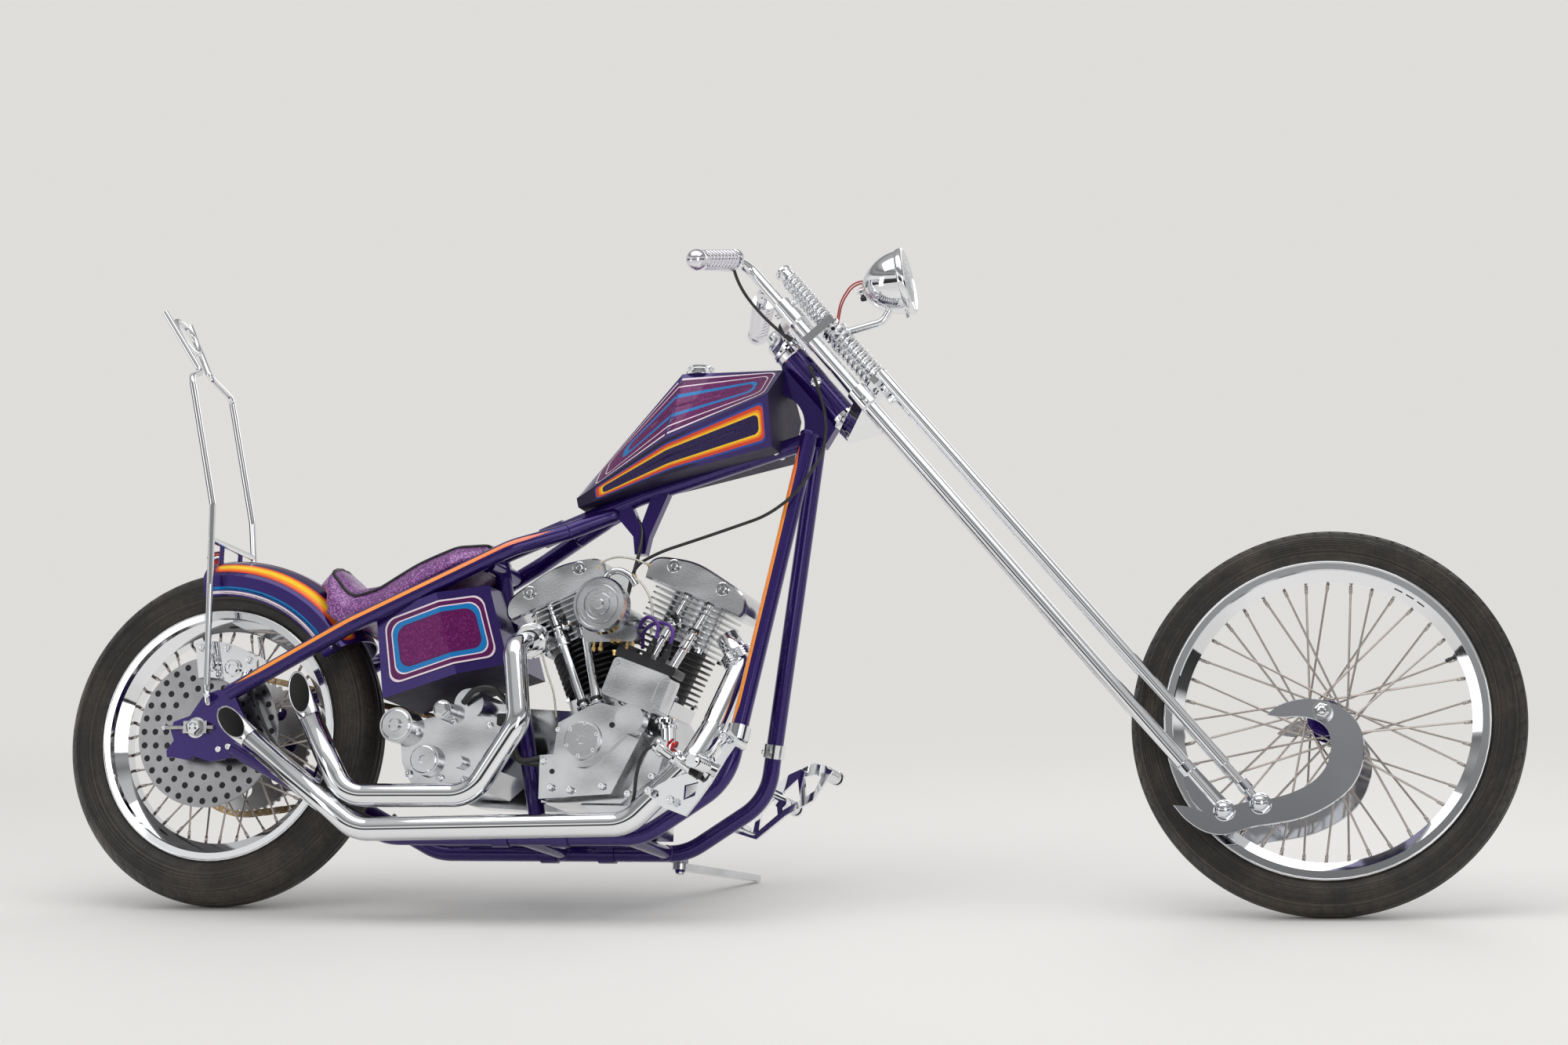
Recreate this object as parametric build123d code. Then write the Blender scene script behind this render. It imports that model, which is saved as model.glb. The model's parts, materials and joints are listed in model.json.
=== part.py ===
from build123d import *
from math import acos, atan2, cos, degrees, hypot, radians, sin, sqrt, tan
import os

# Chopper motorcycle with a rigid frame, a springer fork and a narrow-angle twin engine.
# Every piece is drawn on the upright machine: X forward from the rear axle, Y to the rider's left,
# Z up from the ground. The fork is then turned to its parked angle, and the whole machine leans
# on its side stand. The finished part has its origin under the middle of its box, on the floor.

os.makedirs("parts", exist_ok=True)

# Stance
WHEELBASE = 2123.0
NECK_SETBACK = 953.0
NECK_X = WHEELBASE - NECK_SETBACK
NECK_Z = 987.0
LEAN_DEG = 15.0
STEER_DEG = 3.45
RAKE_DEG = 41.5
FIT_GAP = 0.3
RUNNING_GAP = 5.5

# Rear wheel
REAR_TYRE_R = 327.0
REAR_TYRE_W = 120.0
REAR_RIM_SHARE = 0.7462
REAR_RIM_R = REAR_TYRE_R * REAR_RIM_SHARE
REAR_RIM_W = 92.0
REAR_RIM_DEPTH = 37.0
REAR_HUB_R = 46.0
REAR_HUB_W = 96.0
REAR_SPOKES = 40

# Front wheel
FRONT_TYRE_R = 346.0
FRONT_TYRE_W = 80.0
FRONT_RIM_SHARE = 0.8237
FRONT_RIM_R = FRONT_TYRE_R * FRONT_RIM_SHARE
FRONT_RIM_W = 62.0
FRONT_RIM_DEPTH = 33.0
FRONT_HUB_R = 32.0
FRONT_HUB_W = 82.0
FRONT_SPOKES = 40

SPOKE_D = 4.0
SPOKE_PULL_DEG = 62.0
RIM_WALL = 5.0
BARREL_SHARE = 0.62
AXLE_D = 19.0
AXLE_NUT_D = 32.0
AXLE_NUT_W = 12.0

# Brake disc, rear sprocket and chain
DISC_R = 146.0
DISC_BORE_R = 62.0
DISC_T = 5.0
DISC_Y = 84.0
DISC_HOLE_R = 4.5
DISC_RING_SHARES = (0.60, 0.76, 0.92)
DISC_RING_COUNTS = (20, 26, 32)
SPROCKET_R = 127.0
SPROCKET_T = 8.0
SPROCKET_HOLE_R = 14.0
SPROCKET_HOLE_COUNT = 8
DRIVE_SPROCKET_R = 44.0
CHAIN_W = 20.0
CHAIN_H = 15.0
CHAIN_Y = 98.0

# Frame tubes
TUBE_D = 32.0
RAIL_Y = 127.0
RAIL_Z = 121.0
BEND_R = 110.0
NECK_TUBE_D = 54.0
NECK_LENGTH = 176.0
GUSSET_T = 26.0
SCALLOP_R = 64.0
SLEEVE_WALL = 3.5
PLATE_SIZE = 140.0
AXLE_PLATE_T = 12.0
SLOT_L = 70.0
CROSS_D = 25.0
MOUNT_T = 22.0

# Fork, measured down the steering axis and ahead of it
REAR_LEG_D = 26.0
FRONT_LEG_D = 20.0
LEG_Y = 70.0
REAR_LEG_N = 48.0
FRONT_LEG_N = 103.0
LEG_FOOT_S = 1017.0
FRONT_LEG_TOP_S = 89.0
FRONT_LEG_FOOT_S = 1066.0
REAR_PIVOT_S = 1131.0
FRONT_PIVOT_S = 1163.0
YOKE_T = 24.0
YOKE_UPPER_S = -108.0
YOKE_LOWER_S = 112.0
SPRING_PLATE_S = -55.0
SPRING_PLATE_T = 16.0
STEM_D = 24.0
NECK_BORE_D = STEM_D + 2 * FIT_GAP
SPRING_N = 92.0
SPRING_Y = 34.0
SPRING_WIRE_D = 5.6
SPRING_ROD_D = 12.0
UPPER_SPRING_D = 36.0
UPPER_SPRING_TOP_S = -186.0
UPPER_SPRING_TURNS = 11
LOWER_SPRING_D = 45.0
LOWER_SPRING_TURNS = 9
COLLAR_WALL = 7.0
ROCKER_T = 8.0
ROCKER_REACH = 240.0
NUT_R = 17.0
NUT_H = 15.0
BAR_D = 22.0
BAR_RISE = 140.0
BAR_ELBOW = 54.0
GRIP_D = 36.0
GRIP_L = 118.0

# Engine
CRANK_X = NECK_X * 0.7094
CRANK_Z = 285.0
CYLINDER_DEG = 23.0
CASE_R = 118.0
CASE_HALF_W = 84.0
DECK_H = 128.0
BARREL_H = 104.0
HEAD_H = 86.0
FIN_W = 148.0
FIN_T = 3.0
FIN_PITCH = 11.0
CORE_SHARE = 0.70
VALLEY = 3.0
ROCKER_BOX_L = 220.0
ROCKER_BOX_HALF_W = 70.0
COVER_T = 44.0
COVER_DISC_R = 37.0
PUSHROD_D = 18.0
PUSHROD_UPPER_D = 13.0
PUSHROD_FOOT_Y = 104.0
PUSHROD_HEAD_Y = 58.0
CLEANER_R = 52.0
CLEANER_T = 34.0
CLEANER_Y = 168.0
CARB_R = 30.0
MAGNETO_L = 118.0
MAGNETO_H = 92.0
GEARBOX_HALF_W = 84.0
PRIMARY_Y = 118.0
PRIMARY_T = 56.0
PRIMARY_R = 98.0

# Exhaust
PIPE_D = 44.0
PIPE_BORE_D = 40.0
PIPE_Y = 182.0

# Bodywork
TANK_HALF_W = 112.0
CAP_R = 25.0
CAP_H = 14.0
FENDER_GAP = 18.0
FENDER_T = 3.0
FENDER_HALF_W = 74.0
FENDER_CROWN = 40.0
FENDER_SKIRT = 80.0
FENDER_START_DEG = 32.0
FENDER_SPAN_DEG = 65.5
SISSY_D = 13.0
LAMP_R = 13.0
LAMP_L = 34.0
BUCKET_R = 63.0

# Controls and stand
CONTROL_T = 10.0
CONTROL_Y = 196.0
PEG_D = 24.0
PEG_L = 78.0
STAND_T = 12.0
STAND_W = 30.0
STAND_PIN_D = 12.0
STAND_REACH_X = 95.0
FOOT_Y = 357.0
CABLE_D = 6.0
WIRE_D = 3.0

REAR_AXLE_Z = REAR_TYRE_R
FRONT_AXLE_Z = FRONT_TYRE_R

# The steering axis and the two directions that lie square to it in the machine's middle plane.
AXIS_DOWN = Vector(sin(radians(RAKE_DEG)), 0, -cos(radians(RAKE_DEG)))
AXIS_AHEAD = Vector(cos(radians(RAKE_DEG)), 0, sin(radians(RAKE_DEG)))
NECK = Vector(NECK_X, 0, NECK_Z)
STEERING = Axis(NECK, AXIS_DOWN * -1)


def fork(s, n, y=0.0):
    """Point at s down the steering axis, n ahead of it and y to the left."""
    return NECK + AXIS_DOWN * s + AXIS_AHEAD * n + Vector(0, y, 0)


def frame_at(x_share, z_share, y=0.0):
    """Point of the frame, as shares of the neck's own place."""
    return Vector(x_share * NECK_X, y, z_share * NECK_Z)


def axle_at(x_share, z_share, y=0.0):
    """Point near the rear axle, in shares of the axle plate's size."""
    return Vector(x_share * PLATE_SIZE, y, REAR_AXLE_Z + z_share * PLATE_SIZE)


def crank_at(x_share, z_share, y=0.0):
    """Point near the crankshaft, in shares of the crankcase's radius."""
    return Vector(CRANK_X + x_share * CASE_R, y, CRANK_Z + z_share * CASE_R)


def rod(start, end, diameter):
    """Round bar between two points."""
    run = end - start
    return Solid.make_cylinder(diameter / 2, run.length, Plane(origin=start, z_dir=run))


def tube(points, diameter, radii):
    """Round bar along straight runs joined by arcs."""
    path = FilletPolyline(*points, radius=radii) if len(points) > 2 else Line(*points)
    section = Plane(origin=path @ 0, z_dir=path % 0) * Circle(diameter / 2)
    return sweep(section, path=path)


def cable(points, diameter):
    """Cable whose bends are as wide as its straight runs leave room for."""
    radii = []
    for before, corner, after in zip(points, points[1:], points[2:]):
        run_in, run_out = corner - before, after - corner
        turn = radians(max(run_in.get_angle(run_out), 1.0))
        shorter = min(run_in.length, run_out.length)
        radii.append(0.45 * shorter / tan(turn / 2))
    return tube(points, diameter, radii)


def slab(sketch, y_low, y_high):
    """Flat outline in the X-Z plane, from y_low to y_high."""
    face_plane = Plane(origin=(0, y_high, 0), x_dir=(1, 0, 0), z_dir=(0, -1, 0))
    return extrude(face_plane * sketch, amount=y_high - y_low)


def outline(points):
    return make_face(Polyline(*points, close=True))


def flat(points):
    """The X and Z of points, as an outline."""
    return outline([(point.X, point.Z) for point in points])


def frame_outline(shares):
    return flat([frame_at(x_share, z_share) for x_share, z_share in shares])


def crank_outline(shares):
    return flat([crank_at(x_share, z_share) for x_share, z_share in shares])


def axle_outline(shares):
    return flat([axle_at(x_share, z_share) for x_share, z_share in shares])


def scaled(shares, size, x=0.0, z=0.0):
    """Outline points from shares of one size, about a centre."""
    return [(x + size * share_x, z + size * share_z) for share_x, share_z in shares]


def disc(radius, x, z, y_low, y_high):
    return slab(Pos(x, z) * Circle(radius), y_low, y_high)


def at_wheel(shape, x, z):
    return Pos(x, 0, z) * shape


def joined(pieces):
    """Fuse pieces that carry each other into one solid."""
    whole = pieces[0]
    for piece in pieces[1:]:
        whole = whole + piece
    return whole


def cut_by(shape, *others):
    for other in others:
        shape = shape - other
    return shape


def group(pieces):
    """Like pieces of one node that don't touch."""
    solids = []
    for piece in pieces:
        solids.extend(piece.solids())
    return Compound(solids)


def mirrored(shape):
    return shape.mirror(Plane.XZ)


def largest(shape):
    return max(shape.solids(), key=lambda solid: solid.volume)


# Wheels: each is drawn about its own axle, with the axle along Y.

def tyre_solid(outer_r, width, rim_r, rim_w):
    crown = width / 2
    shoulder = radians(52)
    bead_r = rim_r - RIM_WALL
    bead_y = rim_w / 2 - RIM_WALL - FIT_GAP
    flank_r = (rim_r + outer_r) / 2 - RIM_WALL
    top_r = outer_r - crown + crown * cos(shoulder)
    top_y = crown * sin(shoulder)
    flank = width / 2
    path = (
        Line((bead_r, -bead_y), (bead_r, bead_y))
        + ThreePointArc((bead_r, bead_y), (flank_r, flank), (top_r, top_y))
        + ThreePointArc((top_r, top_y), (outer_r, 0), (top_r, -top_y))
        + ThreePointArc((top_r, -top_y), (flank_r, -flank), (bead_r, -bead_y))
    )
    whole = revolve(make_face(path), axis=Axis.Y)
    hook_r = rim_r + FIT_GAP
    for side in (-1, 1):
        corners = [
            (rim_r / 2, side * bead_y), (hook_r, side * bead_y), (hook_r, side * width),
            (rim_r / 2, side * width)]
        whole = whole - revolve(outline(corners), axis=Axis.Y)
    return whole


def rim_solid(rim_r, rim_w, depth):
    half = rim_w / 2
    seat_r = rim_r - RIM_WALL * 2 - FIT_GAP
    well_r = rim_r - depth
    well = half * BARREL_SHARE / 2
    shoulder_y = half * BARREL_SHARE
    inner = [
        (rim_r, half), (rim_r, half - RIM_WALL), (seat_r, half - RIM_WALL), (seat_r, shoulder_y),
        (well_r + RIM_WALL, well)]
    outer = [(well_r, well), (seat_r - RIM_WALL, shoulder_y), (seat_r - RIM_WALL, half)]
    points = inner + [(r, -y) for r, y in reversed(inner)]
    points += [(r, -y) for r, y in reversed(outer)] + outer
    return revolve(outline(points), axis=Axis.Y)


def hub_solid(hub_r, hub_w, bore_r):
    half = hub_w / 2
    waist = hub_r * 0.6
    inner_y, outer_y = half - 2 * RIM_WALL, half - RIM_WALL
    points = [
        (bore_r, -half), (waist, -half), (waist, -outer_y), (hub_r, -outer_y), (hub_r, -inner_y),
        (waist, -inner_y), (waist, inner_y), (hub_r, inner_y), (hub_r, outer_y), (waist, outer_y),
        (waist, half), (bore_r, half)]
    return revolve(outline(points), axis=Axis.Y)


def spoke_set(count, hub_r, hub_w, rim_r, depth):
    """Spokes from both hub flanges, crossed in pairs and seated just short of hub and rim."""
    spokes = []
    flange_y = hub_w / 2 - RIM_WALL * 1.5
    hub_end = hub_r + FIT_GAP + SPOKE_D / 2
    rim_end = rim_r - depth - FIT_GAP * 2
    lead = 360 / count
    for index in range(count):
        side = 1 if index % 2 else -1
        pull = 1 if index % 4 < 2 else -1
        rim_angle = radians(index * lead)
        hub_angle = rim_angle - radians(pull * SPOKE_PULL_DEG)
        lane = side * (flange_y + pull * SPOKE_D * 0.75)
        rim_lane = side * (SPOKE_D + pull * SPOKE_D * 0.3)
        start = Vector(hub_end * cos(hub_angle), lane, hub_end * sin(hub_angle))
        end = Vector(rim_end * cos(rim_angle), rim_lane, rim_end * sin(rim_angle))
        spokes.append(rod(start, end, SPOKE_D))
    return spokes


HUB_BORE_R = AXLE_D / 2 + FIT_GAP
rear_tyre = at_wheel(tyre_solid(REAR_TYRE_R, REAR_TYRE_W, REAR_RIM_R, REAR_RIM_W), 0, REAR_AXLE_Z)
front_tyre = at_wheel(
    tyre_solid(FRONT_TYRE_R, FRONT_TYRE_W, FRONT_RIM_R, FRONT_RIM_W), WHEELBASE, FRONT_AXLE_Z)
rear_rim = at_wheel(rim_solid(REAR_RIM_R, REAR_RIM_W, REAR_RIM_DEPTH), 0, REAR_AXLE_Z)
front_rim = at_wheel(rim_solid(FRONT_RIM_R, FRONT_RIM_W, FRONT_RIM_DEPTH), WHEELBASE, FRONT_AXLE_Z)
rear_hub = at_wheel(hub_solid(REAR_HUB_R, REAR_HUB_W, HUB_BORE_R), 0, REAR_AXLE_Z)
front_hub = at_wheel(hub_solid(FRONT_HUB_R, FRONT_HUB_W, HUB_BORE_R), WHEELBASE, FRONT_AXLE_Z)
rear_spokes = at_wheel(
    group(spoke_set(REAR_SPOKES, REAR_HUB_R, REAR_HUB_W, REAR_RIM_R, REAR_RIM_DEPTH)),
    0, REAR_AXLE_Z)
front_spokes = at_wheel(
    group(spoke_set(FRONT_SPOKES, FRONT_HUB_R, FRONT_HUB_W, FRONT_RIM_R, FRONT_RIM_DEPTH)),
    WHEELBASE, FRONT_AXLE_Z)

# Brake disc on the right and sprocket on the left, each on a boss against the hub's end
BOSS_R = DISC_BORE_R + RIM_WALL
boss_face = Circle(BOSS_R) - Circle(HUB_BORE_R)
boss_low = REAR_HUB_W / 2 + FIT_GAP
disc_face = Circle(DISC_R) - Circle(DISC_BORE_R)
for share, count in zip(DISC_RING_SHARES, DISC_RING_COUNTS):
    disc_face -= PolarLocations(DISC_R * share, count) * Circle(DISC_HOLE_R)
disc_half_t = DISC_T / 2
brake_disc = joined([
    slab(Pos(0, REAR_AXLE_Z) * disc_face, -DISC_Y - disc_half_t, -DISC_Y + disc_half_t),
    slab(Pos(0, REAR_AXLE_Z) * boss_face, -DISC_Y - disc_half_t, -boss_low)])
sprocket_face = Circle(SPROCKET_R) - Circle(DISC_BORE_R)
sprocket_face -= PolarLocations(SPROCKET_R * 0.7, SPROCKET_HOLE_COUNT) * Circle(SPROCKET_HOLE_R)
sprocket_high = CHAIN_Y + SPROCKET_T / 2
rear_sprocket = joined([
    slab(Pos(0, REAR_AXLE_Z) * sprocket_face, CHAIN_Y - SPROCKET_T / 2, sprocket_high),
    slab(Pos(0, REAR_AXLE_Z) * boss_face, boss_low, sprocket_high)])

def belt(first, second):
    """Filled outline round two circles, each given as x, z and radius."""
    (x1, z1, r1), (x2, z2, r2) = first, second
    heading = atan2(z2 - z1, x2 - x1)
    flare = acos((r1 - r2) / hypot(x2 - x1, z2 - z1))
    corners = []
    for angle, x, z, r in (
            (heading + flare, x1, z1, r1), (heading + flare, x2, z2, r2),
            (heading - flare, x2, z2, r2), (heading - flare, x1, z1, r1)):
        corners.append((x + r * cos(angle), z + r * sin(angle)))
    return outline(corners) + Pos(x1, z1) * Circle(r1) + Pos(x2, z2) * Circle(r2)


# Chain: one loop round the rear sprocket and the gearbox's drive sprocket
DRIVE_X = 0.42 * NECK_X
DRIVE_Z = 0.31 * NECK_Z
rear_wrap = SPROCKET_R + CHAIN_H / 2 + FIT_GAP * 3
drive_wrap = DRIVE_SPROCKET_R + CHAIN_H / 2 + FIT_GAP * 3


def chain_band(grow):
    """Filled outline of the chain's loop, grown by half the chain's height."""
    return belt((0, REAR_AXLE_Z, rear_wrap + grow), (DRIVE_X, DRIVE_Z, drive_wrap + grow))


chain_face = chain_band(CHAIN_H / 2) - chain_band(-CHAIN_H / 2)
drive_chain = slab(chain_face, CHAIN_Y - CHAIN_W / 2, CHAIN_Y + CHAIN_W / 2)

# Frame: the tubes of the right side, mirrored for the left
RAIL_Z_SHARE = RAIL_Z / NECK_Z
DOWNTUBE_TOP_Y = 28.0
UPPER_RAIL_TOP_Y = 34.0
downtube_nodes = (
    frame_at(0.996, 0.900, -DOWNTUBE_TOP_Y), frame_at(0.908, 0.225, -RAIL_Y),
    frame_at(0.775, RAIL_Z_SHARE, -RAIL_Y), frame_at(0.700, RAIL_Z_SHARE, -RAIL_Y))
lower_rail_nodes = (
    frame_at(0.700, RAIL_Z_SHARE, -RAIL_Y), frame_at(0.345, RAIL_Z_SHARE, -RAIL_Y),
    axle_at(0.570, -0.280, -RAIL_Y))
upper_rail_nodes = (
    frame_at(0.594, 0.722, -UPPER_RAIL_TOP_Y), frame_at(0.515, 0.683, -UPPER_RAIL_TOP_Y * 2.4),
    frame_at(0.260, 0.530, -RAIL_Y), axle_at(0.418, 0.470, -RAIL_Y))
backbone_nodes = (frame_at(0.990, 0.896), frame_at(0.709, 0.795), frame_at(0.470, 0.684))
downtube_right = tube(downtube_nodes, TUBE_D, [BEND_R, BEND_R])
lower_rail = tube(lower_rail_nodes, TUBE_D, [BEND_R])
upper_rail = tube(upper_rail_nodes, TUBE_D, [BEND_R, BEND_R])
SLEEVE_D = TUBE_D + 2 * SLEEVE_WALL
for sleeve_share in (0.655, 0.555):
    lower_rail += rod(
        frame_at(sleeve_share, RAIL_Z_SHARE, -RAIL_Y),
        frame_at(sleeve_share - 0.028, RAIL_Z_SHARE, -RAIL_Y), SLEEVE_D)

PLATE_SHARES = (
    (0.071, 0.443), (-0.114, 0.164), (-0.350, 0.086), (-0.386, -0.036), (-0.329, -0.171),
    (-0.429, -0.314), (-0.414, -0.400), (-0.329, -0.400), (-0.100, -0.443), (-0.029, -0.386),
    (0.221, -0.464), (0.621, -0.400), (0.721, 0.100), (0.500, 0.493), (0.286, 0.521),
)
axle_plate_face = axle_outline(PLATE_SHARES)
axle_plate_face -= Pos(0, REAR_AXLE_Z) * SlotOverall(SLOT_L, AXLE_D + 2 * FIT_GAP)
plate_low = RAIL_Y - AXLE_PLATE_T / 2
plate_high = RAIL_Y + AXLE_PLATE_T / 2
axle_plate = slab(axle_plate_face, -plate_high, -plate_low)
lower_rail_right = joined([lower_rail, axle_plate])
upper_rail_right = cut_by(upper_rail, axle_plate, lower_rail)

# Neck, gusset with its round scallop, and backbone
neck_tube = rod(fork(-NECK_LENGTH / 2, 0), fork(NECK_LENGTH / 2, 0), NECK_TUBE_D)
neck_bore = rod(fork(-NECK_LENGTH, 0), fork(NECK_LENGTH, 0), NECK_BORE_D)
backbone = tube(backbone_nodes, TUBE_D, [BEND_R * 3])
GUSSET_SHARES = (
    (0.930, 1.001), (0.950, 1.059), (0.983, 1.025), (1.046, 0.937), (1.017, 0.879),
    (0.974, 0.879), (0.928, 0.927),
)
scallop_at = frame_at(0.928, 0.922)
gusset_face = frame_outline(GUSSET_SHARES) - Pos(scallop_at.X, scallop_at.Z) * Circle(SCALLOP_R)
gusset = slab(gusset_face, -GUSSET_T / 2, GUSSET_T / 2)
backbone_run = frame_at(0.709, 0.795) - frame_at(0.470, 0.684)
sleeve_start = frame_at(0.470, 0.684) + backbone_run * 0.30
backbone_sleeve = rod(sleeve_start, sleeve_start + backbone_run * 0.16, SLEEVE_D)
frame_neck = joined([neck_tube, gusset, backbone, backbone_sleeve]) - neck_bore
downtube_right = downtube_right - frame_neck
upper_rail_right = upper_rail_right - frame_neck

# Seat tube, seat post cross piece and the two cross tubes under engine and gearbox
SEAT_TUBE_X = 0.566 * NECK_X
CROSS_X = 0.745 * NECK_X
seat_tube_bar = rod(frame_at(0.470, 0.670), Vector(SEAT_TUBE_X, 0, RAIL_Z), TUBE_D)
cross_y = Vector(0, RAIL_Y, 0)
cross_bars = []
for x in (SEAT_TUBE_X, CROSS_X):
    cross_bars.append(rod(Vector(x, 0, RAIL_Z) - cross_y, Vector(x, 0, RAIL_Z) + cross_y, CROSS_D))
post_y = UPPER_RAIL_TOP_Y * 2
seat_post_cap = rod(frame_at(0.470, 0.655, -post_y), frame_at(0.470, 0.655, post_y), TUBE_D)
seat_tube = cut_by(
    joined([seat_tube_bar, cross_bars[0], seat_post_cap]), frame_neck, upper_rail_right,
    mirrored(upper_rail_right), lower_rail_right, mirrored(lower_rail_right))
engine_cross = cut_by(
    cross_bars[1], downtube_right, mirrored(downtube_right), lower_rail_right,
    mirrored(lower_rail_right))


# Engine

def cylinder_plane(side):
    """Plane on the crank centre whose Z runs up one cylinder: side -1 is the rear one."""
    tilt = radians(CYLINDER_DEG)
    return Plane(
        origin=(CRANK_X, 0, CRANK_Z), x_dir=(cos(tilt), 0, -side * sin(tilt)),
        z_dir=(side * sin(tilt), 0, cos(tilt)))


def block(length, width, low, high):
    """Upright block centred on its plane's origin."""
    return Pos(0, 0, (low + high) / 2) * Box(length, width, high - low)


HEAD_TOP = DECK_H + BARREL_H + HEAD_H
CASE_SHARES = (
    (-1.186, -0.805), (-1.153, -0.076), (-0.915, 0.381), (-0.373, 0.669), (0.305, 0.568),
    (0.636, 0.297), (0.864, 0.144), (0.720, -0.381), (0.136, -0.822),
)
case_profile = crank_outline(CASE_SHARES)
crankcase_pieces = [
    slab(case_profile, -CASE_HALF_W, CASE_HALF_W),
    disc(CASE_R, CRANK_X, CRANK_Z, -CASE_HALF_W * 0.8, CASE_HALF_W * 0.8)]
for side in (-1, 1):
    crankcase_pieces.append(
        cylinder_plane(side) * block(FIN_W * 0.80, FIN_W * 0.86, 0, DECK_H))
CASE_FOOT_L = 70.0
CASE_FOOT_W = 96.0
foot_low = RAIL_Z + CROSS_D / 2 + FIT_GAP
foot_h = CRANK_Z - CASE_R * CORE_SHARE - foot_low
crankcase_pieces.append(
    Pos(CROSS_X, 0, foot_low + foot_h / 2) * Box(CASE_FOOT_L, CASE_FOOT_W, foot_h))
crankcase = joined(crankcase_pieces)

ROCKER_ARCH_SHARES = (
    (-0.43, 0.00), (-0.45, 0.13), (-0.41, 0.19), (-0.29, 0.24), (-0.07, 0.28), (0.26, 0.24),
    (0.475, 0.165), (0.520, 0.05), (0.50, 0.00))


def rocker_box(side):
    """Long arched cover, flat underneath, with rounded outer edges."""
    points = [
        (side * ROCKER_BOX_L * x_share, HEAD_TOP + ROCKER_BOX_L * z_share)
        for x_share, z_share in ROCKER_ARCH_SHARES]
    local = cylinder_plane(side)
    face_plane = Plane(
        origin=local.origin + Vector(0, ROCKER_BOX_HALF_W, 0), x_dir=local.x_dir,
        z_dir=(0, -1, 0))
    corner, last = points[0], points[-1]
    path = Spline(*points[1:-1]) + Line(last, corner) + Line(corner, points[1])
    path += Line(points[-2], last)
    cover = extrude(face_plane * make_face(path), amount=2 * ROCKER_BOX_HALF_W)
    return chamfer(cover.faces().sort_by(Axis.Y)[0].edges(), RIM_WALL * 0.8)


rear_rocker = rocker_box(-1)
front_rocker = rocker_box(1)

# Pushrod tubes: a wide lower tube, a collar and a slimmer upper tube
FOOT_SHARES = (
    (-0.466, 0.636), (-0.263, 0.686), (0.178, 0.686), (0.492, 0.534),
)
HEAD_SHARES = (
    (-1.314, 2.415), (-0.822, 2.610), (1.042, 2.551), (1.398, 2.347),
)
COLLAR_D = PUSHROD_D * 1.2
COLLAR_FROM_SHARE, COLLAR_TO_SHARE = 0.60, 0.72


def pushrod(foot, head, grow):
    """Lower tube, collar and upper tube, all grown by one allowance."""
    low = foot + (head - foot) * COLLAR_FROM_SHARE
    high = foot + (head - foot) * COLLAR_TO_SHARE
    return joined([
        rod(foot, low, PUSHROD_D + grow), rod(low, high, COLLAR_D + grow),
        rod(high, head, PUSHROD_UPPER_D + grow)])


pushrods = []
pushrod_rooms = []
for foot_share, head_share in zip(FOOT_SHARES, HEAD_SHARES):
    foot = crank_at(*foot_share, -PUSHROD_FOOT_Y)
    head = crank_at(*head_share, -PUSHROD_HEAD_Y)
    pushrods.append(pushrod(foot, head, 0))
    pushrod_rooms.append(pushrod(foot, head, 2 * RUNNING_GAP))


def finned_cylinder(side):
    """Cylinder with round fins on its barrel and square ones on its head."""
    core = FIN_W * CORE_SHARE
    deck = DECK_H + BARREL_H
    fins = [Pos(0, 0, (DECK_H + HEAD_TOP) / 2) * Cylinder(core / 2, HEAD_TOP - DECK_H)]
    low = DECK_H + FIN_PITCH / 2
    for index in range(int((HEAD_TOP - low - FIN_T) / FIN_PITCH) + 1):
        height = low + index * FIN_PITCH
        if height < deck:
            fin = Circle(FIN_W / 2)
        else:
            fin = RectangleRounded(FIN_W, FIN_W, FIN_W * 0.16)
        fins.append(Pos(0, 0, height) * extrude(fin, amount=FIN_T))
    return cylinder_plane(side) * joined(fins)


valley = slab(Pos(CRANK_X, CRANK_Z) * Rectangle(VALLEY, 4 * FIN_W), -FIN_W, FIN_W)


def own_side(side):
    """The cylinder's fins end short of the valley between the two cylinders."""
    return largest(cut_by(finned_cylinder(side), valley, crankcase, *pushrod_rooms))


rear_cylinder = own_side(-1)
front_cylinder = own_side(1)
rocker_boxes = group([rear_rocker, front_rocker])

# Cam cover: a plate, a raised boss with a nose, and a round disc
COVER_SHARES = (
    (-0.856, 0.407), (-0.373, 0.661), (-0.169, 0.720), (0.297, 0.602), (0.559, 0.263),
    (0.076, -0.712), (-1.119, -0.788), (-1.136, -0.102), (-0.907, -0.085),
)
COVER_AT = crank_at(-0.41, 0.12)
NOSE_AT = crank_at(0.17, 0.42)
COVER_BOSS_R = COVER_DISC_R * 1.35
NOSE_R = COVER_DISC_R * 0.76
COVER_PLATE_Y = CASE_HALF_W + COVER_T * 0.8
COVER_OUT_Y = CASE_HALF_W + COVER_T


cover_boss = belt((COVER_AT.X, COVER_AT.Z, COVER_BOSS_R), (NOSE_AT.X, NOSE_AT.Z, NOSE_R))
cam_cover = joined([
    slab(crank_outline(COVER_SHARES), -COVER_PLATE_Y, -CASE_HALF_W),
    slab(cover_boss, -COVER_OUT_Y, -COVER_PLATE_Y),
    disc(COVER_DISC_R, COVER_AT.X, COVER_AT.Z, -COVER_OUT_Y - RIM_WALL, -COVER_OUT_Y)])
for x_share, z_share in (
    (-0.915, -0.610), (-0.593, -0.653), (-0.068, -0.593),
):
    bolt_at = crank_at(x_share, z_share)
    cam_cover += disc(RIM_WALL, bolt_at.X, bolt_at.Z, -COVER_PLATE_Y - RIM_WALL, -COVER_PLATE_Y)
cam_cover = cam_cover - crankcase

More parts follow.
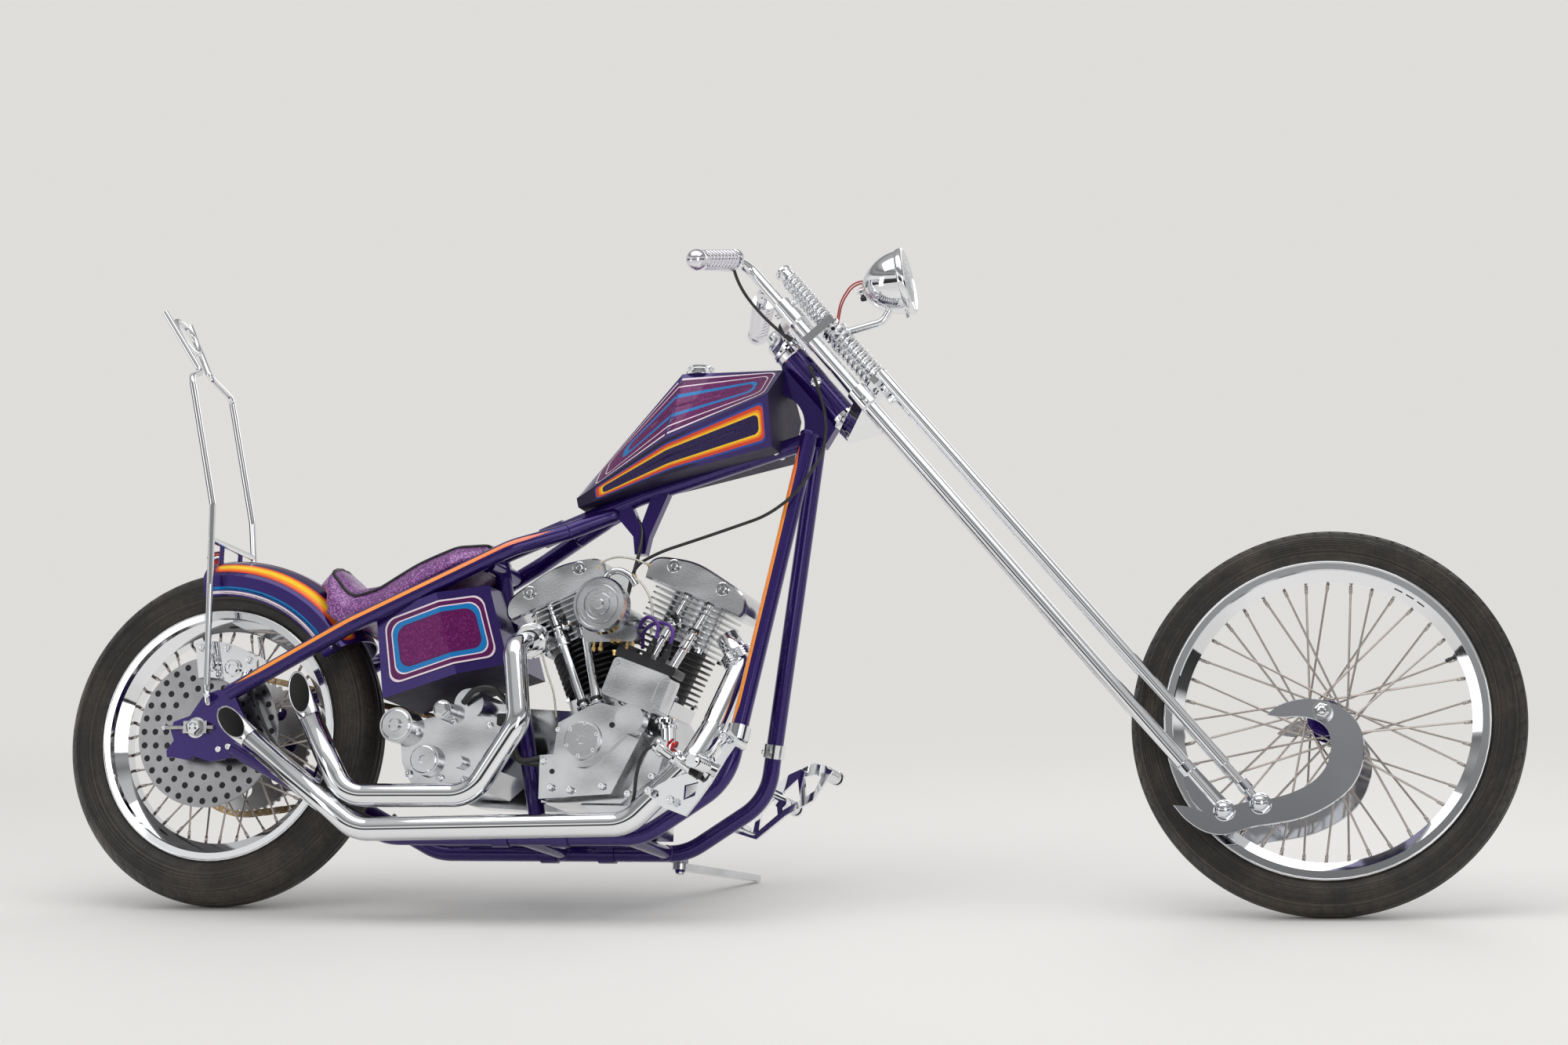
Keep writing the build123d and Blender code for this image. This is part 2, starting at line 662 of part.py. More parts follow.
seated_tubes = []
for index, tube_pair in enumerate(pushrods):
    rocker = rear_rocker if index < 2 else front_rocker
    seated_tubes.append(largest(cut_by(tube_pair, cam_cover, Pos(0, 0, -FIT_GAP) * rocker)))
pushrod_tubes = group(seated_tubes)

# Air cleaner: a drum with ring grooves in its outer face
CLEANER_AT = crank_at(-0.025, 2.153)
GROOVE_SHARES = (  # radius and height of the turned profile
    (0.00, 0.00), (0.86, 0.00), (1.00, 0.14), (1.00, 0.78), (0.94, 1.00), (0.86, 1.00),
    (0.83, 0.90), (0.72, 0.90), (0.69, 1.00), (0.56, 1.00), (0.53, 0.90), (0.42, 0.90),
    (0.39, 1.00), (0.20, 1.00), (0.16, 1.16), (0.00, 1.16))
cleaner_points = [
    (CLEANER_R * r_share, -CLEANER_Y - CLEANER_T * t_share) for r_share, t_share in GROOVE_SHARES]
air_cleaner = at_wheel(
    revolve(outline(cleaner_points), axis=Axis.Y), CLEANER_AT.X, CLEANER_AT.Z)

# Carburettor: a throat from the air cleaner into the valley, over a float bowl
CARB_DROP = CARB_R / 3
BOWL_L = CARB_R * 3.4
BOWL_H = CARB_R
throat_z = CLEANER_AT.Z - CARB_DROP
bowl_face = Pos(CLEANER_AT.X, throat_z - CARB_R * 1.1) * RectangleRounded(
    BOWL_L, BOWL_H, BOWL_H * 0.25)
carburettor = cut_by(
    joined([
        disc(CARB_R, CLEANER_AT.X, throat_z, -CLEANER_Y, -CASE_HALF_W * 0.2),
        disc(CARB_R * 1.25, CLEANER_AT.X, throat_z, -CLEANER_Y, -CLEANER_Y + CARB_DROP),
        slab(bowl_face, -PUSHROD_FOOT_Y - CARB_R, -PUSHROD_FOOT_Y)]),
    rear_cylinder, front_cylinder)

# Magneto: a tilted box whose foot lies over the cam cover's nose, with three lead towers
MAGNETO_TILT_DEG = 20.5
MAGNETO_LOW_Y = PUSHROD_FOOT_Y + PUSHROD_D
MAGNETO_AT = crank_at(0.576, 0.907)
MAGNETO_CAP_H = MAGNETO_H * 0.2
TOWER_D = MAGNETO_H * 0.2
magneto_place = Pos(MAGNETO_AT.X, MAGNETO_AT.Z) * Rot(0, 0, -MAGNETO_TILT_DEG)
magneto_face = RectangleRounded(MAGNETO_L, MAGNETO_H * 0.8, RIM_WALL * 2)
cap_face = Pos(0, MAGNETO_H * 0.4 + MAGNETO_CAP_H / 2) * RectangleRounded(
    MAGNETO_L * 1.03, MAGNETO_CAP_H, RIM_WALL)
MAGNETO_HIGH_Y = MAGNETO_LOW_Y + MAGNETO_H * 0.6
magneto_foot = disc(
    MAGNETO_H * 0.3, NOSE_AT.X + NOSE_R, NOSE_AT.Z, -MAGNETO_LOW_Y - NOSE_R, -MAGNETO_LOW_Y)
magneto_body = slab(magneto_place * magneto_face, -MAGNETO_HIGH_Y, -MAGNETO_LOW_Y)
magneto = cut_by(joined([magneto_body, magneto_foot]), cam_cover)
magneto_cap = slab(magneto_place * cap_face, -MAGNETO_HIGH_Y, -MAGNETO_LOW_Y)
for tower_share in (-0.34, -0.08, 0.18):
    tower_face = magneto_place * Pos(
        tower_share * MAGNETO_L, MAGNETO_H * 0.4 + MAGNETO_CAP_H) * Rectangle(TOWER_D, TOWER_D)
    magneto_cap += slab(tower_face, -MAGNETO_HIGH_Y + TOWER_D, -MAGNETO_HIGH_Y + 2 * TOWER_D)
magneto_cap = cut_by(magneto_cap, magneto, carburettor)

# Gearbox with its round end covers, starter and drive sprocket
GEARBOX_SHARES = (
    (0.352, 0.334), (0.359, 0.265), (0.376, 0.225), (0.479, 0.218), (0.513, 0.253),
    (0.523, 0.304), (0.513, 0.350), (0.427, 0.357),
)
GEARBOX_OUT_Y = GEARBOX_HALF_W + COVER_T * 0.7
GEARBOX_DISCS = (  # x and z shares of the neck's place, radius and reach outwards
    (0.402, 0.268, 30.0, 16.0), (0.460, 0.264, 12.0, 20.0), (0.356, 0.332, 33.0, 30.0),
    (0.435, 0.360, 18.0, 34.0))
STARTER_R = 29.0
STARTER_AT = frame_at(0.468, 0.376)
gearbox_pieces = [
    slab(frame_outline(GEARBOX_SHARES), -GEARBOX_OUT_Y, GEARBOX_HALF_W),
    disc(STARTER_R, STARTER_AT.X, STARTER_AT.Z, -GEARBOX_OUT_Y, GEARBOX_HALF_W),
    disc(DRIVE_SPROCKET_R, DRIVE_X, DRIVE_Z, GEARBOX_HALF_W, CHAIN_Y + SPROCKET_T / 2)]
for x_share, z_share, radius, reach in GEARBOX_DISCS:
    at = frame_at(x_share, z_share)
    gearbox_pieces.append(disc(radius, at.X, at.Z, -GEARBOX_OUT_Y - reach, -GEARBOX_HALF_W))
gearbox = joined(gearbox_pieces) - seat_tube

primary_face = belt((CRANK_X, CRANK_Z, PRIMARY_R), (DRIVE_X, DRIVE_Z, PRIMARY_R))
primary_rib = belt(
    (CRANK_X, CRANK_Z, PRIMARY_R * 0.8), (DRIVE_X, DRIVE_Z, PRIMARY_R * 0.8))
primary_cover = joined([
    slab(primary_face, PRIMARY_Y, PRIMARY_Y + PRIMARY_T * 0.8),
    slab(primary_rib, PRIMARY_Y + PRIMARY_T * 0.8, PRIMARY_Y + PRIMARY_T),
    disc(PRIMARY_R * 0.5, CRANK_X, CRANK_Z, CASE_HALF_W, PRIMARY_Y)])

# Engine mount: a fork-shaped lug under the backbone
MOUNT_SHARES = (
    (0.655, 0.775), (0.690, 0.787), (0.712, 0.735), (0.728, 0.792), (0.760, 0.806),
    (0.728, 0.715), (0.722, 0.680), (0.704, 0.680), (0.700, 0.715))
motor_mount = slab(frame_outline(MOUNT_SHARES), -MOUNT_T / 2, MOUNT_T / 2) - frame_neck

# Exhaust: two pipes of bent tube, bored from their ends, which are cut on a slant
REAR_PIPE_NODES = (  # x share, z share, y
    (0.567, 0.515, -40.0), (0.552, 0.480, -150.0), (0.578, 0.330, -PIPE_Y),
    (0.505, 0.193, -PIPE_Y), (0.288, 0.193, -PIPE_Y), (0.178, 0.434, -PIPE_Y))
FRONT_PIPE_NODES = (
    (0.880, 0.508, -60.0), (0.908, 0.455, -62.0), (0.879, 0.325, -120.0),
    (0.866, 0.255, -PIPE_Y), (0.765, 0.139, -PIPE_Y), (0.312, 0.129, -PIPE_Y),
    (0.048, 0.364, -PIPE_Y))
PIPE_CLAMP_D = PIPE_D * 1.4
PIPE_CLAMP_L = PIPE_D * 0.35
SLASH_SHARE = 0.62
pipes = []
for nodes, bends in (
        (REAR_PIPE_NODES, [PIPE_D, PIPE_D, PIPE_D * 1.5, PIPE_D * 1.6]),
        (FRONT_PIPE_NODES, [PIPE_D * 0.7, PIPE_D, PIPE_D * 0.7, PIPE_D * 1.6, PIPE_D * 2])):
    run = [frame_at(*node) for node in nodes]
    end, heading = run[-1], (run[-1] - run[-2]).normalized()
    first_heading = (run[1] - run[0]).normalized()
    clamp_at = run[0] + first_heading * PIPE_D * 0.9
    pipe = tube(run, PIPE_D, bends)
    pipe += rod(clamp_at, clamp_at + first_heading * PIPE_CLAMP_L, PIPE_CLAMP_D)
    pipe -= rod(end - heading * PIPE_D * 1.4, end + heading * PIPE_D, PIPE_BORE_D)
    slash_normal = heading - Vector(0, 1, 0) * SLASH_SHARE
    slash = Plane(origin=end - heading * PIPE_D / 2, z_dir=slash_normal)
    pipe = split(pipe, bisect_by=slash, keep=Keep.BOTTOM)
    for side in (-1, 1):
        pipe = pipe - cylinder_plane(side) * block(
            FIN_W + 2 * FIT_GAP, FIN_W + 2 * FIT_GAP, 0, HEAD_TOP)
    pipes.append(largest(pipe))
exhaust_pipes = group(pipes)

# Bodywork
TANK_SECTIONS = (  # x share of the neck's place, deck z, widest z, bottom z, and width shares
    (0.945, 1.030, 0.962, 0.868, 0.20, 1.00, 0.66),
    (0.775, 1.030, 0.880, 0.822, 0.20, 0.96, 0.62),
    (0.610, 0.800, 0.785, 0.770, 0.20, 0.40, 0.30))


def tank_section(row):
    x, deck, widest, bottom, deck_w, full_w, floor_w = row
    corners = []
    for width_share, z_share in (
            (-deck_w, deck), (deck_w, deck), (full_w, widest), (floor_w, bottom),
            (-floor_w, bottom), (-full_w, widest)):
        corners.append((TANK_HALF_W * width_share, NECK_Z * z_share))
    plane = Plane(origin=(x * NECK_X, 0, 0), x_dir=(0, 1, 0), z_dir=(1, 0, 0))
    return plane * outline(corners)


fuel_tank = cut_by(
    loft([tank_section(row) for row in TANK_SECTIONS], ruled=True), frame_neck, motor_mount,
    upper_rail_right, mirrored(upper_rail_right))
cap_seat = Plane(origin=frame_at(0.800, 1.030), z_dir=(0, 0, 1))
tank_cap = joined([
    cap_seat * (Pos(0, 0, CAP_H * 0.2) * Cylinder(CAP_R * 1.2, CAP_H * 0.4)),
    cap_seat * (Pos(0, 0, CAP_H * 0.6) * Cylinder(CAP_R, CAP_H * 0.8))]) - fuel_tank

# Room of the rear wheel, out to the fender's crown
FENDER_R = REAR_TYRE_R + FENDER_GAP + FENDER_T


def fender_band(inset):
    """Crowned section of the fender, filled down to its skirt and set in by its wall."""
    edge = FENDER_HALF_W - inset
    shoulder = FENDER_R - FENDER_CROWN
    low = FENDER_R - FENDER_SKIRT
    path = ThreePointArc((shoulder, -edge), (FENDER_R - inset, 0), (shoulder, edge))
    path += Line((shoulder, edge), (low, edge)) + Line((low, edge), (low, -edge))
    path += Line((low, -edge), (shoulder, -edge))
    return make_face(path)


def fender_turn(section, span_deg):
    return at_wheel(
        Rot(0, -FENDER_START_DEG, 0) * revolve(section, axis=Axis.Y, revolution_arc=-span_deg),
        0, REAR_AXLE_Z)


fender_shell = fender_turn(fender_band(0) - fender_band(FENDER_T), FENDER_SPAN_DEG)
wheel_room = disc(
    FENDER_R + FIT_GAP, 0, REAR_AXLE_Z, -FENDER_HALF_W - FIT_GAP, FENDER_HALF_W + FIT_GAP)
STRUT_D = 12.0
strut_from = Vector(
    FENDER_R * 0.724, -FENDER_HALF_W + FENDER_T / 2, REAR_AXLE_Z + FENDER_R * 0.46)
strut_to = frame_at(0.224, 0.508, -RAIL_Y)
strut = rod(strut_from, strut_to, STRUT_D)
STAY_Y = 40.0
stay_foot = Vector(-FENDER_R * 0.063, -STAY_Y, REAR_AXLE_Z + FENDER_R * 0.967)
stay = rod(stay_foot, stay_foot + Vector(0, 0, FENDER_CROWN), STRUT_D * 0.8)

# Sissy bar: feet on the axle plates, two uprights, a brace, and a ring between the tips
SISSY_Y = 88.0
SISSY_FOOT_Y = RAIL_Y + AXLE_PLATE_T / 2 + SISSY_D / 2 + FIT_GAP
SISSY_NODES = (  # x and z shares from the axle, in axle plate sizes, and y
    (0.160, 0.330, SISSY_FOOT_Y), (0.130, 0.560, SISSY_FOOT_Y), (-0.080, 2.030, SISSY_Y * 1.15),
    (-0.180, 3.190, SISSY_Y), (-0.657, 5.050, SISSY_Y), (-0.775, 5.250, SISSY_Y * 0.22),
    (-1.285, 6.090, SISSY_Y * 0.62))
sissy_side = tube(
    [axle_at(x_share, z_share, -y) for x_share, z_share, y in SISSY_NODES], SISSY_D,
    [SISSY_D, SISSY_D * 2, SISSY_D * 2, SISSY_D * 1.6, SISSY_D])
brace_from = axle_at(-0.148, 2.690, -SISSY_Y * 1.06)
brace_to = axle_at(-0.148, 2.690, SISSY_Y * 1.06)
RING_R = 38.0
ring_plane = Plane(origin=axle_at(-1.107, 5.807), z_dir=(0.86, 0, 0.51))
ring = ring_plane * Torus(RING_R, SISSY_D / 2)
sissy_bar = joined([
    sissy_side, mirrored(sissy_side), rod(brace_from, brace_to, SISSY_D), ring])
rear_fender = cut_by(
    joined([fender_shell, strut, mirrored(strut), stay, mirrored(stay)]), seat_tube,
    upper_rail_right, mirrored(upper_rail_right), sissy_bar)

# Tail lamp on the fender's crown: a cylinder with a ring round its lens
LAMP_DEG = 98.0
lamp_at = Vector(
    FENDER_R * cos(radians(LAMP_DEG)), 0, REAR_AXLE_Z + FENDER_R * sin(radians(LAMP_DEG)))
lamp_plane = Plane(origin=lamp_at, z_dir=(-0.5, 0, 1)).offset(-LAMP_R)
lamp_align = (Align.CENTER, Align.CENTER, Align.MIN)
lamp_ring = Pos(0, 0, LAMP_L * 0.8) * Cylinder(LAMP_R * 1.18, LAMP_L * 0.24, align=lamp_align)
tail_lamp = lamp_plane * joined([Cylinder(LAMP_R, LAMP_L, align=lamp_align), lamp_ring])
tail_lamp = tail_lamp - fender_turn(fender_band(-FIT_GAP), FENDER_SPAN_DEG)

# Oil tank: folded near side, its fold leaning with the seat tube
OIL_SHARES = (
    (0.296, 0.550), (0.315, 0.389), (0.446, 0.434), (0.526, 0.454), (0.485, 0.607),
    (0.403, 0.592),
)
OIL_FLOOR_SHARE = 0.385
OIL_PLAN = (  # x share, half width
    (0.220, 98.0), (0.458, 118.0), (0.620, 80.0))
OIL_FOLD = Vector(-0.31, 0, 0.95)
oil_plan = [(x_share * NECK_X, half) for x_share, half in OIL_PLAN]
oil_plan += [(x, -half) for x, half in reversed(oil_plan)]
oil_prism = extrude(
    Plane(origin=frame_at(0, OIL_FLOOR_SHARE)) * outline(oil_plan), amount=NECK_Z, dir=OIL_FOLD)
oil_block = slab(frame_outline(OIL_SHARES), -FIN_W, FIN_W) & oil_prism
chain_room = slab(
    chain_band(CHAIN_H / 2 + RUNNING_GAP), CHAIN_Y - CHAIN_W / 2 - RUNNING_GAP,
    CHAIN_Y + CHAIN_W / 2 + RUNNING_GAP)
oil_tank = largest(cut_by(
    oil_block, chain_room, upper_rail_right, mirrored(upper_rail_right), seat_tube, frame_neck, gearbox,
    rear_cylinder, exhaust_pipes, wheel_room, rear_fender))

# Seat: lofted pad with a hump at the back, notched where it rests on the rails
SEAT_SECTIONS = (  # x share, top z share, bottom z share, top half width, bottom half width
    (0.167, 0.640, 0.590, 38.0, 56.0), (0.197, 0.664, 0.556, 62.0, 80.0),
    (0.235, 0.612, 0.530, 68.0, 88.0), (0.282, 0.620, 0.548, 70.0, 98.0),
    (0.350, 0.661, 0.593, 72.0, 104.0), (0.419, 0.697, 0.634, 70.0, 104.0),
    (0.466, 0.702, 0.664, 50.0, 78.0))


def seat_section(row):
    x_share, top_share, floor_share, top_half, floor_half = row
    top, floor = NECK_Z * top_share, NECK_Z * floor_share
    height = top - floor
    side_points = [
        (floor_half, floor), (floor_half * 1.03, floor + height * 0.35),
        (top_half, floor + height * 0.84), (0, top)]
    arch = Spline(*side_points[:-1], (0, top), *[(-y, z) for y, z in reversed(side_points[:-1])])
    base = Line((-floor_half, floor), (floor_half, floor))
    plane = Plane(origin=(x_share * NECK_X, 0, 0), x_dir=(0, 1, 0), z_dir=(1, 0, 0))
    return plane * make_face(arch + base)


GROWN_TUBE_D = TUBE_D + 2 * FIT_GAP
rail_room = tube(upper_rail_nodes, GROWN_TUBE_D, [BEND_R, BEND_R])
backbone_room = tube(backbone_nodes, GROWN_TUBE_D, [BEND_R * 3])
post_room = rod(
    frame_at(0.470, 0.655, -post_y - FIT_GAP), frame_at(0.470, 0.655, post_y + FIT_GAP),
    GROWN_TUBE_D)
seat_tube_room = rod(frame_at(0.465, 0.690), Vector(SEAT_TUBE_X, 0, RAIL_Z), GROWN_TUBE_D)
seat_pad = loft([seat_section(row) for row in SEAT_SECTIONS], ruled=True)
seat = largest(cut_by(
    seat_pad, rail_room, mirrored(rail_room), backbone_room, post_room, seat_tube_room,
    Pos(0, 0, FIT_GAP) * oil_block, wheel_room, rear_fender))

# Rear axle with nuts, and a block with an adjuster screw in each slot
AXLE_HALF = RAIL_Y + AXLE_PLATE_T / 2 + AXLE_NUT_W
nut_low = RAIL_Y + AXLE_PLATE_T / 2
ADJUSTER_D = 8.0
axle_block = Pos(0, -nut_low - ADJUSTER_D / 2, REAR_AXLE_Z) * Box(
    SLOT_L * 0.7, ADJUSTER_D, AXLE_D * 1.25)
adjuster = rod(
    axle_at(-0.5, 0, -nut_low - ADJUSTER_D / 2), axle_at(0.27, 0, -nut_low - ADJUSTER_D / 2),
    ADJUSTER_D)
rear_axle = joined([
    disc(AXLE_D / 2, 0, REAR_AXLE_Z, -AXLE_HALF, AXLE_HALF),
    disc(AXLE_NUT_D / 2, 0, REAR_AXLE_Z, nut_low, AXLE_HALF),
    disc(AXLE_NUT_D / 2, 0, REAR_AXLE_Z, -AXLE_HALF, -nut_low), axle_block, adjuster])
rear_axle = rear_axle - axle_plate - mirrored(axle_plate) - sissy_bar

# Brake caliper: a sector over the disc's edge with two piston bosses and an arm
CALIPER_HALF_W = 22.0
CALIPER_IN_R = DISC_R * 0.70
CALIPER_OUT_R = DISC_R * 1.18
CALIPER_FROM_DEG, CALIPER_TO_DEG = 52.0, 100.0
PISTON_R = 17.0
wedge = [(0, 0)]
for angle_deg in (CALIPER_FROM_DEG, (CALIPER_FROM_DEG + CALIPER_TO_DEG) / 2, CALIPER_TO_DEG):
    wedge.append((
        2 * CALIPER_OUT_R * cos(radians(angle_deg)), 2 * CALIPER_OUT_R * sin(radians(angle_deg))))
caliper_face = (Circle(CALIPER_OUT_R) - Circle(CALIPER_IN_R)) & outline(wedge)
caliper = slab(
    Pos(0, REAR_AXLE_Z) * caliper_face, -DISC_Y - CALIPER_HALF_W, -DISC_Y + CALIPER_HALF_W)
for angle_deg in (66.0, 86.0):
    x = DISC_R * 0.9 * cos(radians(angle_deg))
    z = REAR_AXLE_Z + DISC_R * 0.9 * sin(radians(angle_deg))
    caliper += disc(PISTON_R, x, z, -DISC_Y - CALIPER_HALF_W - RIM_WALL, -DISC_Y)
disc_room = disc(
    DISC_R + RUNNING_GAP, 0, REAR_AXLE_Z, -DISC_Y - disc_half_t - RUNNING_GAP,
    -DISC_Y + disc_half_t + RUNNING_GAP)
caliper_arm = rod(
    axle_at(0.560, 0.800, -DISC_Y - CALIPER_HALF_W * 0.6), axle_at(0.600, 0.530, -RAIL_Y),
    TUBE_D / 2)
rear_caliper = largest(cut_by(
    joined([caliper - disc_room, caliper_arm]), upper_rail_right, lower_rail_right, rear_fender))

# Fork
YOKE_HALF_W = LEG_Y + REAR_LEG_D / 2
LEG_COLLAR_R = REAR_LEG_D / 2 + COLLAR_WALL
STEM_BOSS_R = NECK_TUBE_D / 2


def fork_plane(s):
    """Plane square to the steering axis at s; its X runs ahead and its Y to the left."""
    return Plane(origin=fork(s, 0), x_dir=AXIS_AHEAD, z_dir=AXIS_DOWN * -1)


def yoke(s_top):
    """Clamp plate that joins the stem and both rear legs."""
    places = ((0, 0, STEM_BOSS_R), (REAR_LEG_N, LEG_Y, LEG_COLLAR_R),
              (REAR_LEG_N, -LEG_Y, LEG_COLLAR_R))
    face = outline([place[:2] for place in places])
    for first, second in zip(places, places[1:] + places[:1]):
        face += belt(first, second)
    return extrude(fork_plane(s_top + YOKE_T) * face, amount=YOKE_T)


def fork_bar(s_top, s_foot, n, diameter):
    """A bar along the fork on each side."""
    return [
        rod(fork(s_top, n, side * LEG_Y), fork(s_foot, n, side * LEG_Y), diameter)
        for side in (-1, 1)]


def fork_box(s_top, s_foot, n_low, n_high, y_low, y_high):
    length, width = n_high - n_low, y_high - y_low
    middle = fork_plane((s_top + s_foot) / 2) * Pos((n_low + n_high) / 2, (y_low + y_high) / 2)
    return middle * Box(length, width, s_foot - s_top)


RISER_L = 28.0
plate_low_n = STEM_BOSS_R + 2 * RUNNING_GAP
plate_high_n = SPRING_N + SPRING_ROD_D
yoke_top_s = YOKE_UPPER_S - YOKE_T / 2
yoke_foot_s = YOKE_LOWER_S - YOKE_T / 2
rear_leg_pieces = fork_bar(yoke_top_s, LEG_FOOT_S, REAR_LEG_N, REAR_LEG_D)
rear_leg_pieces += fork_bar(LEG_FOOT_S - REAR_LEG_D, REAR_PIVOT_S, REAR_LEG_N, REAR_LEG_D * 0.7)
rear_leg_pieces += fork_bar(yoke_foot_s - YOKE_T * 0.7, yoke_foot_s, REAR_LEG_N, 2 * LEG_COLLAR_R)
rear_leg_pieces += fork_bar(
    yoke_top_s - RISER_L, yoke_top_s, REAR_LEG_N, BAR_D + 2 * COLLAR_WALL)
rear_leg_pieces += [
    yoke(yoke_top_s), yoke(yoke_foot_s), rod(fork(YOKE_UPPER_S, 0), fork(YOKE_LOWER_S, 0), STEM_D),
    fork_box(
        SPRING_PLATE_S - SPRING_PLATE_T / 2, SPRING_PLATE_S + SPRING_PLATE_T / 2, plate_low_n,
        plate_high_n, -YOKE_HALF_W, YOKE_HALF_W)]
spring_axes = [
    (fork(UPPER_SPRING_TOP_S - RISER_L / 2, SPRING_N, side * SPRING_Y),
     fork(FRONT_LEG_TOP_S, SPRING_N, side * SPRING_Y)) for side in (-1, 1)]
rod_rooms = [rod(top, foot, SPRING_ROD_D + 2 * FIT_GAP) for top, foot in spring_axes]
bar_sockets = fork_bar(yoke_top_s - RISER_L * 1.1, yoke_top_s, REAR_LEG_N, BAR_D + 2 * FIT_GAP)
fork_rear_legs = cut_by(joined(rear_leg_pieces), *rod_rooms, *bar_sockets)

perch_half_n = SPRING_ROD_D
front_leg_pieces = fork_bar(FRONT_LEG_TOP_S, FRONT_LEG_FOOT_S, FRONT_LEG_N, FRONT_LEG_D)
front_leg_pieces += fork_bar(
    FRONT_LEG_FOOT_S - FRONT_LEG_D, FRONT_PIVOT_S, FRONT_LEG_N, FRONT_LEG_D * 0.7)
front_leg_pieces.append(fork_box(
    FRONT_LEG_TOP_S - SPRING_PLATE_T / 2, FRONT_LEG_TOP_S + SPRING_PLATE_T / 2,
    SPRING_N - perch_half_n, SPRING_N + perch_half_n, -LEG_Y, LEG_Y))
for top, foot in spring_axes:
    front_leg_pieces.append(rod(top, foot, SPRING_ROD_D))
    front_leg_pieces.append(rod(top - AXIS_DOWN * COLLAR_WALL, top + AXIS_DOWN * COLLAR_WALL,
                                UPPER_SPRING_D * 0.8))
fork_front_legs = joined(front_leg_pieces)


def coil(s_top, s_foot, side, outer_d, turns):
    """Coil spring along the fork between two seats, a fit short of each."""
    length = s_foot - s_top - SPRING_WIRE_D - 2 * FIT_GAP
    path = Helix(pitch=length / turns, height=length, radius=(outer_d - SPRING_WIRE_D) / 2)
    wire = sweep(
        Plane(origin=path @ 0, z_dir=path % 0) * Circle(SPRING_WIRE_D / 2), path=path,
        is_frenet=True)
    place = Plane(
        origin=fork(s_foot - FIT_GAP - SPRING_WIRE_D / 2, SPRING_N, side * SPRING_Y),
        x_dir=AXIS_AHEAD, z_dir=AXIS_DOWN * -1)
    return place * wire


upper_foot_s = SPRING_PLATE_S - SPRING_PLATE_T / 2
lower_top_s = SPRING_PLATE_S + SPRING_PLATE_T / 2
lower_foot_s = FRONT_LEG_TOP_S - SPRING_PLATE_T / 2
upper_top_s = UPPER_SPRING_TOP_S - RISER_L / 2 + COLLAR_WALL
springs = []
for side in (-1, 1):
    springs.append(coil(upper_top_s, upper_foot_s, side, UPPER_SPRING_D, UPPER_SPRING_TURNS))
    springs.append(coil(lower_top_s, lower_foot_s, side, LOWER_SPRING_D, LOWER_SPRING_TURNS))
fork_springs = group(springs)

ROCKER_SHARES = (
    (-0.40, 0.00), (-0.24, 0.07), (-0.01, 0.09), (0.17, 0.02), (0.29, -0.21), (0.22, -0.52),
    (0.04, -0.69), (-0.23, -0.82), (-0.46, -0.83), (-0.68, -0.90), (-0.91, -0.83), (-1.07, -0.69),
    (-0.97, -0.68), (-0.77, -0.74), (-0.57, -0.69), (-0.40, -0.62), (-0.23, -0.61), (-0.04, -0.50),
    (0.07, -0.30), (0.04, -0.10), (-0.08, -0.03), (-0.24, 0.00))
ROCKER_Y = LEG_Y + REAR_LEG_D / 2
rocker_face = outline(scaled(ROCKER_SHARES, ROCKER_REACH, WHEELBASE, FRONT_AXLE_Z))
rocker_pieces = [slab(rocker_face, -ROCKER_Y - ROCKER_T, -ROCKER_Y)]
for pivot in (fork(REAR_PIVOT_S, REAR_LEG_N), fork(FRONT_PIVOT_S, FRONT_LEG_N)):
    rocker_pieces.append(disc(NUT_R, pivot.X, pivot.Z, -ROCKER_Y - ROCKER_T - NUT_H, -ROCKER_Y))
    rocker_pieces.append(disc(AXLE_D / 4, pivot.X, pivot.Z, -ROCKER_Y, -LEG_Y))
rocker_right = joined(rocker_pieces) - fork_rear_legs - fork_front_legs
axle_nut = disc(
    NUT_R, WHEELBASE, FRONT_AXLE_Z, -ROCKER_Y - ROCKER_T - NUT_H, -ROCKER_Y - ROCKER_T)
front_axle = joined([
    disc(AXLE_D / 2, WHEELBASE, FRONT_AXLE_Z, -ROCKER_Y - ROCKER_T, ROCKER_Y + ROCKER_T),
    axle_nut, mirrored(axle_nut)])
rockers = group([rocker_right, mirrored(rocker_right)]) - front_axle

# Handlebar and grips
GRIP_HEADING = Vector(-0.36, -0.88, -0.30).normalized()
GRIP_BALL_R = GRIP_D * 0.56
bar_foot = fork(yoke_top_s, REAR_LEG_N, -LEG_Y)
bar_top = fork(yoke_top_s - BAR_RISE - FIT_GAP, REAR_LEG_N, -LEG_Y)
grip_end = bar_top + Vector(-0.11, -0.97, -0.19) * BAR_ELBOW + GRIP_HEADING * GRIP_L
bar_right = tube([bar_foot, bar_top, grip_end], BAR_D, [BAR_D * 1.4])
neck_turn = -acos(GRIP_D / 2 / GRIP_BALL_R)
half_turn = (radians(90) + neck_turn) / 2
ball_neck = (GRIP_D / 2, GRIP_BALL_R * sin(neck_turn))
grip_path = Polyline(
    (0, GRIP_BALL_R), (0, 0), (BAR_D / 2, 0), (BAR_D / 2, -GRIP_L), (GRIP_D / 2, -GRIP_L), ball_neck)
grip_path += ThreePointArc(
    ball_neck, (GRIP_BALL_R * cos(half_turn), GRIP_BALL_R * sin(half_turn)), (0, GRIP_BALL_R))
grip_way = (grip_end - bar_top).normalized()
grip_plane = Plane(origin=grip_end, x_dir=grip_way.cross(Vector(0, 0, 1)).normalized(), z_dir=grip_way)
grip_right = grip_plane * (Rot(90, 0, 0) * revolve(make_face(grip_path), axis=Axis.Y))
handlebar = group([bar_right, mirrored(bar_right)])
grips = group([grip_right, mirrored(grip_right)])

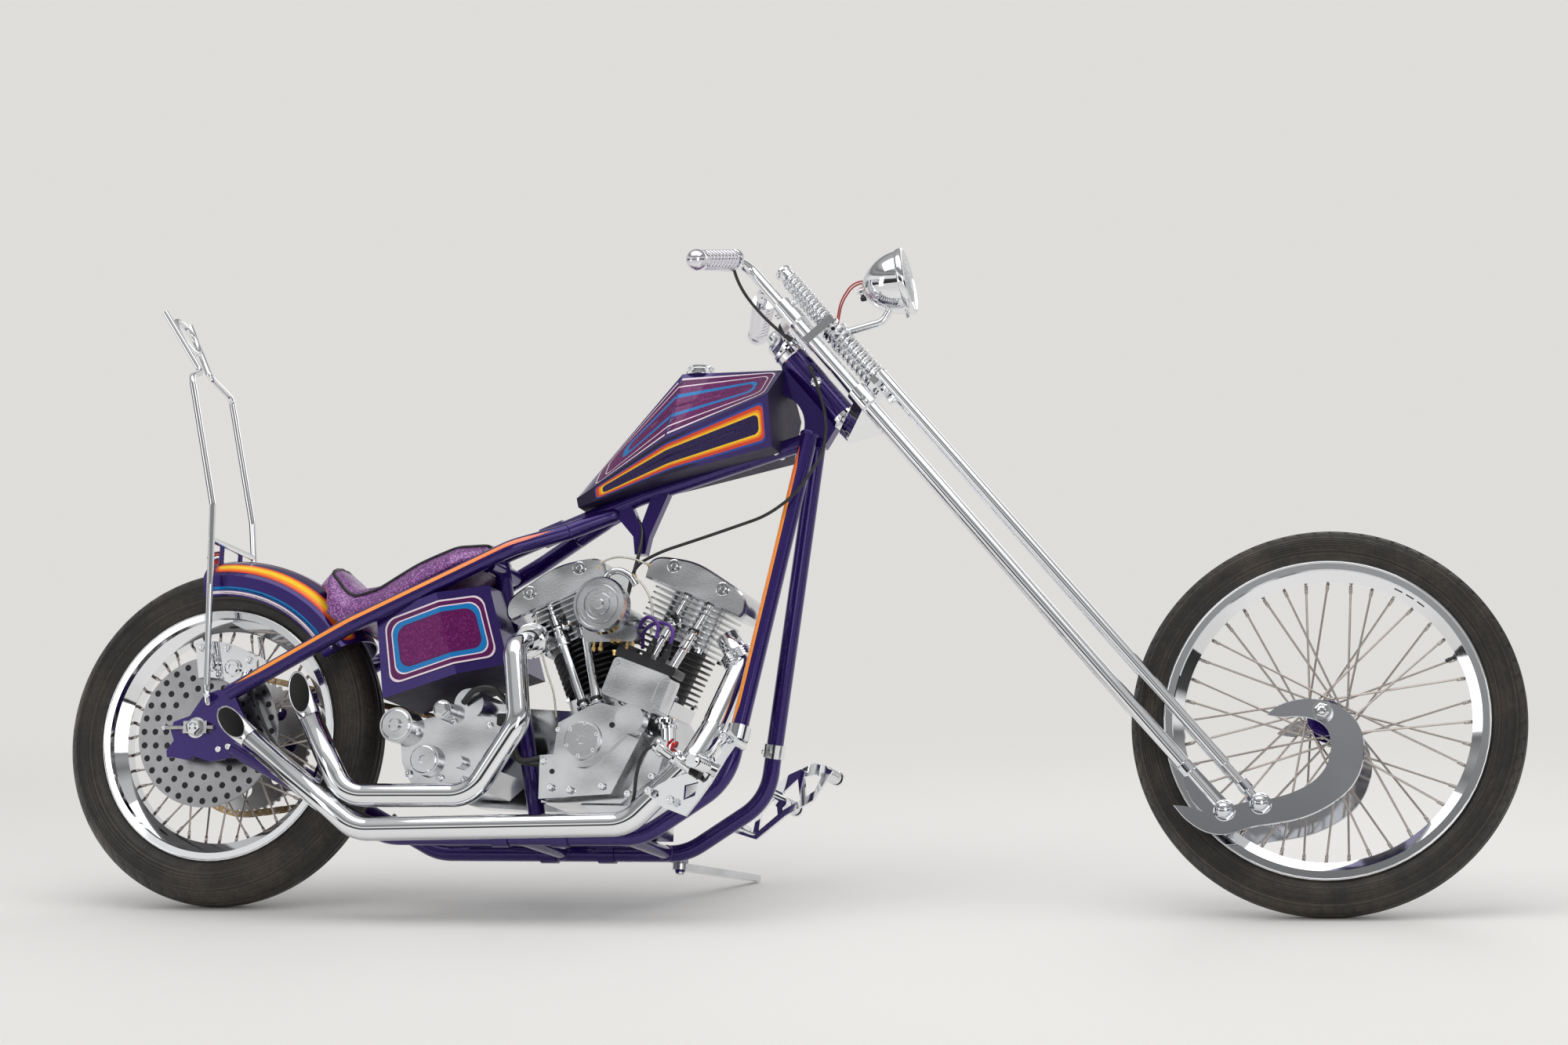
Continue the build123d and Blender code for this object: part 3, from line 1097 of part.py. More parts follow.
# Headlight: a turned bowl with a recessed lens, on an arm from the spring plate
LIGHT_AT = Vector(NECK_X + 1.32 * 2 * BUCKET_R, 0, NECK_Z + 1.635 * 2 * BUCKET_R)
LIGHT_HEADING = Vector(0.977, 0, 0.213)
BOWL_SHARES = (  # distance along the beam and radius, in bucket radii
    (-1.44, 0.00), (-1.40, 0.24), (-1.22, 0.50), (-0.90, 0.76), (-0.52, 0.92), (-0.20, 0.96))
RIM_SHARES = (
    (-0.20, 0.96), (-0.18, 1.00), (-0.03, 1.00), (0.00, 0.96), (0.00, 0.88), (-0.12, 0.88),
    (-0.12, 0.00))
LENS_SHARES = (
    (-0.11, 0.00), (-0.11, 0.875), (-0.05, 0.875), (-0.01, 0.75), (0.03, 0.50), (0.055, 0.25),
    (0.06, 0.00))
light_plane = Plane(origin=LIGHT_AT, x_dir=LIGHT_HEADING, z_dir=(0, -1, 0))


def in_buckets(shares):
    return [(BUCKET_R * along, BUCKET_R * radius) for along, radius in shares]


bowl_path = Spline(*in_buckets(BOWL_SHARES)) + Polyline(*in_buckets(RIM_SHARES))
bowl_path += Line(in_buckets(RIM_SHARES)[-1], in_buckets(BOWL_SHARES)[0])
bowl = light_plane * revolve(make_face(bowl_path), axis=Axis.X)
headlight_lens = light_plane * revolve(outline(in_buckets(LENS_SHARES)), axis=Axis.X)
arm_corner = LIGHT_AT + Vector(-0.37, 0, -0.64) * 2 * BUCKET_R
light_arm = tube(
    [fork(SPRING_PLATE_S, SPRING_N), arm_corner, LIGHT_AT + Vector(-0.16, 0, -0.25) * 2 * BUCKET_R],
    STEM_D * 0.6, [STEM_D])
headlight = cut_by(joined([bowl, light_arm]), fork_rear_legs, headlight_lens)
wire_end_s = SPRING_PLATE_S - SPRING_PLATE_T / 2 - FIT_GAP
wires = []
for wire_y in (-2 * WIRE_D, 2 * WIRE_D):
    lane = Vector(0, wire_y, 0)
    wires.append(cable([
        LIGHT_AT + Vector(-0.60, 0, 0.02) * 2 * BUCKET_R + lane,
        LIGHT_AT + Vector(-0.86, 0, -0.03) * 2 * BUCKET_R + lane,
        LIGHT_AT + Vector(-1.03, 0, -0.30) * 2 * BUCKET_R + lane,
        fork(wire_end_s, SPRING_N + WIRE_D, wire_y)], WIRE_D))
headlight_wires = group(wires) - headlight - fork_rear_legs

# Foot controls
BRAKE_SHARES = (
    (0.802, 0.191), (0.820, 0.208), (0.839, 0.219), (0.883, 0.235), (0.913, 0.290),
    (0.932, 0.308), (0.945, 0.290), (0.926, 0.257), (0.904, 0.212), (0.885, 0.180),
    (0.866, 0.151), (0.829, 0.167),
)
BRAKE_CUTS = (
    (
    (0.862, 0.180), (0.880, 0.188), (0.885, 0.213), (0.863, 0.207),
),
    (
    (0.894, 0.217), (0.903, 0.231), (0.897, 0.241), (0.889, 0.229),
),
    (
    (0.909, 0.249), (0.921, 0.267), (0.916, 0.280), (0.906, 0.259),
))
SHIFT_SHARES = (
    (0.836, 0.172), (0.873, 0.159), (0.921, 0.205), (0.967, 0.235), (0.998, 0.292),
    (0.968, 0.307), (0.926, 0.285), (0.893, 0.254), (0.850, 0.209),
)
SHIFT_CUTS = (
    (
    (0.850, 0.180), (0.867, 0.172), (0.872, 0.203), (0.858, 0.199),
),
    (
    (0.877, 0.176), (0.908, 0.207), (0.904, 0.243), (0.880, 0.211),
),
    (
    (0.916, 0.215), (0.945, 0.235), (0.940, 0.276), (0.915, 0.249),
),
    (
    (0.954, 0.241), (0.969, 0.253), (0.983, 0.288), (0.950, 0.280),
))


def control_plate(shares, cuts):
    face = frame_outline(shares)
    for cut in cuts:
        face -= frame_outline(cut)
    return slab(face, -CONTROL_Y - CONTROL_T, -CONTROL_Y)


def cross_arm(x_share, z_share, y_from, y_to, diameter):
    return rod(frame_at(x_share, z_share, -y_from), frame_at(x_share, z_share, -y_to), diameter)


peg_from, peg_to = CONTROL_Y, CONTROL_Y + CONTROL_T + PEG_L
ARM_D = PEG_D * 0.7
CYLINDER_Y = CONTROL_Y + CONTROL_T * 1.2
master = joined([
    rod(frame_at(0.820, 0.280, -CYLINDER_Y), frame_at(0.876, 0.236, -CYLINDER_Y), PEG_D),
    rod(frame_at(0.836, 0.272, -CYLINDER_Y), frame_at(0.833, 0.318, -CYLINDER_Y), PEG_D * 1.1),
    rod(frame_at(0.833, 0.310, -CYLINDER_Y), frame_at(0.832, 0.320, -CYLINDER_Y), PEG_D * 1.4)])
brake_control = largest(cut_by(
    joined([
        control_plate(BRAKE_SHARES, BRAKE_CUTS), master,
        cross_arm(0.928, 0.292, RAIL_Y * 0.9, CONTROL_Y + CONTROL_T, ARM_D),
        cross_arm(0.846, 0.178, RAIL_Y, CONTROL_Y + CONTROL_T, ARM_D),
        cross_arm(0.900, 0.240, peg_from, peg_to, PEG_D)]),
    downtube_right, lower_rail_right, exhaust_pipes))
shift_control = largest(cut_by(
    mirrored(joined([
        control_plate(SHIFT_SHARES, SHIFT_CUTS),
        cross_arm(0.905, 0.245, RAIL_Y * 0.9, CONTROL_Y + CONTROL_T, ARM_D),
        cross_arm(0.852, 0.180, RAIL_Y, CONTROL_Y + CONTROL_T, ARM_D),
        cross_arm(0.980, 0.292, peg_from, peg_to, PEG_D),
        cross_arm(0.912, 0.232, peg_from, peg_to, PEG_D)])),
    mirrored(downtube_right), mirrored(lower_rail_right)))

# Throttle cable: down the neck, outside the right downtube and under the tank to the carburettor
CABLE_PATH = (  # x share, z share, y
    (0.9960, 1.0270, -50.0), (1.0090, 0.9980, -52.0), (1.0290, 0.9270, -52.0),
    (1.0273, 0.8600, -56.0), (1.0120, 0.8180, -70.0), (0.9850, 0.7700, -76.0),
    (0.9400, 0.7340, -72.0), (0.8376, 0.7001, -58.0), (0.7590, 0.6748, -50.0),
    (0.7150, 0.6480, -50.0))
cable_points = [frame_at(*node) for node in CABLE_PATH]
cable_points.append(Vector(CLEANER_AT.X, -PUSHROD_HEAD_Y, throat_z + CARB_R + FIT_GAP))
clip = rod(cable_points[0], cable_points[0] + Vector(0, STEM_D, 0), CABLE_D)
throttle_cable = cut_by(joined([cable(cable_points, CABLE_D), clip]), carburettor, frame_neck)


# Turn the fork, lean the machine and set it on the floor.

def contact_low(centre, axle, outer_r, crown_r):
    """Lowest point of a round-crowned tyre whose axle points along the given direction."""
    in_plane = sqrt(1 - axle.Z * axle.Z)
    return centre.Z - (outer_r - crown_r) * in_plane - crown_r


def turned(vector, degrees_about, axis_direction):
    return vector.rotate(Axis((0, 0, 0), axis_direction), degrees_about)


LEFT = Vector(0, 1, 0)
UP = Vector(0, 0, 1)
steered_axle = turned(LEFT, STEER_DEG, AXIS_DOWN * -1)
front_reach = Vector(WHEELBASE, 0, FRONT_AXLE_Z) - NECK
front_centre = NECK + turned(front_reach, STEER_DEG, AXIS_DOWN * -1)
rear_centre = Vector(0, 0, REAR_AXLE_Z)


def leaned(vector):
    return turned(vector, -LEAN_DEG, (1, 0, 0))


rear_low = contact_low(leaned(rear_centre), leaned(LEFT), REAR_TYRE_R, REAR_TYRE_W / 2)
front_low = contact_low(
    leaned(front_centre), leaned(steered_axle), FRONT_TYRE_R, FRONT_TYRE_W / 2)
pitch = degrees(atan2(front_low - rear_low, leaned(front_centre).X))

# Side stand: it swings on an upright pin under a lug on the left downtube's foot.
STAND_X = 0.755 * NECK_X
STAND_Y = RAIL_Y + TUBE_D / 2 + STAND_W / 2 + RUNNING_GAP
lean = radians(LEAN_DEG)
reach = hypot(STAND_REACH_X, FOOT_Y - STAND_Y)
TIP_W = STAND_W * 0.5
lowest_y = FOOT_Y + TIP_W / 2 * STAND_REACH_X / reach
stand_z = (lowest_y * sin(lean) + rear_low) / cos(lean)
stand_pivot = Vector(STAND_X, STAND_Y, stand_z)
stand_plane = Plane(
    origin=stand_pivot, x_dir=Vector(STAND_REACH_X, FOOT_Y - STAND_Y, 0), z_dir=(0, 0, 1))
stand_face = outline([
    (0, -STAND_W / 2), (reach * 0.5, -STAND_W * 0.44), (reach, -TIP_W / 2), (reach, TIP_W / 2),
    (reach * 0.5, STAND_W * 0.44), (0, STAND_W / 2)])
stand_face += Circle(STAND_W / 2)
stand_face -= Circle(STAND_PIN_D / 2 + FIT_GAP)
side_stand = extrude(stand_plane * stand_face, amount=STAND_T)
TAPER_SHARE = 0.45
taper = stand_plane * Pos(reach * (1 + TAPER_SHARE) / 2, 0, STAND_T) * Rot(
    0, degrees(atan2(STAND_T * 0.7, reach * (1 - TAPER_SHARE))), 0) * Pos(
    0, 0, STAND_T * 1.35) * Box(reach, 2 * STAND_W, 2 * STAND_T)
side_stand = side_stand - taper
lug_low = stand_z + STAND_T + FIT_GAP
lug = Pos(STAND_X, (RAIL_Y + STAND_Y) / 2, lug_low + STAND_T / 2) * Box(
    STAND_W, STAND_Y - RAIL_Y, STAND_T)
lug_end = Pos(STAND_X, STAND_Y, lug_low + STAND_T / 2) * Cylinder(STAND_W / 2, STAND_T)
pin_foot = Vector(STAND_X, STAND_Y, stand_z - FIT_GAP)
stand_pin = rod(pin_foot, Vector(STAND_X, STAND_Y, lug_low + STAND_T), STAND_PIN_D)
pin_head = rod(pin_foot - UP * (STAND_T / 3), pin_foot, STAND_PIN_D * 1.6)
downtube_left = joined([mirrored(downtube_right), lug, lug_end, stand_pin, pin_head])


def placed(shape):
    shape = shape.rotate(Axis.X, -LEAN_DEG)
    shape = shape.rotate(Axis.Y, pitch)
    return shape.moved(Location((0, 0, -rear_low)))


def steered(shape):
    return shape.rotate(STEERING, STEER_DEG)


front_end = {
    "front_tyre": front_tyre, "front_rim": front_rim, "front_spokes": front_spokes,
    "front_hub": front_hub, "front_axle": front_axle, "fork_rear_legs": fork_rear_legs,
    "fork_front_legs": fork_front_legs, "fork_springs": fork_springs, "rockers": rockers,
    "handlebar": handlebar, "grips": grips, "headlight": headlight,
    "headlight_lens": headlight_lens, "headlight_wires": headlight_wires,
}
chassis = {
    "frame_neck": frame_neck, "downtube_right": downtube_right, "downtube_left": downtube_left,
    "lower_rail_right": lower_rail_right, "lower_rail_left": mirrored(lower_rail_right),
    "upper_rail_right": upper_rail_right, "upper_rail_left": mirrored(upper_rail_right),
    "seat_tube": seat_tube, "engine_cross_tube": engine_cross, "motor_mount": motor_mount,
    "fuel_tank": fuel_tank, "tank_cap": tank_cap, "oil_tank": oil_tank, "seat": seat,
    "rear_fender": rear_fender, "sissy_bar": sissy_bar, "tail_lamp": tail_lamp,
    "crankcase": crankcase, "cam_cover": cam_cover, "rear_cylinder": rear_cylinder,
    "front_cylinder": front_cylinder, "rocker_boxes": rocker_boxes,
    "pushrod_tubes": pushrod_tubes, "air_cleaner": air_cleaner, "carburettor": carburettor,
    "magneto": magneto, "magneto_cap": magneto_cap, "exhaust_pipes": exhaust_pipes,
    "gearbox": gearbox, "primary_cover": primary_cover, "throttle_cable": throttle_cable,
    "brake_control": brake_control, "shift_control": shift_control, "side_stand": side_stand,
    "rear_tyre": rear_tyre, "rear_rim": rear_rim, "rear_spokes": rear_spokes,
    "rear_hub": rear_hub, "brake_disc": brake_disc, "rear_sprocket": rear_sprocket,
    "drive_chain": drive_chain, "rear_caliper": rear_caliper, "rear_axle": rear_axle,
}
finished = {name: placed(shape) for name, shape in chassis.items()}
finished.update({name: placed(steered(shape)) for name, shape in front_end.items()})
boxes = [shape.bounding_box() for shape in finished.values()]
low_x, high_x = min(box.min.X for box in boxes), max(box.max.X for box in boxes)
low_y, high_y = min(box.min.Y for box in boxes), max(box.max.Y for box in boxes)
low_z, high_z = min(box.min.Z for box in boxes), max(box.max.Z for box in boxes)
ORIGIN = Vector(-(low_x + high_x) / 2, -(low_y + high_y) / 2, 0)


def aimed(vector):
    """A direction of the upright machine, as it ends up."""
    return turned(turned(vector, -LEAN_DEG, (1, 0, 0)), pitch, (0, 1, 0))


def settled(vector):
    """A point of the upright machine, where it ends up."""
    return aimed(vector) + Vector(0, 0, -rear_low) + ORIGIN


for name, shape in finished.items():
    print(name, len(shape.solids()), round(shape.volume / 1000, 1))
    export_step(shape.moved(Location(ORIGIN)), f"parts/{name}.step")

PLACES = {
    "rear_wheel_spin": (settled(rear_centre), aimed(LEFT)),
    "front_wheel_spin": (settled(front_centre), aimed(steered_axle)),
    "steering": (settled(NECK), aimed(AXIS_DOWN * -1)),
    "stand_fold": (settled(stand_pivot), aimed(UP)),
}
for name, (point, axis) in PLACES.items():
    print(name, *(round(v, 6) for v in (point.X, point.Y, point.Z, axis.X, axis.Y, axis.Z)))
print("box", round(high_x - low_x, 1), round(high_y - low_y, 1), round(high_z, 1), round(low_z, 3))
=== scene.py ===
import json
from math import acos, atan2, cos, inf, pi, radians, sin, sqrt, tan
from types import SimpleNamespace

import bmesh
import bpy
from mathutils import Matrix, Vector


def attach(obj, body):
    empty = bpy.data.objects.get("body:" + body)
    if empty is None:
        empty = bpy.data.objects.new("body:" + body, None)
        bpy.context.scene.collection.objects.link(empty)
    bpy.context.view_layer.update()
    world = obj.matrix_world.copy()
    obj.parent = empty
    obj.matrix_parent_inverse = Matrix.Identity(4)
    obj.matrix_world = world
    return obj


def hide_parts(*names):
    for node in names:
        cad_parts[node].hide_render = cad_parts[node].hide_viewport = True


# Long chopper with a rigid frame and a springer fork, parked on its side stand.
# Pieces are drawn on the upright machine in millimetres: X forward from the rear axle, Y to the
# rider's left, Z up from the ground. They are then leaned and set where the metal parts stand.

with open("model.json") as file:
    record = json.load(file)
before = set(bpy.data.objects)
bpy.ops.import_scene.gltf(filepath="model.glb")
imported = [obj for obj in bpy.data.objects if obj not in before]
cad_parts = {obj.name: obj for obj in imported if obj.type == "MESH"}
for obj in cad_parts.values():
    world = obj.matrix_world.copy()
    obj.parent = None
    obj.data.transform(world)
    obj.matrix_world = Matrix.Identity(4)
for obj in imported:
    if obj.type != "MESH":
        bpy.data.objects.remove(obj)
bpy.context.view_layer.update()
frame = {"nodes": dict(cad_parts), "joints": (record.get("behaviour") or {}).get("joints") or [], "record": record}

LEAN = radians(15)
STEER = radians(3.45)
RAKE = radians(41.5)
WHEELBASE = 2123.0
REAR_AXLE_HEIGHT = 327.0
FRONT_AXLE_HEIGHT = 346.0
NECK_X, NECK_Z = 1170.0, 987.0
NECK = Vector((NECK_X, 0, NECK_Z))
DOWN_THE_FORK = Vector((sin(RAKE), 0, -cos(RAKE)))
AHEAD_OF_FORK = Vector((cos(RAKE), 0, sin(RAKE)))
MILLIMETRE = 0.001

TO_RIGHT, TO_LEFT = (0, -1, 0), (0, 1, 0)
UPWARD, DOWNWARD, FORWARD = (0, 0, 1), (0, 0, -1), (1, 0, 0)
BOTH_SIDES = (-1, 1)  # right and left

joints = {joint["name"]: joint for joint in frame["joints"]}
rear_axle_at = Vector(joints["rear_wheel_spin"]["pos_m"])

STANDING = (
    Matrix.Translation(rear_axle_at)
    @ Matrix.Rotation(-LEAN, 4, "X")
    @ Matrix.Scale(MILLIMETRE, 4)
    @ Matrix.Translation((0, 0, -REAR_AXLE_HEIGHT))
)
STEERED = (
    STANDING
    @ Matrix.Translation(NECK)
    @ Matrix.Rotation(STEER, 4, -DOWN_THE_FORK)
    @ Matrix.Translation(-NECK)
)


def fork_point(down, ahead, left=0.0):
    """A point down the steering axis, ahead of it and to the left."""
    return NECK + DOWN_THE_FORK * down + AHEAD_OF_FORK * ahead + Vector((0, left, 0))


# Camera and studio

EYE = Vector((2873.5, -5675.0, 931.5))  # from the rear tyre's foot, in millimetres
TURNED_LEFT, TIPPED_DOWN, ROLLED = radians(16.715), radians(2.135), radians(-2.125)
SENSOR_WIDTH = 36.0
FOCAL_SHARE = 4177 / 2000  # focal length over the picture's width
FARTHEST_SEEN = 100.0


def set_camera():
    """Camera on the right, ahead of the front wheel, turned back towards the machine."""
    axle_from_foot = Vector((0, REAR_AXLE_HEIGHT * sin(LEAN), REAR_AXLE_HEIGHT * cos(LEAN)))
    seen_from = rear_axle_at + (EYE - axle_from_foot) * MILLIMETRE
    ahead = Vector((
        -sin(TURNED_LEFT) * cos(TIPPED_DOWN), cos(TURNED_LEFT) * cos(TIPPED_DOWN), -sin(TIPPED_DOWN)))
    level = Vector((cos(TURNED_LEFT), sin(TURNED_LEFT), 0))
    upward = level.cross(ahead)
    right = level * cos(ROLLED) + upward * sin(ROLLED)
    up = upward * cos(ROLLED) - level * sin(ROLLED)
    camera = bpy.data.objects.new("camera", bpy.data.cameras.new("camera"))
    camera.matrix_world = Matrix((
        (right.x, up.x, -ahead.x, seen_from.x),
        (right.y, up.y, -ahead.y, seen_from.y),
        (right.z, up.z, -ahead.z, seen_from.z),
        (0, 0, 0, 1)))
    camera.data.sensor_width = SENSOR_WIDTH
    camera.data.lens = SENSOR_WIDTH * FOCAL_SHARE
    camera.data.clip_end = FARTHEST_SEEN
    bpy.context.scene.collection.objects.link(camera)
    bpy.context.scene.camera = camera


class Shader:
    """A node tree with short calls to add and join nodes."""

    def __init__(self, tree):
        self.tree = tree

    def give(self, socket, value):
        """Set a socket, or join it to another node's output."""
        if hasattr(value, "is_linked"):
            self.tree.links.new(value, socket)
        else:
            socket.default_value = value

    def fill(self, sockets, values):
        """Give each socket its value, in order."""
        for socket, value in zip(sockets, values):
            self.give(socket, value)

    def add(self, kind, **values):
        """A new node; each value is a setting, an input's value or another node's output."""
        node = self.tree.nodes.new("ShaderNode" + kind)
        for name, value in values.items():
            if name in node.bl_rna.properties:
                setattr(node, name, value)
            else:
                self.give(node.inputs[name.replace("_", " ")], value)
        return node

    def group(self, tree, **values):
        """The one output of a node group, placed with its own values."""
        node = self.add("Group", node_tree=tree)
        for name, value in values.items():
            self.give(node.inputs[name], value)
        return node.outputs[0]

    def texture(self, kind, **values):
        """A texture that stays in place on the piece."""
        return self.add(kind, Vector=self.add("TexCoord").outputs["Object"], **values)

    def mix(self, factor, first, second):
        node = self.add("Mix", data_type="RGBA")
        self.fill((node.inputs[0], node.inputs[6], node.inputs[7]), (factor, first, second))
        return node.outputs[2]

    def math(self, operation, *values):
        node = self.add("Math", operation=operation)
        self.fill(node.inputs, values)
        return node.outputs[0]

    def vector(self, operation, *values):
        node = self.add("VectorMath", operation=operation)
        self.fill(node.inputs, values)
        return node.outputs["Value" if operation == "LENGTH" else "Vector"]

    def ramp(self, factor, *stops):
        node = self.add("ValToRGB")
        while len(node.color_ramp.elements) < len(stops):
            node.color_ramp.elements.new(0.5)
        for element, (place, color) in zip(node.color_ramp.elements, stops):
            element.position = place
            element.color = color if len(color) == 4 else (*color, 1)
        self.give(node.inputs[0], factor)
        return node.outputs[0]

    def either(self, factor, first, second):
        """Blend of two surfaces."""
        node = self.add("MixShader")
        self.fill(node.inputs, (factor, first.outputs[0], second.outputs[0]))
        return node.outputs[0]

    def seen(self):
        """1 for what shows straight, in a reflection or through glass."""
        rays = self.add("LightPath")
        straight = self.math("MAXIMUM", rays.outputs["Is Camera Ray"], rays.outputs["Is Glossy Ray"])
        return self.math("MAXIMUM", straight, rays.outputs["Is Transmission Ray"])


def grey(value):
    return (value, value, value, 1)


BACKDROP = (0.735, 0.725, 0.705, 1)
BACKDROP_GREYS = ((0.66, grey(0.62)), (0.72, grey(0.22)), (0.85, grey(0.40)))  # share of the height
ROOM_GREYS = (
    (0.0, grey(0.30)), (0.46, grey(0.10)), (0.50, grey(0.03)), (0.60, grey(0.06)), (0.632, grey(0.85)),
    (0.690, grey(0.80)), (0.712, grey(0.16)), (0.76, grey(0.34)), (0.80, grey(0.20)), (0.85, grey(0.50)),
    (1.0, grey(0.60)))
SOFTBOXES = (  # name, place, what it is aimed at, width, height and watts
    ("overhead_softbox", (0.0, -0.6, 3.6), (0, 0, 0.4), 4.2, 2.4, 46),
    ("front_softbox", (2.6, -4.6, 1.9), (0.3, 0, 0.5), 1.9, 2.8, 27),
    ("rear_softbox", (-3.6, -3.2, 1.6), (-0.5, 0, 0.5), 1.2, 2.4, 12),
    ("far_softbox", (1.0, 4.2, 2.6), (0, 0, 0.6), 3.2, 1.6, 20))
FLOOR_R, FLOOR_SIDES = 60.0, 48


def build_the_room():
    """A pale backdrop behind the motorcycle, a darker room with strip lights before it."""
    world = bpy.data.worlds.new("studio")
    world.use_nodes = True
    bpy.context.scene.world = world
    world.node_tree.nodes.clear()
    sky = Shader(world.node_tree)
    way = sky.add("SeparateXYZ", Vector=sky.add("TexCoord").outputs["Generated"])
    height = sky.math("MULTIPLY_ADD", way.outputs["Z"], 0.5, 0.5)
    room = sky.ramp(height, *ROOM_GREYS)
    backdrop = sky.ramp(height, (0.40, BACKDROP), *BACKDROP_GREYS)
    behind = sky.add("MapRange", Value=way.outputs["Y"], From_Min=0.10, From_Max=0.42)
    reflected = sky.mix(behind.outputs[0], room, backdrop)
    straight = sky.add("LightPath").outputs["Is Camera Ray"]
    shown = sky.add("Background", Color=sky.mix(straight, reflected, BACKDROP), Strength=1.0)
    plain = sky.add("Background", Color=grey(0.78), Strength=1.0)
    sky.add("OutputWorld", Surface=sky.either(sky.seen(), plain, shown))


def hang_softboxes():
    """Broad soft lamps above, in front, behind and beyond the motorcycle."""
    for name, place, aim, width, height, watts in SOFTBOXES:
        lamp = bpy.data.lights.new(name, "AREA")
        lamp.shape = "RECTANGLE"
        lamp.size, lamp.size_y, lamp.energy = width, height, watts
        box = bpy.data.objects.new(name, lamp)
        box.location = place
        box.rotation_euler = (Vector(aim) - Vector(place)).to_track_quat("-Z", "Y").to_euler()
        bpy.context.scene.collection.objects.link(box)


def new_material(name, **values):
    """A material, the helper that fills its nodes, and its surface with the given values."""
    material = bpy.data.materials.new(name)
    material.use_nodes = True
    material.node_tree.nodes.clear()
    paint = Shader(material.node_tree)
    surface = paint.add("BsdfPrincipled", **values)
    paint.add("OutputMaterial", Surface=surface.outputs[0])
    return material, paint, surface


def lay_floor():
    """A wide pale floor that takes shadows near the motorcycle and glows pale further off."""
    material, paint, surface = new_material("studio_floor", Roughness=0.6, Base_Color=(0.80, 0.79, 0.77, 1))
    stretched = paint.texture("Mapping", Scale=(0.45, 1.0, 0.0))
    further = paint.add(
        "MapRange", interpolation_type="SMOOTHSTEP", From_Min=0.8, From_Max=3.4,
        Value=paint.vector("LENGTH", stretched.outputs[0]))
    glow = paint.add("Emission", Color=BACKDROP, Strength=1.0)
    share = paint.math("MULTIPLY", further.outputs[0], paint.seen())
    output = surface.outputs[0].links[0].to_node
    paint.give(output.inputs[0], paint.either(share, surface, glow))
    rim = circle_points(0, 0, FLOOR_R, FLOOR_SIDES)
    mesh = bpy.data.meshes.new("floor")
    mesh.from_pydata([(x, y, 0) for x, y in rim], [], [tuple(range(FLOOR_SIDES))])
    mesh.materials.append(material)
    floor = bpy.data.objects.new("floor", mesh)
    bpy.context.scene.collection.objects.link(floor)


def circle_points(centre_x, centre_z, radius, count, from_deg=0.0, turn_deg=360.0):
    """Points round a centre in a plane."""
    angles = [radians(from_deg + turn_deg * index / count) for index in range(count)]
    return [(centre_x + radius * cos(angle), centre_z + radius * sin(angle)) for angle in angles]


bpy.context.scene.view_settings.view_transform = "Standard"
set_camera()
build_the_room()
hang_softboxes()
lay_floor()


# Making pieces

def ring_points(centre, side_way, up_way, radius, sides):
    """Points of a circle in the plane of two ways."""
    angles = [2 * pi * step / sides for step in range(sides)]
    return [centre + (side_way * cos(angle) + up_way * sin(angle)) * radius for angle in angles]


def faces_between(rings, count, closed=False):
    """Faces between rings of count points each; closed joins the last ring to the first."""
    faces = []
    for ring in range(rings if closed else rings - 1):
        here, following = ring * count, (ring + 1) % rings * count
        for step in range(count):
            after = (step + 1) % count
            faces.append((here + step, here + after, following + after, following + step))
    return faces


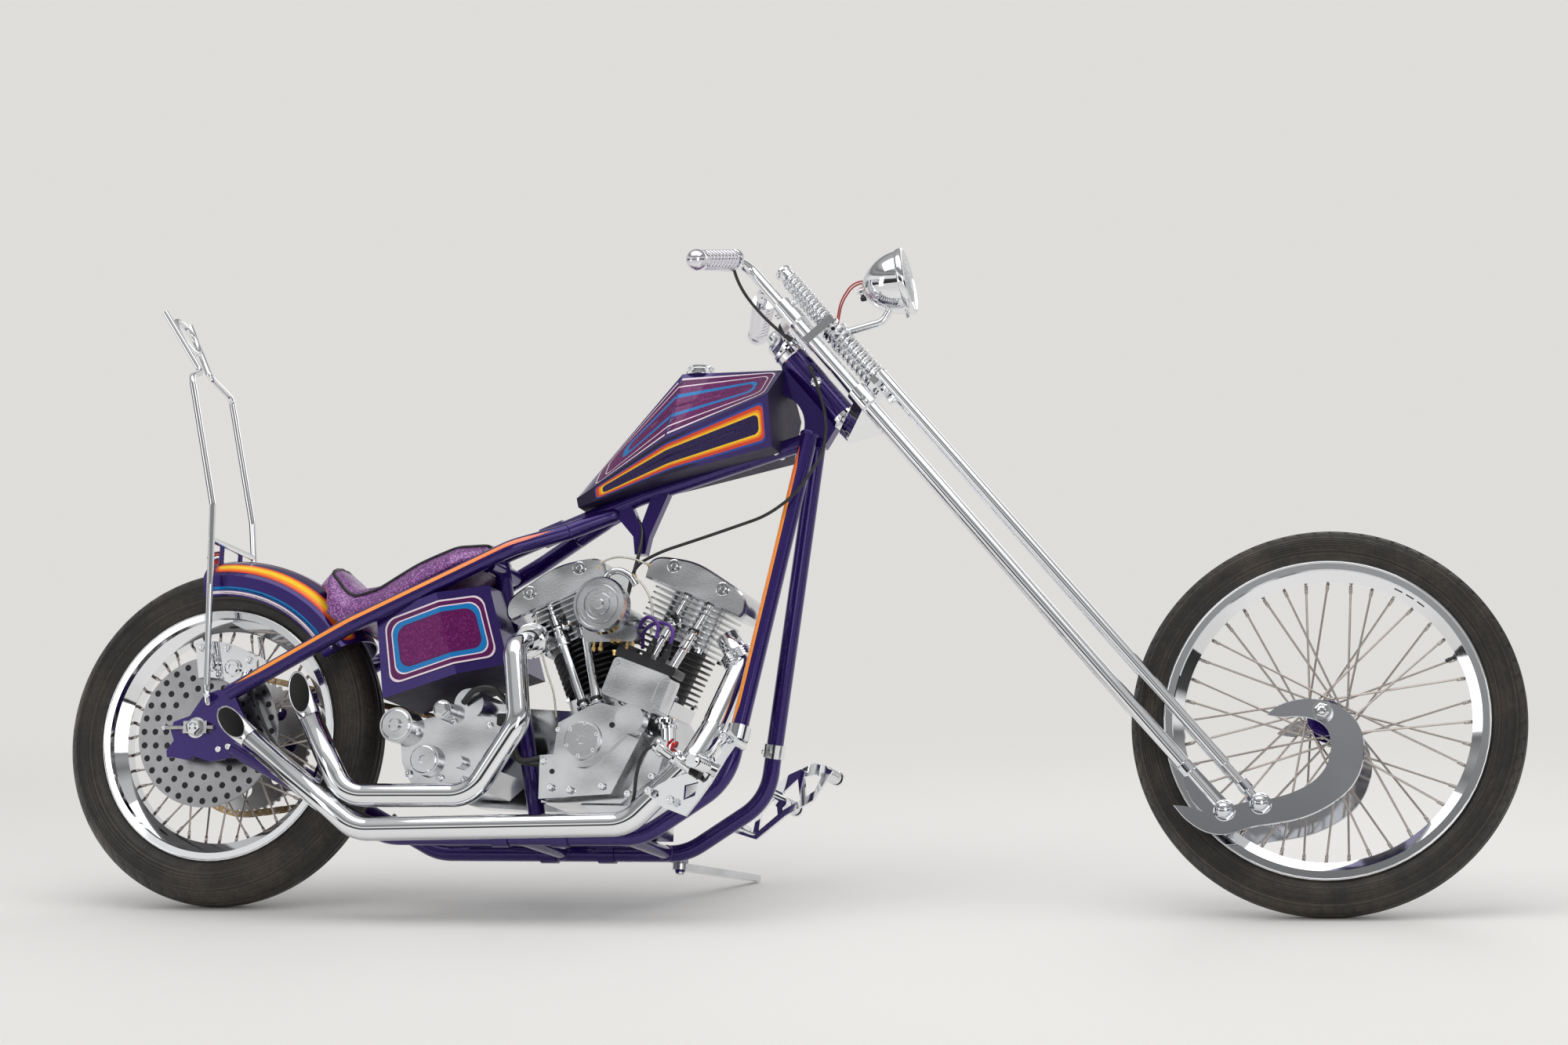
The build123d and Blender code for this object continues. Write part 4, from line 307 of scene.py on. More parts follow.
class Making:
    """Shapes gathered into one piece, in millimetres on the upright machine."""

    def __init__(self):
        self.vertices = []
        self.faces = []
        self.finish_of_face = []
        self.smooth = []

    def put(self, vertices, faces, finish=0, smooth=True):
        start = len(self.vertices)
        self.vertices.extend(Vector(v) for v in vertices)
        for face in faces:
            self.faces.append([start + index for index in face])
            self.finish_of_face.append(finish)
            self.smooth.append(smooth)

    def tube(self, points, radius, sides=10, finish=0, capped=True):
        """Round bar along points; the radius may differ from point to point."""
        points = [Vector(p) for p in points]
        radii = radius if isinstance(radius, (list, tuple)) else [radius] * len(points)
        side_way = None
        vertices = []
        for index, point in enumerate(points):
            ahead = points[min(index + 1, len(points) - 1)] - points[max(index - 1, 0)]
            ahead.normalize()
            if side_way is None:
                side_way = ahead.orthogonal().normalized()
            side_way = (side_way - ahead * side_way.dot(ahead)).normalized()
            vertices += ring_points(point, side_way, ahead.cross(side_way), radii[index], sides)
        self.put(vertices, faces_between(len(points), sides), finish)
        if capped:
            self.put(vertices[:sides], [tuple(reversed(range(sides)))], finish, False)
            self.put(vertices[-sides:], [tuple(range(sides))], finish, False)

    def turned(self, profile, centre, axis, sides=24, finish=0, smooth=False):
        """Turned form: profile rows are distance along the axis and radius."""
        axis = Vector(axis).normalized()
        side_way = axis.orthogonal().normalized()
        vertices = []
        for along, radius in profile:
            vertices += ring_points(
                Vector(centre) + axis * along, side_way, axis.cross(side_way), max(radius, 0.01), sides)
        last = (len(profile) - 1) * sides
        ends = [tuple(reversed(range(sides))), tuple(range(last, last + sides))]
        self.put(vertices, faces_between(len(profile), sides) + ends, finish, smooth)

    def hull(self, points, finish=0):
        """Smallest convex form round the points."""
        shape = bmesh.new()
        for point in points:
            shape.verts.new(point)
        made = bmesh.ops.convex_hull(shape, input=shape.verts)
        loose = [v for v in made["geom_interior"] if isinstance(v, bmesh.types.BMVert)]
        bmesh.ops.delete(shape, geom=loose, context="VERTS")
        bmesh.ops.dissolve_limit(shape, angle_limit=0.01, verts=shape.verts, edges=shape.edges)
        shape.verts.index_update()
        corners = [v.co.copy() for v in shape.verts]
        self.put(corners, [[v.index for v in face.verts] for face in shape.faces], finish, False)
        shape.free()

    def block(self, centre, along, across, size, edge=1.5, finish=0):
        """Box with chamfered edges; size runs along, across and square to both."""
        along, across = Vector(along).normalized(), Vector(across).normalized()
        square = along.cross(across)
        halves = [side / 2 for side in size]
        points = []
        for signs in ((a, b, c) for a in (-1, 1) for b in (-1, 1) for c in (-1, 1)):
            for kept in range(3):
                reach = [half - (0 if index == kept else edge) for index, half in enumerate(halves)]
                points.append(
                    Vector(centre) + along * signs[0] * reach[0] + across * signs[1] * reach[1]
                    + square * signs[2] * reach[2])
        self.hull(points, finish)

    def slab(self, outline, y_low, y_high, edge=0.0, finish=0):
        """Flat plate from an outline of x and z, with a chamfer on its outer edges."""
        count = len(outline)
        middle = Vector((sum(p[0] for p in outline) / count, 0, sum(p[1] for p in outline) / count))
        layers = [(y_low, edge), (y_low + edge, 0.0), (y_high - edge, 0.0), (y_high, edge)]
        if edge == 0:
            layers = [(y_low, 0.0), (y_high, 0.0)]
        vertices = []
        for y, inset in layers:
            for x, z in outline:
                shift = (middle - Vector((x, 0, z))).normalized() * inset
                vertices.append((x + shift.x, y, z + shift.z))
        last = (len(layers) - 1) * count
        ends = [tuple(reversed(range(count))), tuple(range(last, last + count))]
        self.put(vertices, faces_between(len(layers), count) + ends, finish, False)

    def bolt(self, centre, axis, radius, height, finish=0):
        """Cap screw with a socket in its head."""
        self.turned(
            [(-0.5, radius), (height * 0.8, radius), (height, radius * 0.86),
             (height, radius * 0.5), (height * 0.45, radius * 0.45), (height * 0.45, 0)],
            centre, axis, 12, finish)

    def nut(self, centre, axis, radius, height, finish=0):
        """Six-sided nut with a domed end."""
        self.turned([(-0.5, radius), (height * 0.8, radius), (height, radius * 0.8)],
                    centre, axis, 6, finish)
        self.turned([(0, radius * 0.6), (height * 1.2, radius * 0.55), (height * 1.5, radius * 0.3)],
                    centre, axis, 12, finish)

    def finished(self, name, body, finishes):
        """Make the piece, set it where the machine stands and let it ride on a body."""
        placing = STEERED if body in ("fork", "front_wheel") else STANDING
        mesh = bpy.data.meshes.new(name)
        mesh.from_pydata([tuple(placing @ v) for v in self.vertices], [], self.faces)
        for finish in finishes:
            mesh.materials.append(finish)
        for polygon, finish, smooth in zip(mesh.polygons, self.finish_of_face, self.smooth):
            polygon.material_index = finish
            polygon.use_smooth = smooth
        shape = bmesh.new()
        shape.from_mesh(mesh)
        bmesh.ops.remove_doubles(shape, verts=shape.verts, dist=0.00001)
        bmesh.ops.dissolve_degenerate(shape, edges=shape.edges, dist=0.000005)
        bmesh.ops.recalc_face_normals(shape, faces=shape.faces)
        shape.to_mesh(mesh)
        shape.free()
        piece = bpy.data.objects.new(name, mesh)
        bpy.context.scene.collection.objects.link(piece)
        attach(piece, body)
        return piece


def flat(points):
    """The x and z of each point, as an outline for a slab."""
    return [(p.x, p.z) for p in points]


def mirrored_side(point):
    return Vector((point[0], -point[1], point[2]))


def flowing(points, steps=8):
    """Points of a smooth curve through the given ones."""
    points = [Vector(p) for p in points]
    padded = [points[0] * 2 - points[1]] + points + [points[-1] * 2 - points[-2]]
    curve = []
    for index in range(1, len(padded) - 2):
        before, start, end, after = padded[index - 1:index + 3]
        for step in range(steps):
            t = step / steps
            curve.append(0.5 * (
                2 * start + (end - before) * t + (2 * before - 5 * start + 4 * end - after) * t * t
                + (3 * start - before - 3 * end + after) * t * t * t))
    curve.append(points[-1])
    return curve


def rounded(points, radii, steps=6):
    """Straight runs joined by an arc at each corner, as tubes are bent."""
    points = [Vector(p) for p in points]
    path = [points[0]]
    for before, corner, after, radius in zip(points, points[1:], points[2:], radii):
        into, out = (before - corner).normalized(), (after - corner).normalized()
        half = into.angle(out) / 2
        reach = radius / tan(half)
        centre = corner + (into + out).normalized() * radius / sin(half)
        start, end = corner + into * reach - centre, corner + out * reach - centre
        for step in range(steps + 1):
            path.append(centre + start.slerp(end, step / steps).normalized() * radius)
    path.append(points[-1])
    return path


def even_steps(path, pace):
    """Points at an even pace along a path."""
    points, left_over = [path[0]], 0.0
    for start, end in zip(path, path[1:]):
        length = (end - start).length
        at = pace - left_over
        while at < length:
            points.append(start.lerp(end, at / length))
            at += pace
        left_over = (left_over + length) % pace
    points.append(path[-1])
    return points


CORNER_STEPS = 6


def painted_bands(making, surface, size, bands, corner=12.0, cells=(24, 6), lift=0.8):
    """Nested bands of paint, with round corners, on a surface.

    The surface gives a point and its outward way for two shares, of its length and its width, and
    size is that length and width. Each band is how far it starts from each side (rear, front, low,
    high, as shares) and a finish; the last band is filled."""
    length, width = size

    def loop(insets, shrink=0.0):
        rear, front, low, high = insets
        across = (front - rear) * length, (high - low) * width
        round_off = min(max(corner * (1 - shrink), 0.5), across[0] * 0.45, across[1] * 0.45)
        cut_u, cut_v = round_off / length, round_off / width
        shares = []
        runs = (
            ((rear + cut_u, low), (front - cut_u, low), (front - cut_u, low + cut_v), -90, cells[0]),
            ((front, low + cut_v), (front, high - cut_v), (front - cut_u, high - cut_v), 0, cells[1]),
            ((front - cut_u, high), (rear + cut_u, high), (rear + cut_u, high - cut_v), 90, cells[0]),
            ((rear, high - cut_v), (rear, low + cut_v), (rear + cut_u, low + cut_v), 180, cells[1]))
        for start, end, centre, from_deg, count in runs:
            for step in range(count):
                t = step / count
                shares.append((start[0] + (end[0] - start[0]) * t, start[1] + (end[1] - start[1]) * t))
            for step in range(CORNER_STEPS):
                angle = radians(from_deg + 90 * step / CORNER_STEPS)
                shares.append((centre[0] + cut_u * cos(angle), centre[1] + cut_v * sin(angle)))
        middle = (rear + front) / 2, (low + high) / 2
        reach = min((front - rear) / 2, 0.5)
        made = []
        for u, v in shares:
            u = middle[0] + (u - middle[0]) * (1 - shrink * min(1.0, width / length / reach * 0.5))
            v = middle[1] + (v - middle[1]) * (1 - shrink)
            point, outward = surface(u, v)
            made.append(Vector(point) + Vector(outward).normalized() * lift)
        return made

    for (insets, finish), following in zip(bands, bands[1:] + [None]):
        rings = [loop(insets)]
        if following:
            rings.append(loop(following[0]))
        else:
            rings += [loop(insets, shrink) for shrink in (0.25, 0.5, 0.75, 0.98)]
        for outer, inner in zip(rings, rings[1:]):
            making.put(outer + inner, faces_between(2, len(outer)), finish)
        if not following:
            core = rings[-1]
            count = len(core)
            strips = [(i, i + 1, count - 2 - i, count - 1 - i) for i in range(count // 2 - 1)]
            making.put(core, strips, finish)


def line_on_tube(making, path, tube_radius, facing, half_deg, lift=0.5, steps=4):
    """Painted line along a tube, on the side that faces one way, drawn in to a point at both ends."""
    vertices = []
    for index, point in enumerate(path):
        ahead = (path[min(index + 1, len(path) - 1)] - path[max(index - 1, 0)]).normalized()
        outward = Vector(facing)
        outward = (outward - ahead * outward.dot(ahead)).normalized()
        share = index / (len(path) - 1)
        taper = min(1.0, share * 12, (1 - share) * 12)
        for step in range(steps + 1):
            angle = radians(half_deg * taper) * (2 * step / steps - 1)
            way = Matrix.Rotation(angle, 3, ahead) @ outward
            vertices.append(point + way * (tube_radius + lift))
    count = steps + 1
    faces = [
        (i * count + j, i * count + j + 1, (i + 1) * count + j + 1, (i + 1) * count + j)
        for i in range(len(path) - 1) for j in range(steps)]
    making.put(vertices, faces)


# Finishes

def effect_group(name, inputs, output):
    """A node group with named inputs and one output, and the shader helper that fills it."""
    tree = bpy.data.node_groups.new(name, "ShaderNodeTree")
    for label, kind, value in inputs:
        socket = tree.interface.new_socket(label, in_out="INPUT", socket_type="NodeSocket" + kind)
        socket.default_value = value
    tree.interface.new_socket(output[0], in_out="OUTPUT", socket_type="NodeSocket" + output[1])
    given, result = tree.nodes.new("NodeGroupInput"), tree.nodes.new("NodeGroupOutput")
    return tree, Shader(tree), given.outputs, result.inputs[0]


def make_haze():
    """Faint smears and dust: lifts the roughness of polished metal and paint here and there."""
    tree, inside, given, result = effect_group(
        "handling_haze", [("Clean", "Float", 0.05), ("Smeared", "Float", 0.15), ("Scale", "Float", 9.0)],
        ("Roughness", "Float"))
    smears = inside.texture("TexNoise", Scale=given["Scale"], Detail=6.0, Roughness=0.65)
    spread = inside.add(
        "MapRange", Value=smears.outputs[0], From_Min=0.35, From_Max=0.75, To_Min=given["Clean"],
        To_Max=given["Smeared"])
    inside.give(result, spread.outputs[0])
    return tree


def make_flake():
    """Metal flake under clear paint: small cells that differ in brightness."""
    tree, inside, given, result = effect_group(
        "paint_flake",
        [("Paint", "Color", grey(0.5)), ("Glint", "Color", grey(0.8)), ("Scale", "Float", 900.0),
         ("Amount", "Float", 0.5)],
        ("Color", "Color"))
    cells = inside.texture("TexVoronoi", Scale=given["Scale"])
    brightness = inside.add("SeparateColor", Color=cells.outputs["Color"]).outputs[0]
    bright = inside.add("MapRange", Value=brightness, From_Min=0.55, From_Max=1.0)
    share = inside.math("MULTIPLY", bright.outputs[0], given["Amount"])
    inside.give(result, inside.mix(share, given["Paint"], given["Glint"]))
    return tree


def make_casting():
    """Fine unevenness of cast or worn metal, as a height."""
    tree, inside, given, result = effect_group(
        "cast_grain", [("Scale", "Float", 600.0), ("Detail", "Float", 4.0)], ("Height", "Float"))
    grain = inside.texture("TexNoise", Scale=given["Scale"], Detail=given["Detail"], Roughness=0.6)
    inside.give(result, grain.outputs[0])
    return tree


HAZE = make_haze()
FLAKE = make_flake()
CASTING = make_casting()


def hazed(paint, surface, clean, smeared, scale):
    """Roughness that runs from clean to smeared."""
    paint.give(surface.inputs["Roughness"], paint.group(HAZE, Clean=clean, Smeared=smeared, Scale=scale))


def raised(paint, surface, height, strength, depth=0.001):
    """Relief on the surface, over any that it has already."""
    bump = paint.add("Bump", Strength=strength, Distance=depth, Height=height)
    for link in tuple(surface.inputs["Normal"].links):
        paint.give(bump.inputs["Normal"], link.from_socket)
    paint.give(surface.inputs["Normal"], bump.outputs[0])


def metal(name, color, clean, smeared, haze_scale=9.0, grain=None, waves=0.0):
    """Bare or plated metal; grain is a scale and a strength, waves the strength of slow unevenness."""
    material, paint, surface = new_material(name, Base_Color=(*color, 1), Metallic=1.0)
    hazed(paint, surface, clean, smeared, haze_scale)
    if grain:
        scale, strength = grain
        raised(paint, surface, paint.group(CASTING, Scale=scale), strength)
    if waves:
        raised(paint, surface, paint.group(CASTING, Scale=15.0, Detail=0.0), waves, 0.004)
    return material


def candy(name, color, glint, amount=0.35, scale=1400.0, metallic=0.55, gloss=0.7):
    """Clear-coated paint with metal flake in it."""
    material, paint, surface = new_material(
        name, Metallic=metallic, Specular_IOR_Level=gloss * 0.4, Coat_Weight=gloss, Coat_Roughness=0.03)
    flake = paint.group(FLAKE, Paint=(*color, 1), Glint=(*glint, 1), Scale=scale, Amount=amount)
    paint.give(surface.inputs["Base Color"], flake)
    hazed(paint, surface, 0.22, 0.34, 5.0)
    return material


def matter(name, color, second, clean, smeared, mottling=30.0, grain=None):
    """Rubber, plastic or leather: two close colours mottled together."""
    material, paint, surface = new_material(name)
    mottle = paint.texture("TexNoise", Scale=mottling, Detail=8.0, Roughness=0.6)
    paint.give(
        surface.inputs["Base Color"], paint.ramp(mottle.outputs[0], (0.38, color), (0.66, second)))
    hazed(paint, surface, clean, smeared, mottling)
    if grain:
        scale, strength = grain
        raised(paint, surface, paint.group(CASTING, Scale=scale), strength)
    return material


def fluted_glass():
    """Clear lens with upright flutes."""
    material, paint, surface = new_material(
        "fluted_glass", Base_Color=(0.86, 0.90, 0.93, 1), Transmission_Weight=0.55, IOR=1.45)
    hazed(paint, surface, 0.04, 0.12, 12.0)
    flutes = paint.texture("TexWave", bands_direction="Y", Scale=34.0, Distortion=0.0)
    raised(paint, surface, flutes.outputs[1], 0.5, 0.002)
    return material


chrome = metal("chrome_plate", (0.84, 0.85, 0.87), 0.02, 0.07)
rocker_chrome = metal("rocker_chrome", (0.74, 0.76, 0.80), 0.05, 0.12)
spoke_chrome = metal("plated_wire", (0.50, 0.45, 0.42), 0.16, 0.28)
polished_alloy = metal("polished_alloy", (0.70, 0.71, 0.73), 0.10, 0.22, 14.0, (260.0, 0.05), 0.5)
cast_alloy = metal("cast_alloy", (0.62, 0.63, 0.65), 0.20, 0.36, 14.0, (900.0, 0.12), 0.5)
steel = metal("machined_steel", (0.47, 0.47, 0.48), 0.24, 0.38, 20.0)
disc_steel = metal("disc_steel", (0.33, 0.33, 0.34), 0.24, 0.38, 26.0)
# Painted shade: near-black lining inside the brake disc's holes.
hole_shade_steel = metal("hole_shade_steel", (0.040, 0.040, 0.043), 0.35, 0.5, 20.0)
bronze = metal("chain_bronze", (0.42, 0.29, 0.15), 0.25, 0.45, 30.0)
brass = metal("brass", (0.72, 0.50, 0.20), 0.18, 0.35, 30.0)
braided_line = metal("braided_line", (0.72, 0.69, 0.60), 0.25, 0.42, 60.0, (2600.0, 0.5))
grip_metal = metal("grip_metal", (0.80, 0.78, 0.84), 0.10, 0.25, 30.0)
anodised_red = metal("anodised_red", (0.60, 0.03, 0.03), 0.22, 0.35, 20.0)
barrel_black = matter(
    "barrel_black", (0.012, 0.012, 0.014), (0.03, 0.03, 0.034), 0.32, 0.5, 40.0, (900.0, 0.3))
black_plastic = matter("gloss_black", (0.01, 0.01, 0.012), (0.02, 0.02, 0.024), 0.12, 0.28, 20.0)
tyre_rubber = matter(
    "tyre_rubber", (0.016, 0.014, 0.012), (0.036, 0.030, 0.024), 0.62, 0.85, 11.0, (500.0, 0.35))
cable_black = matter("cable_cover", (0.012, 0.012, 0.012), (0.025, 0.025, 0.025), 0.35, 0.5, 60.0)
piping_black = matter(
    "piping_black", (0.010, 0.010, 0.011), (0.022, 0.020, 0.022), 0.25, 0.4, 80.0, (1200.0, 0.3))
# Soot for the pipes' bores; the same near-black also closes each bore as painted shade of the pipe's depth.
soot_and_shade = matter("soot_and_shade", (0.003, 0.003, 0.003), (0.010, 0.009, 0.008), 0.7, 0.9)
# Painted shade: near-black purple for the tanks' faces that look down and the fuel tank's front.
painted_tank_shade = matter("painted_shade_under_tanks", (0.010, 0.005, 0.030), (0.016, 0.008, 0.045), 0.55, 0.7, 20.0)
lead_purple = matter("lead_purple", (0.055, 0.018, 0.17), (0.10, 0.03, 0.28), 0.25, 0.4, 60.0)
wire_red = matter("wire_red", (0.30, 0.012, 0.012), (0.42, 0.02, 0.02), 0.3, 0.45, 60.0)
lamp_red = matter("lamp_red", (0.35, 0.01, 0.01), (0.45, 0.02, 0.015), 0.08, 0.16)
frame_purple = candy("candy_purple", (0.020, 0.006, 0.110), (0.09, 0.035, 0.34), 0.3)
seat_flake = candy("seat_flake", (0.17, 0.020, 0.19), (0.55, 0.20, 0.62), 0.6, 900.0, 0.35)
lens_glass = fluted_glass()

FINISH_OF_SLOT = {
    "tyre_rubber": tyre_rubber, "chrome": chrome, "spoke_chrome": spoke_chrome,
    "polished_alloy": polished_alloy, "cast_alloy": cast_alloy, "barrel_black": barrel_black,
    "frame_purple": frame_purple, "tank_paint": frame_purple, "fender_paint": frame_purple,
    "oil_tank_paint": frame_purple, "seat_vinyl": seat_flake, "black_plastic": black_plastic,
    "chain_bronze": bronze, "steel": steel, "grip_clear": grip_metal, "cable_black": cable_black,
    "wire_cover": wire_red, "lamp_red": lamp_red, "lens_glass": lens_glass,
}


def coat(node, *finishes):
    """Give a part new finishes in place of its own."""
    node.data.materials.clear()
    for finish in finishes:
        node.data.materials.append(finish)


def finish_the_parts():
    for entry in frame["record"]["subparts"]:
        coat(frame["nodes"][entry["node"]], FINISH_OF_SLOT[entry["material_slot"]])
    coat(frame["nodes"]["brake_disc"], disc_steel)


finish_the_parts()


# Painted bodywork

def line_paint(name, color):
    """Paint for thin lines, its flake a little paler than itself."""
    glint = tuple(min(1, c * 1.6 + 0.05) for c in color)
    return candy(name, color, glint, 0.3, 1500.0, 0.1, 0.35)


PAINTS = [
    line_paint("line_pearl", (0.72, 0.60, 0.68)),
    line_paint("band_deep_magenta", (0.085, 0.003, 0.070)),
    candy("panel_magenta", (0.105, 0.004, 0.080), (0.34, 0.05, 0.28), 0.4, 420.0, 0.3, 0.35),
    line_paint("line_sky_blue", (0.002, 0.155, 0.42)),
    line_paint("line_blue", (0.02, 0.06, 0.30)),
    line_paint("line_red", (0.62, 0.055, 0.022)),
    line_paint("line_orange", (0.86, 0.235, 0.012)),
    line_paint("line_yellow", (0.92, 0.56, 0.02)),
    candy("panel_dark_purple", (0.012, 0.004, 0.050), (0.07, 0.04, 0.24), 0.4, 900.0, 0.55, 0.5)]
PEARL, DEEP, MAGENTA, SKY, BLUE, RED, ORANGE, YELLOW, DARK = range(len(PAINTS))

TANK_STATIONS = (  # x, deck z, widest z, low z, and half widths there: rear, middle, front
    (713.7, 789.6, 774.8, 760.0, 22.4, 44.8, 33.6),
    (906.75, 1016.6, 868.6, 811.3, 22.4, 107.5, 69.4),
    (1105.65, 1016.6, 949.5, 856.7, 22.4, 112.0, 73.9))
TANK_LENGTH, UPPER_FACET_WIDTH, LOWER_FACET_WIDTH = 420, 130, 90
TANK_CELLS = 28


def tank_facet(side, upper):
    """One side facet of the fuel tank, from its rear tip to its front."""
    def surface(u, v):
        place = u * 2
        first = 0 if place < 1 else 1
        rows = []
        for x, deck, widest, low, deck_w, widest_w, low_w in TANK_STATIONS[first:first + 2]:
            crease = Vector((x, side * widest_w, widest))
            far = Vector((x, side * deck_w, deck) if upper else (x, side * low_w, low))
            rows.append(crease * (1 - v) + far * v)
        share = place - first
        outward = (0, side, 0.9) if upper else (0, side, -0.5)
        return rows[0] * (1 - share) + rows[1] * share, outward
    return surface


def paint_tank():
    for side, label in zip(BOTH_SIDES, ("right", "left")):
        making = Making()
        painted_bands(making, tank_facet(side, True), (TANK_LENGTH, UPPER_FACET_WIDTH), [
            ((0.10, 0.975, 0.070, 0.93), PEARL), ((0.106, 0.970, 0.100, 0.90), DEEP),
            ((0.150, 0.950, 0.190, 0.81), PEARL), ((0.155, 0.946, 0.210, 0.79), MAGENTA),
            ((0.235, 0.905, 0.330, 0.68), SKY), ((0.262, 0.890, 0.385, 0.62), MAGENTA)],
            14.0, (TANK_CELLS, 8))
        painted_bands(making, tank_facet(side, False), (TANK_LENGTH, LOWER_FACET_WIDTH), [
            ((0.10, 0.975, 0.10, 0.88), BLUE), ((0.106, 0.971, 0.15, 0.83), RED),
            ((0.120, 0.960, 0.22, 0.76), ORANGE), ((0.130, 0.953, 0.26, 0.72), YELLOW),
            ((0.142, 0.946, 0.30, 0.68), DARK)], 10.0, (TANK_CELLS, 6))
        making.finished(f"tank_paint_{label}", "frame", PAINTS)


OIL_LOW = ((368, 384), (522, 428), (616, 448))
OIL_HIGH = ((346, 543), (471, 584), (567, 599))
OIL_BEND_SHARE = 0.56
OIL_SLANT, OIL_BASE_Z = 0.3263, 380.0  # the tank's walls lean back by this much of their height
OIL_REAR_X, OIL_WIDEST_X, OIL_FRONT_X = 257.4, 535.9, 725.4
OIL_REAR_HALF, OIL_WIDEST_HALF, OIL_FRONT_HALF = 98.0, 118.0, 80.0
OIL_PANEL_SIZE = (235, 150)


def oil_tank_side(side):
    """The oil tank's side wall, from its rear edge to its front one."""
    def along(rows, u):
        first = 0 if u < OIL_BEND_SHARE else 1
        share = (u - OIL_BEND_SHARE) / (1 - OIL_BEND_SHARE) if first else u / OIL_BEND_SHARE
        (x1, z1), (x2, z2) = rows[first:first + 2]
        return x1 + (x2 - x1) * share, z1 + (z2 - z1) * share

    def surface(u, v):
        low, high = along(OIL_LOW, u), along(OIL_HIGH, u)
        x, z = low[0] + (high[0] - low[0]) * v, low[1] + (high[1] - low[1]) * v
        level_x = x + OIL_SLANT * (z - OIL_BASE_Z)
        if level_x < OIL_WIDEST_X:
            share = (level_x - OIL_REAR_X) / (OIL_WIDEST_X - OIL_REAR_X)
            half = OIL_REAR_HALF + (OIL_WIDEST_HALF - OIL_REAR_HALF) * share
        else:
            share = (level_x - OIL_WIDEST_X) / (OIL_FRONT_X - OIL_WIDEST_X)
            half = OIL_WIDEST_HALF + (OIL_FRONT_HALF - OIL_WIDEST_HALF) * share
        return (x, side * half, z), (0, side, 0)
    return surface


def paint_oil_tank():
    making = Making()
    painted_bands(making, oil_tank_side(-1), OIL_PANEL_SIZE, [
        ((0.07, 0.93, 0.12, 0.90), PEARL), ((0.082, 0.918, 0.14, 0.88), DEEP),
        ((0.118, 0.882, 0.19, 0.83), PEARL), ((0.127, 0.873, 0.204, 0.816), SKY),
        ((0.165, 0.835, 0.26, 0.76), DEEP), ((0.180, 0.820, 0.285, 0.735), MAGENTA)], 20.0, (40, 10), 2.2)
    making.finished("oil_tank_panel", "frame", PAINTS)


FENDER_SIDE_Y, FENDER_EDGE_R, FENDER_SIDE_HEIGHT = 74.0, 270.0, 38.0
SIDE_START_DEG, SIDE_TURN_DEG = 36.0, 58.0
CROWN_START_DEG, CROWN_TURN_DEG = 33.5, 61.0
OUTER_BAND_Y, INNER_BAND_Y, MIDDLE_BAND_Y = 70, 40, 19
FENDER_ARC_CENTRE, FENDER_ARC_R = 259.55, 88.45  # the crown's round section, from the axle
FENDER_CELLS = 56


def on_fender(angle, radius, y):
    return (radius * cos(angle), y, REAR_AXLE_HEIGHT + radius * sin(angle))


def fender_side(side):
    """The fender's flat side, from its front end over to its rear one."""
    def surface(u, v):
        radius = FENDER_EDGE_R + FENDER_SIDE_HEIGHT * v
        angle = radians(SIDE_START_DEG + SIDE_TURN_DEG * u)
        return on_fender(angle, radius, side * FENDER_SIDE_Y), (0, side, 0)
    return surface


def fender_crown(low_y, high_y):
    """A strip of the fender's round top, between two distances from its middle."""
    def surface(u, v):
        angle = radians(CROWN_START_DEG + CROWN_TURN_DEG * u)
        y = low_y + (high_y - low_y) * v
        radius = FENDER_ARC_CENTRE + sqrt(FENDER_ARC_R ** 2 - y * y)
        lean = y / FENDER_ARC_R
        upright = sqrt(1 - lean * lean)
        return on_fender(angle, radius, y), (cos(angle) * upright, lean, sin(angle) * upright)
    return surface


def paint_fender():
    making = Making()
    for side in BOTH_SIDES:
        for low, high, paint in ((0.04, 0.20, PEARL), (0.26, 0.42, SKY)):
            painted_bands(making, fender_side(side), (310, FENDER_SIDE_HEIGHT),
                          [((0.0, 1.0, low, high), paint)], 1.5, (48, 2), 0.5)
        painted_bands(making, fender_crown(side * OUTER_BAND_Y, side * INNER_BAND_Y), (310, 40), [
            ((0.0, 0.99, 0.05, 0.80), RED), ((0.01, 0.98, 0.16, 0.70), ORANGE),
            ((0.02, 0.97, 0.30, 0.58), YELLOW)], 10.0, (FENDER_CELLS, 4), 0.6)
    painted_bands(making, fender_crown(-MIDDLE_BAND_Y, MIDDLE_BAND_Y), (340, 2 * MIDDLE_BAND_Y), [
        ((0.0, 0.985, 0.0, 1.0), ORANGE), ((0.006, 0.98, 0.07, 0.93), BLUE),
        ((0.012, 0.975, 0.14, 0.86), SKY)], 8.0, (FENDER_CELLS, 4), 0.6)
    making.finished("fender_stripes", "frame", PAINTS)


def warm_line(name, axis, low, high):
    """Line that runs from orange to red between two places on one axis, in metres."""
    material, paint, surface = new_material(name, Coat_Weight=1.0, Coat_Roughness=0.03)
    place = paint.texture("SeparateXYZ").outputs[axis]
    share = paint.add("MapRange", Value=place, From_Min=low, From_Max=high)
    fade = paint.ramp(
        share.outputs[0], (0.0, (0.90, 0.26, 0.012)), (0.5, (0.86, 0.17, 0.02)), (1.0, (0.66, 0.05, 0.03)))
    flake = paint.group(FLAKE, Paint=fade, Glint=(1.0, 0.6, 0.3, 1), Scale=1500.0, Amount=0.25)
    paint.give(surface.inputs["Base Color"], flake)
    hazed(paint, surface, 0.22, 0.34, 5.0)
    return material


TUBE_R = 16.0
RAIL_Y, RAIL_Z = 127.0, 121.0
RAIL_BEND = 110.0
NECK_FOOT = (1165.3, -28, 888.3)
UPPER_RAIL = ((695, -34, 712.6), (602.5, -81.6, 674.1), (304.2, -RAIL_Y, 523.1), (58.5, -RAIL_Y, 392.8))
DOWNTUBE = (NECK_FOOT, (1062.4, -RAIL_Y, 222.1), (906.75, -RAIL_Y, RAIL_Z), (819, -RAIL_Y, RAIL_Z))


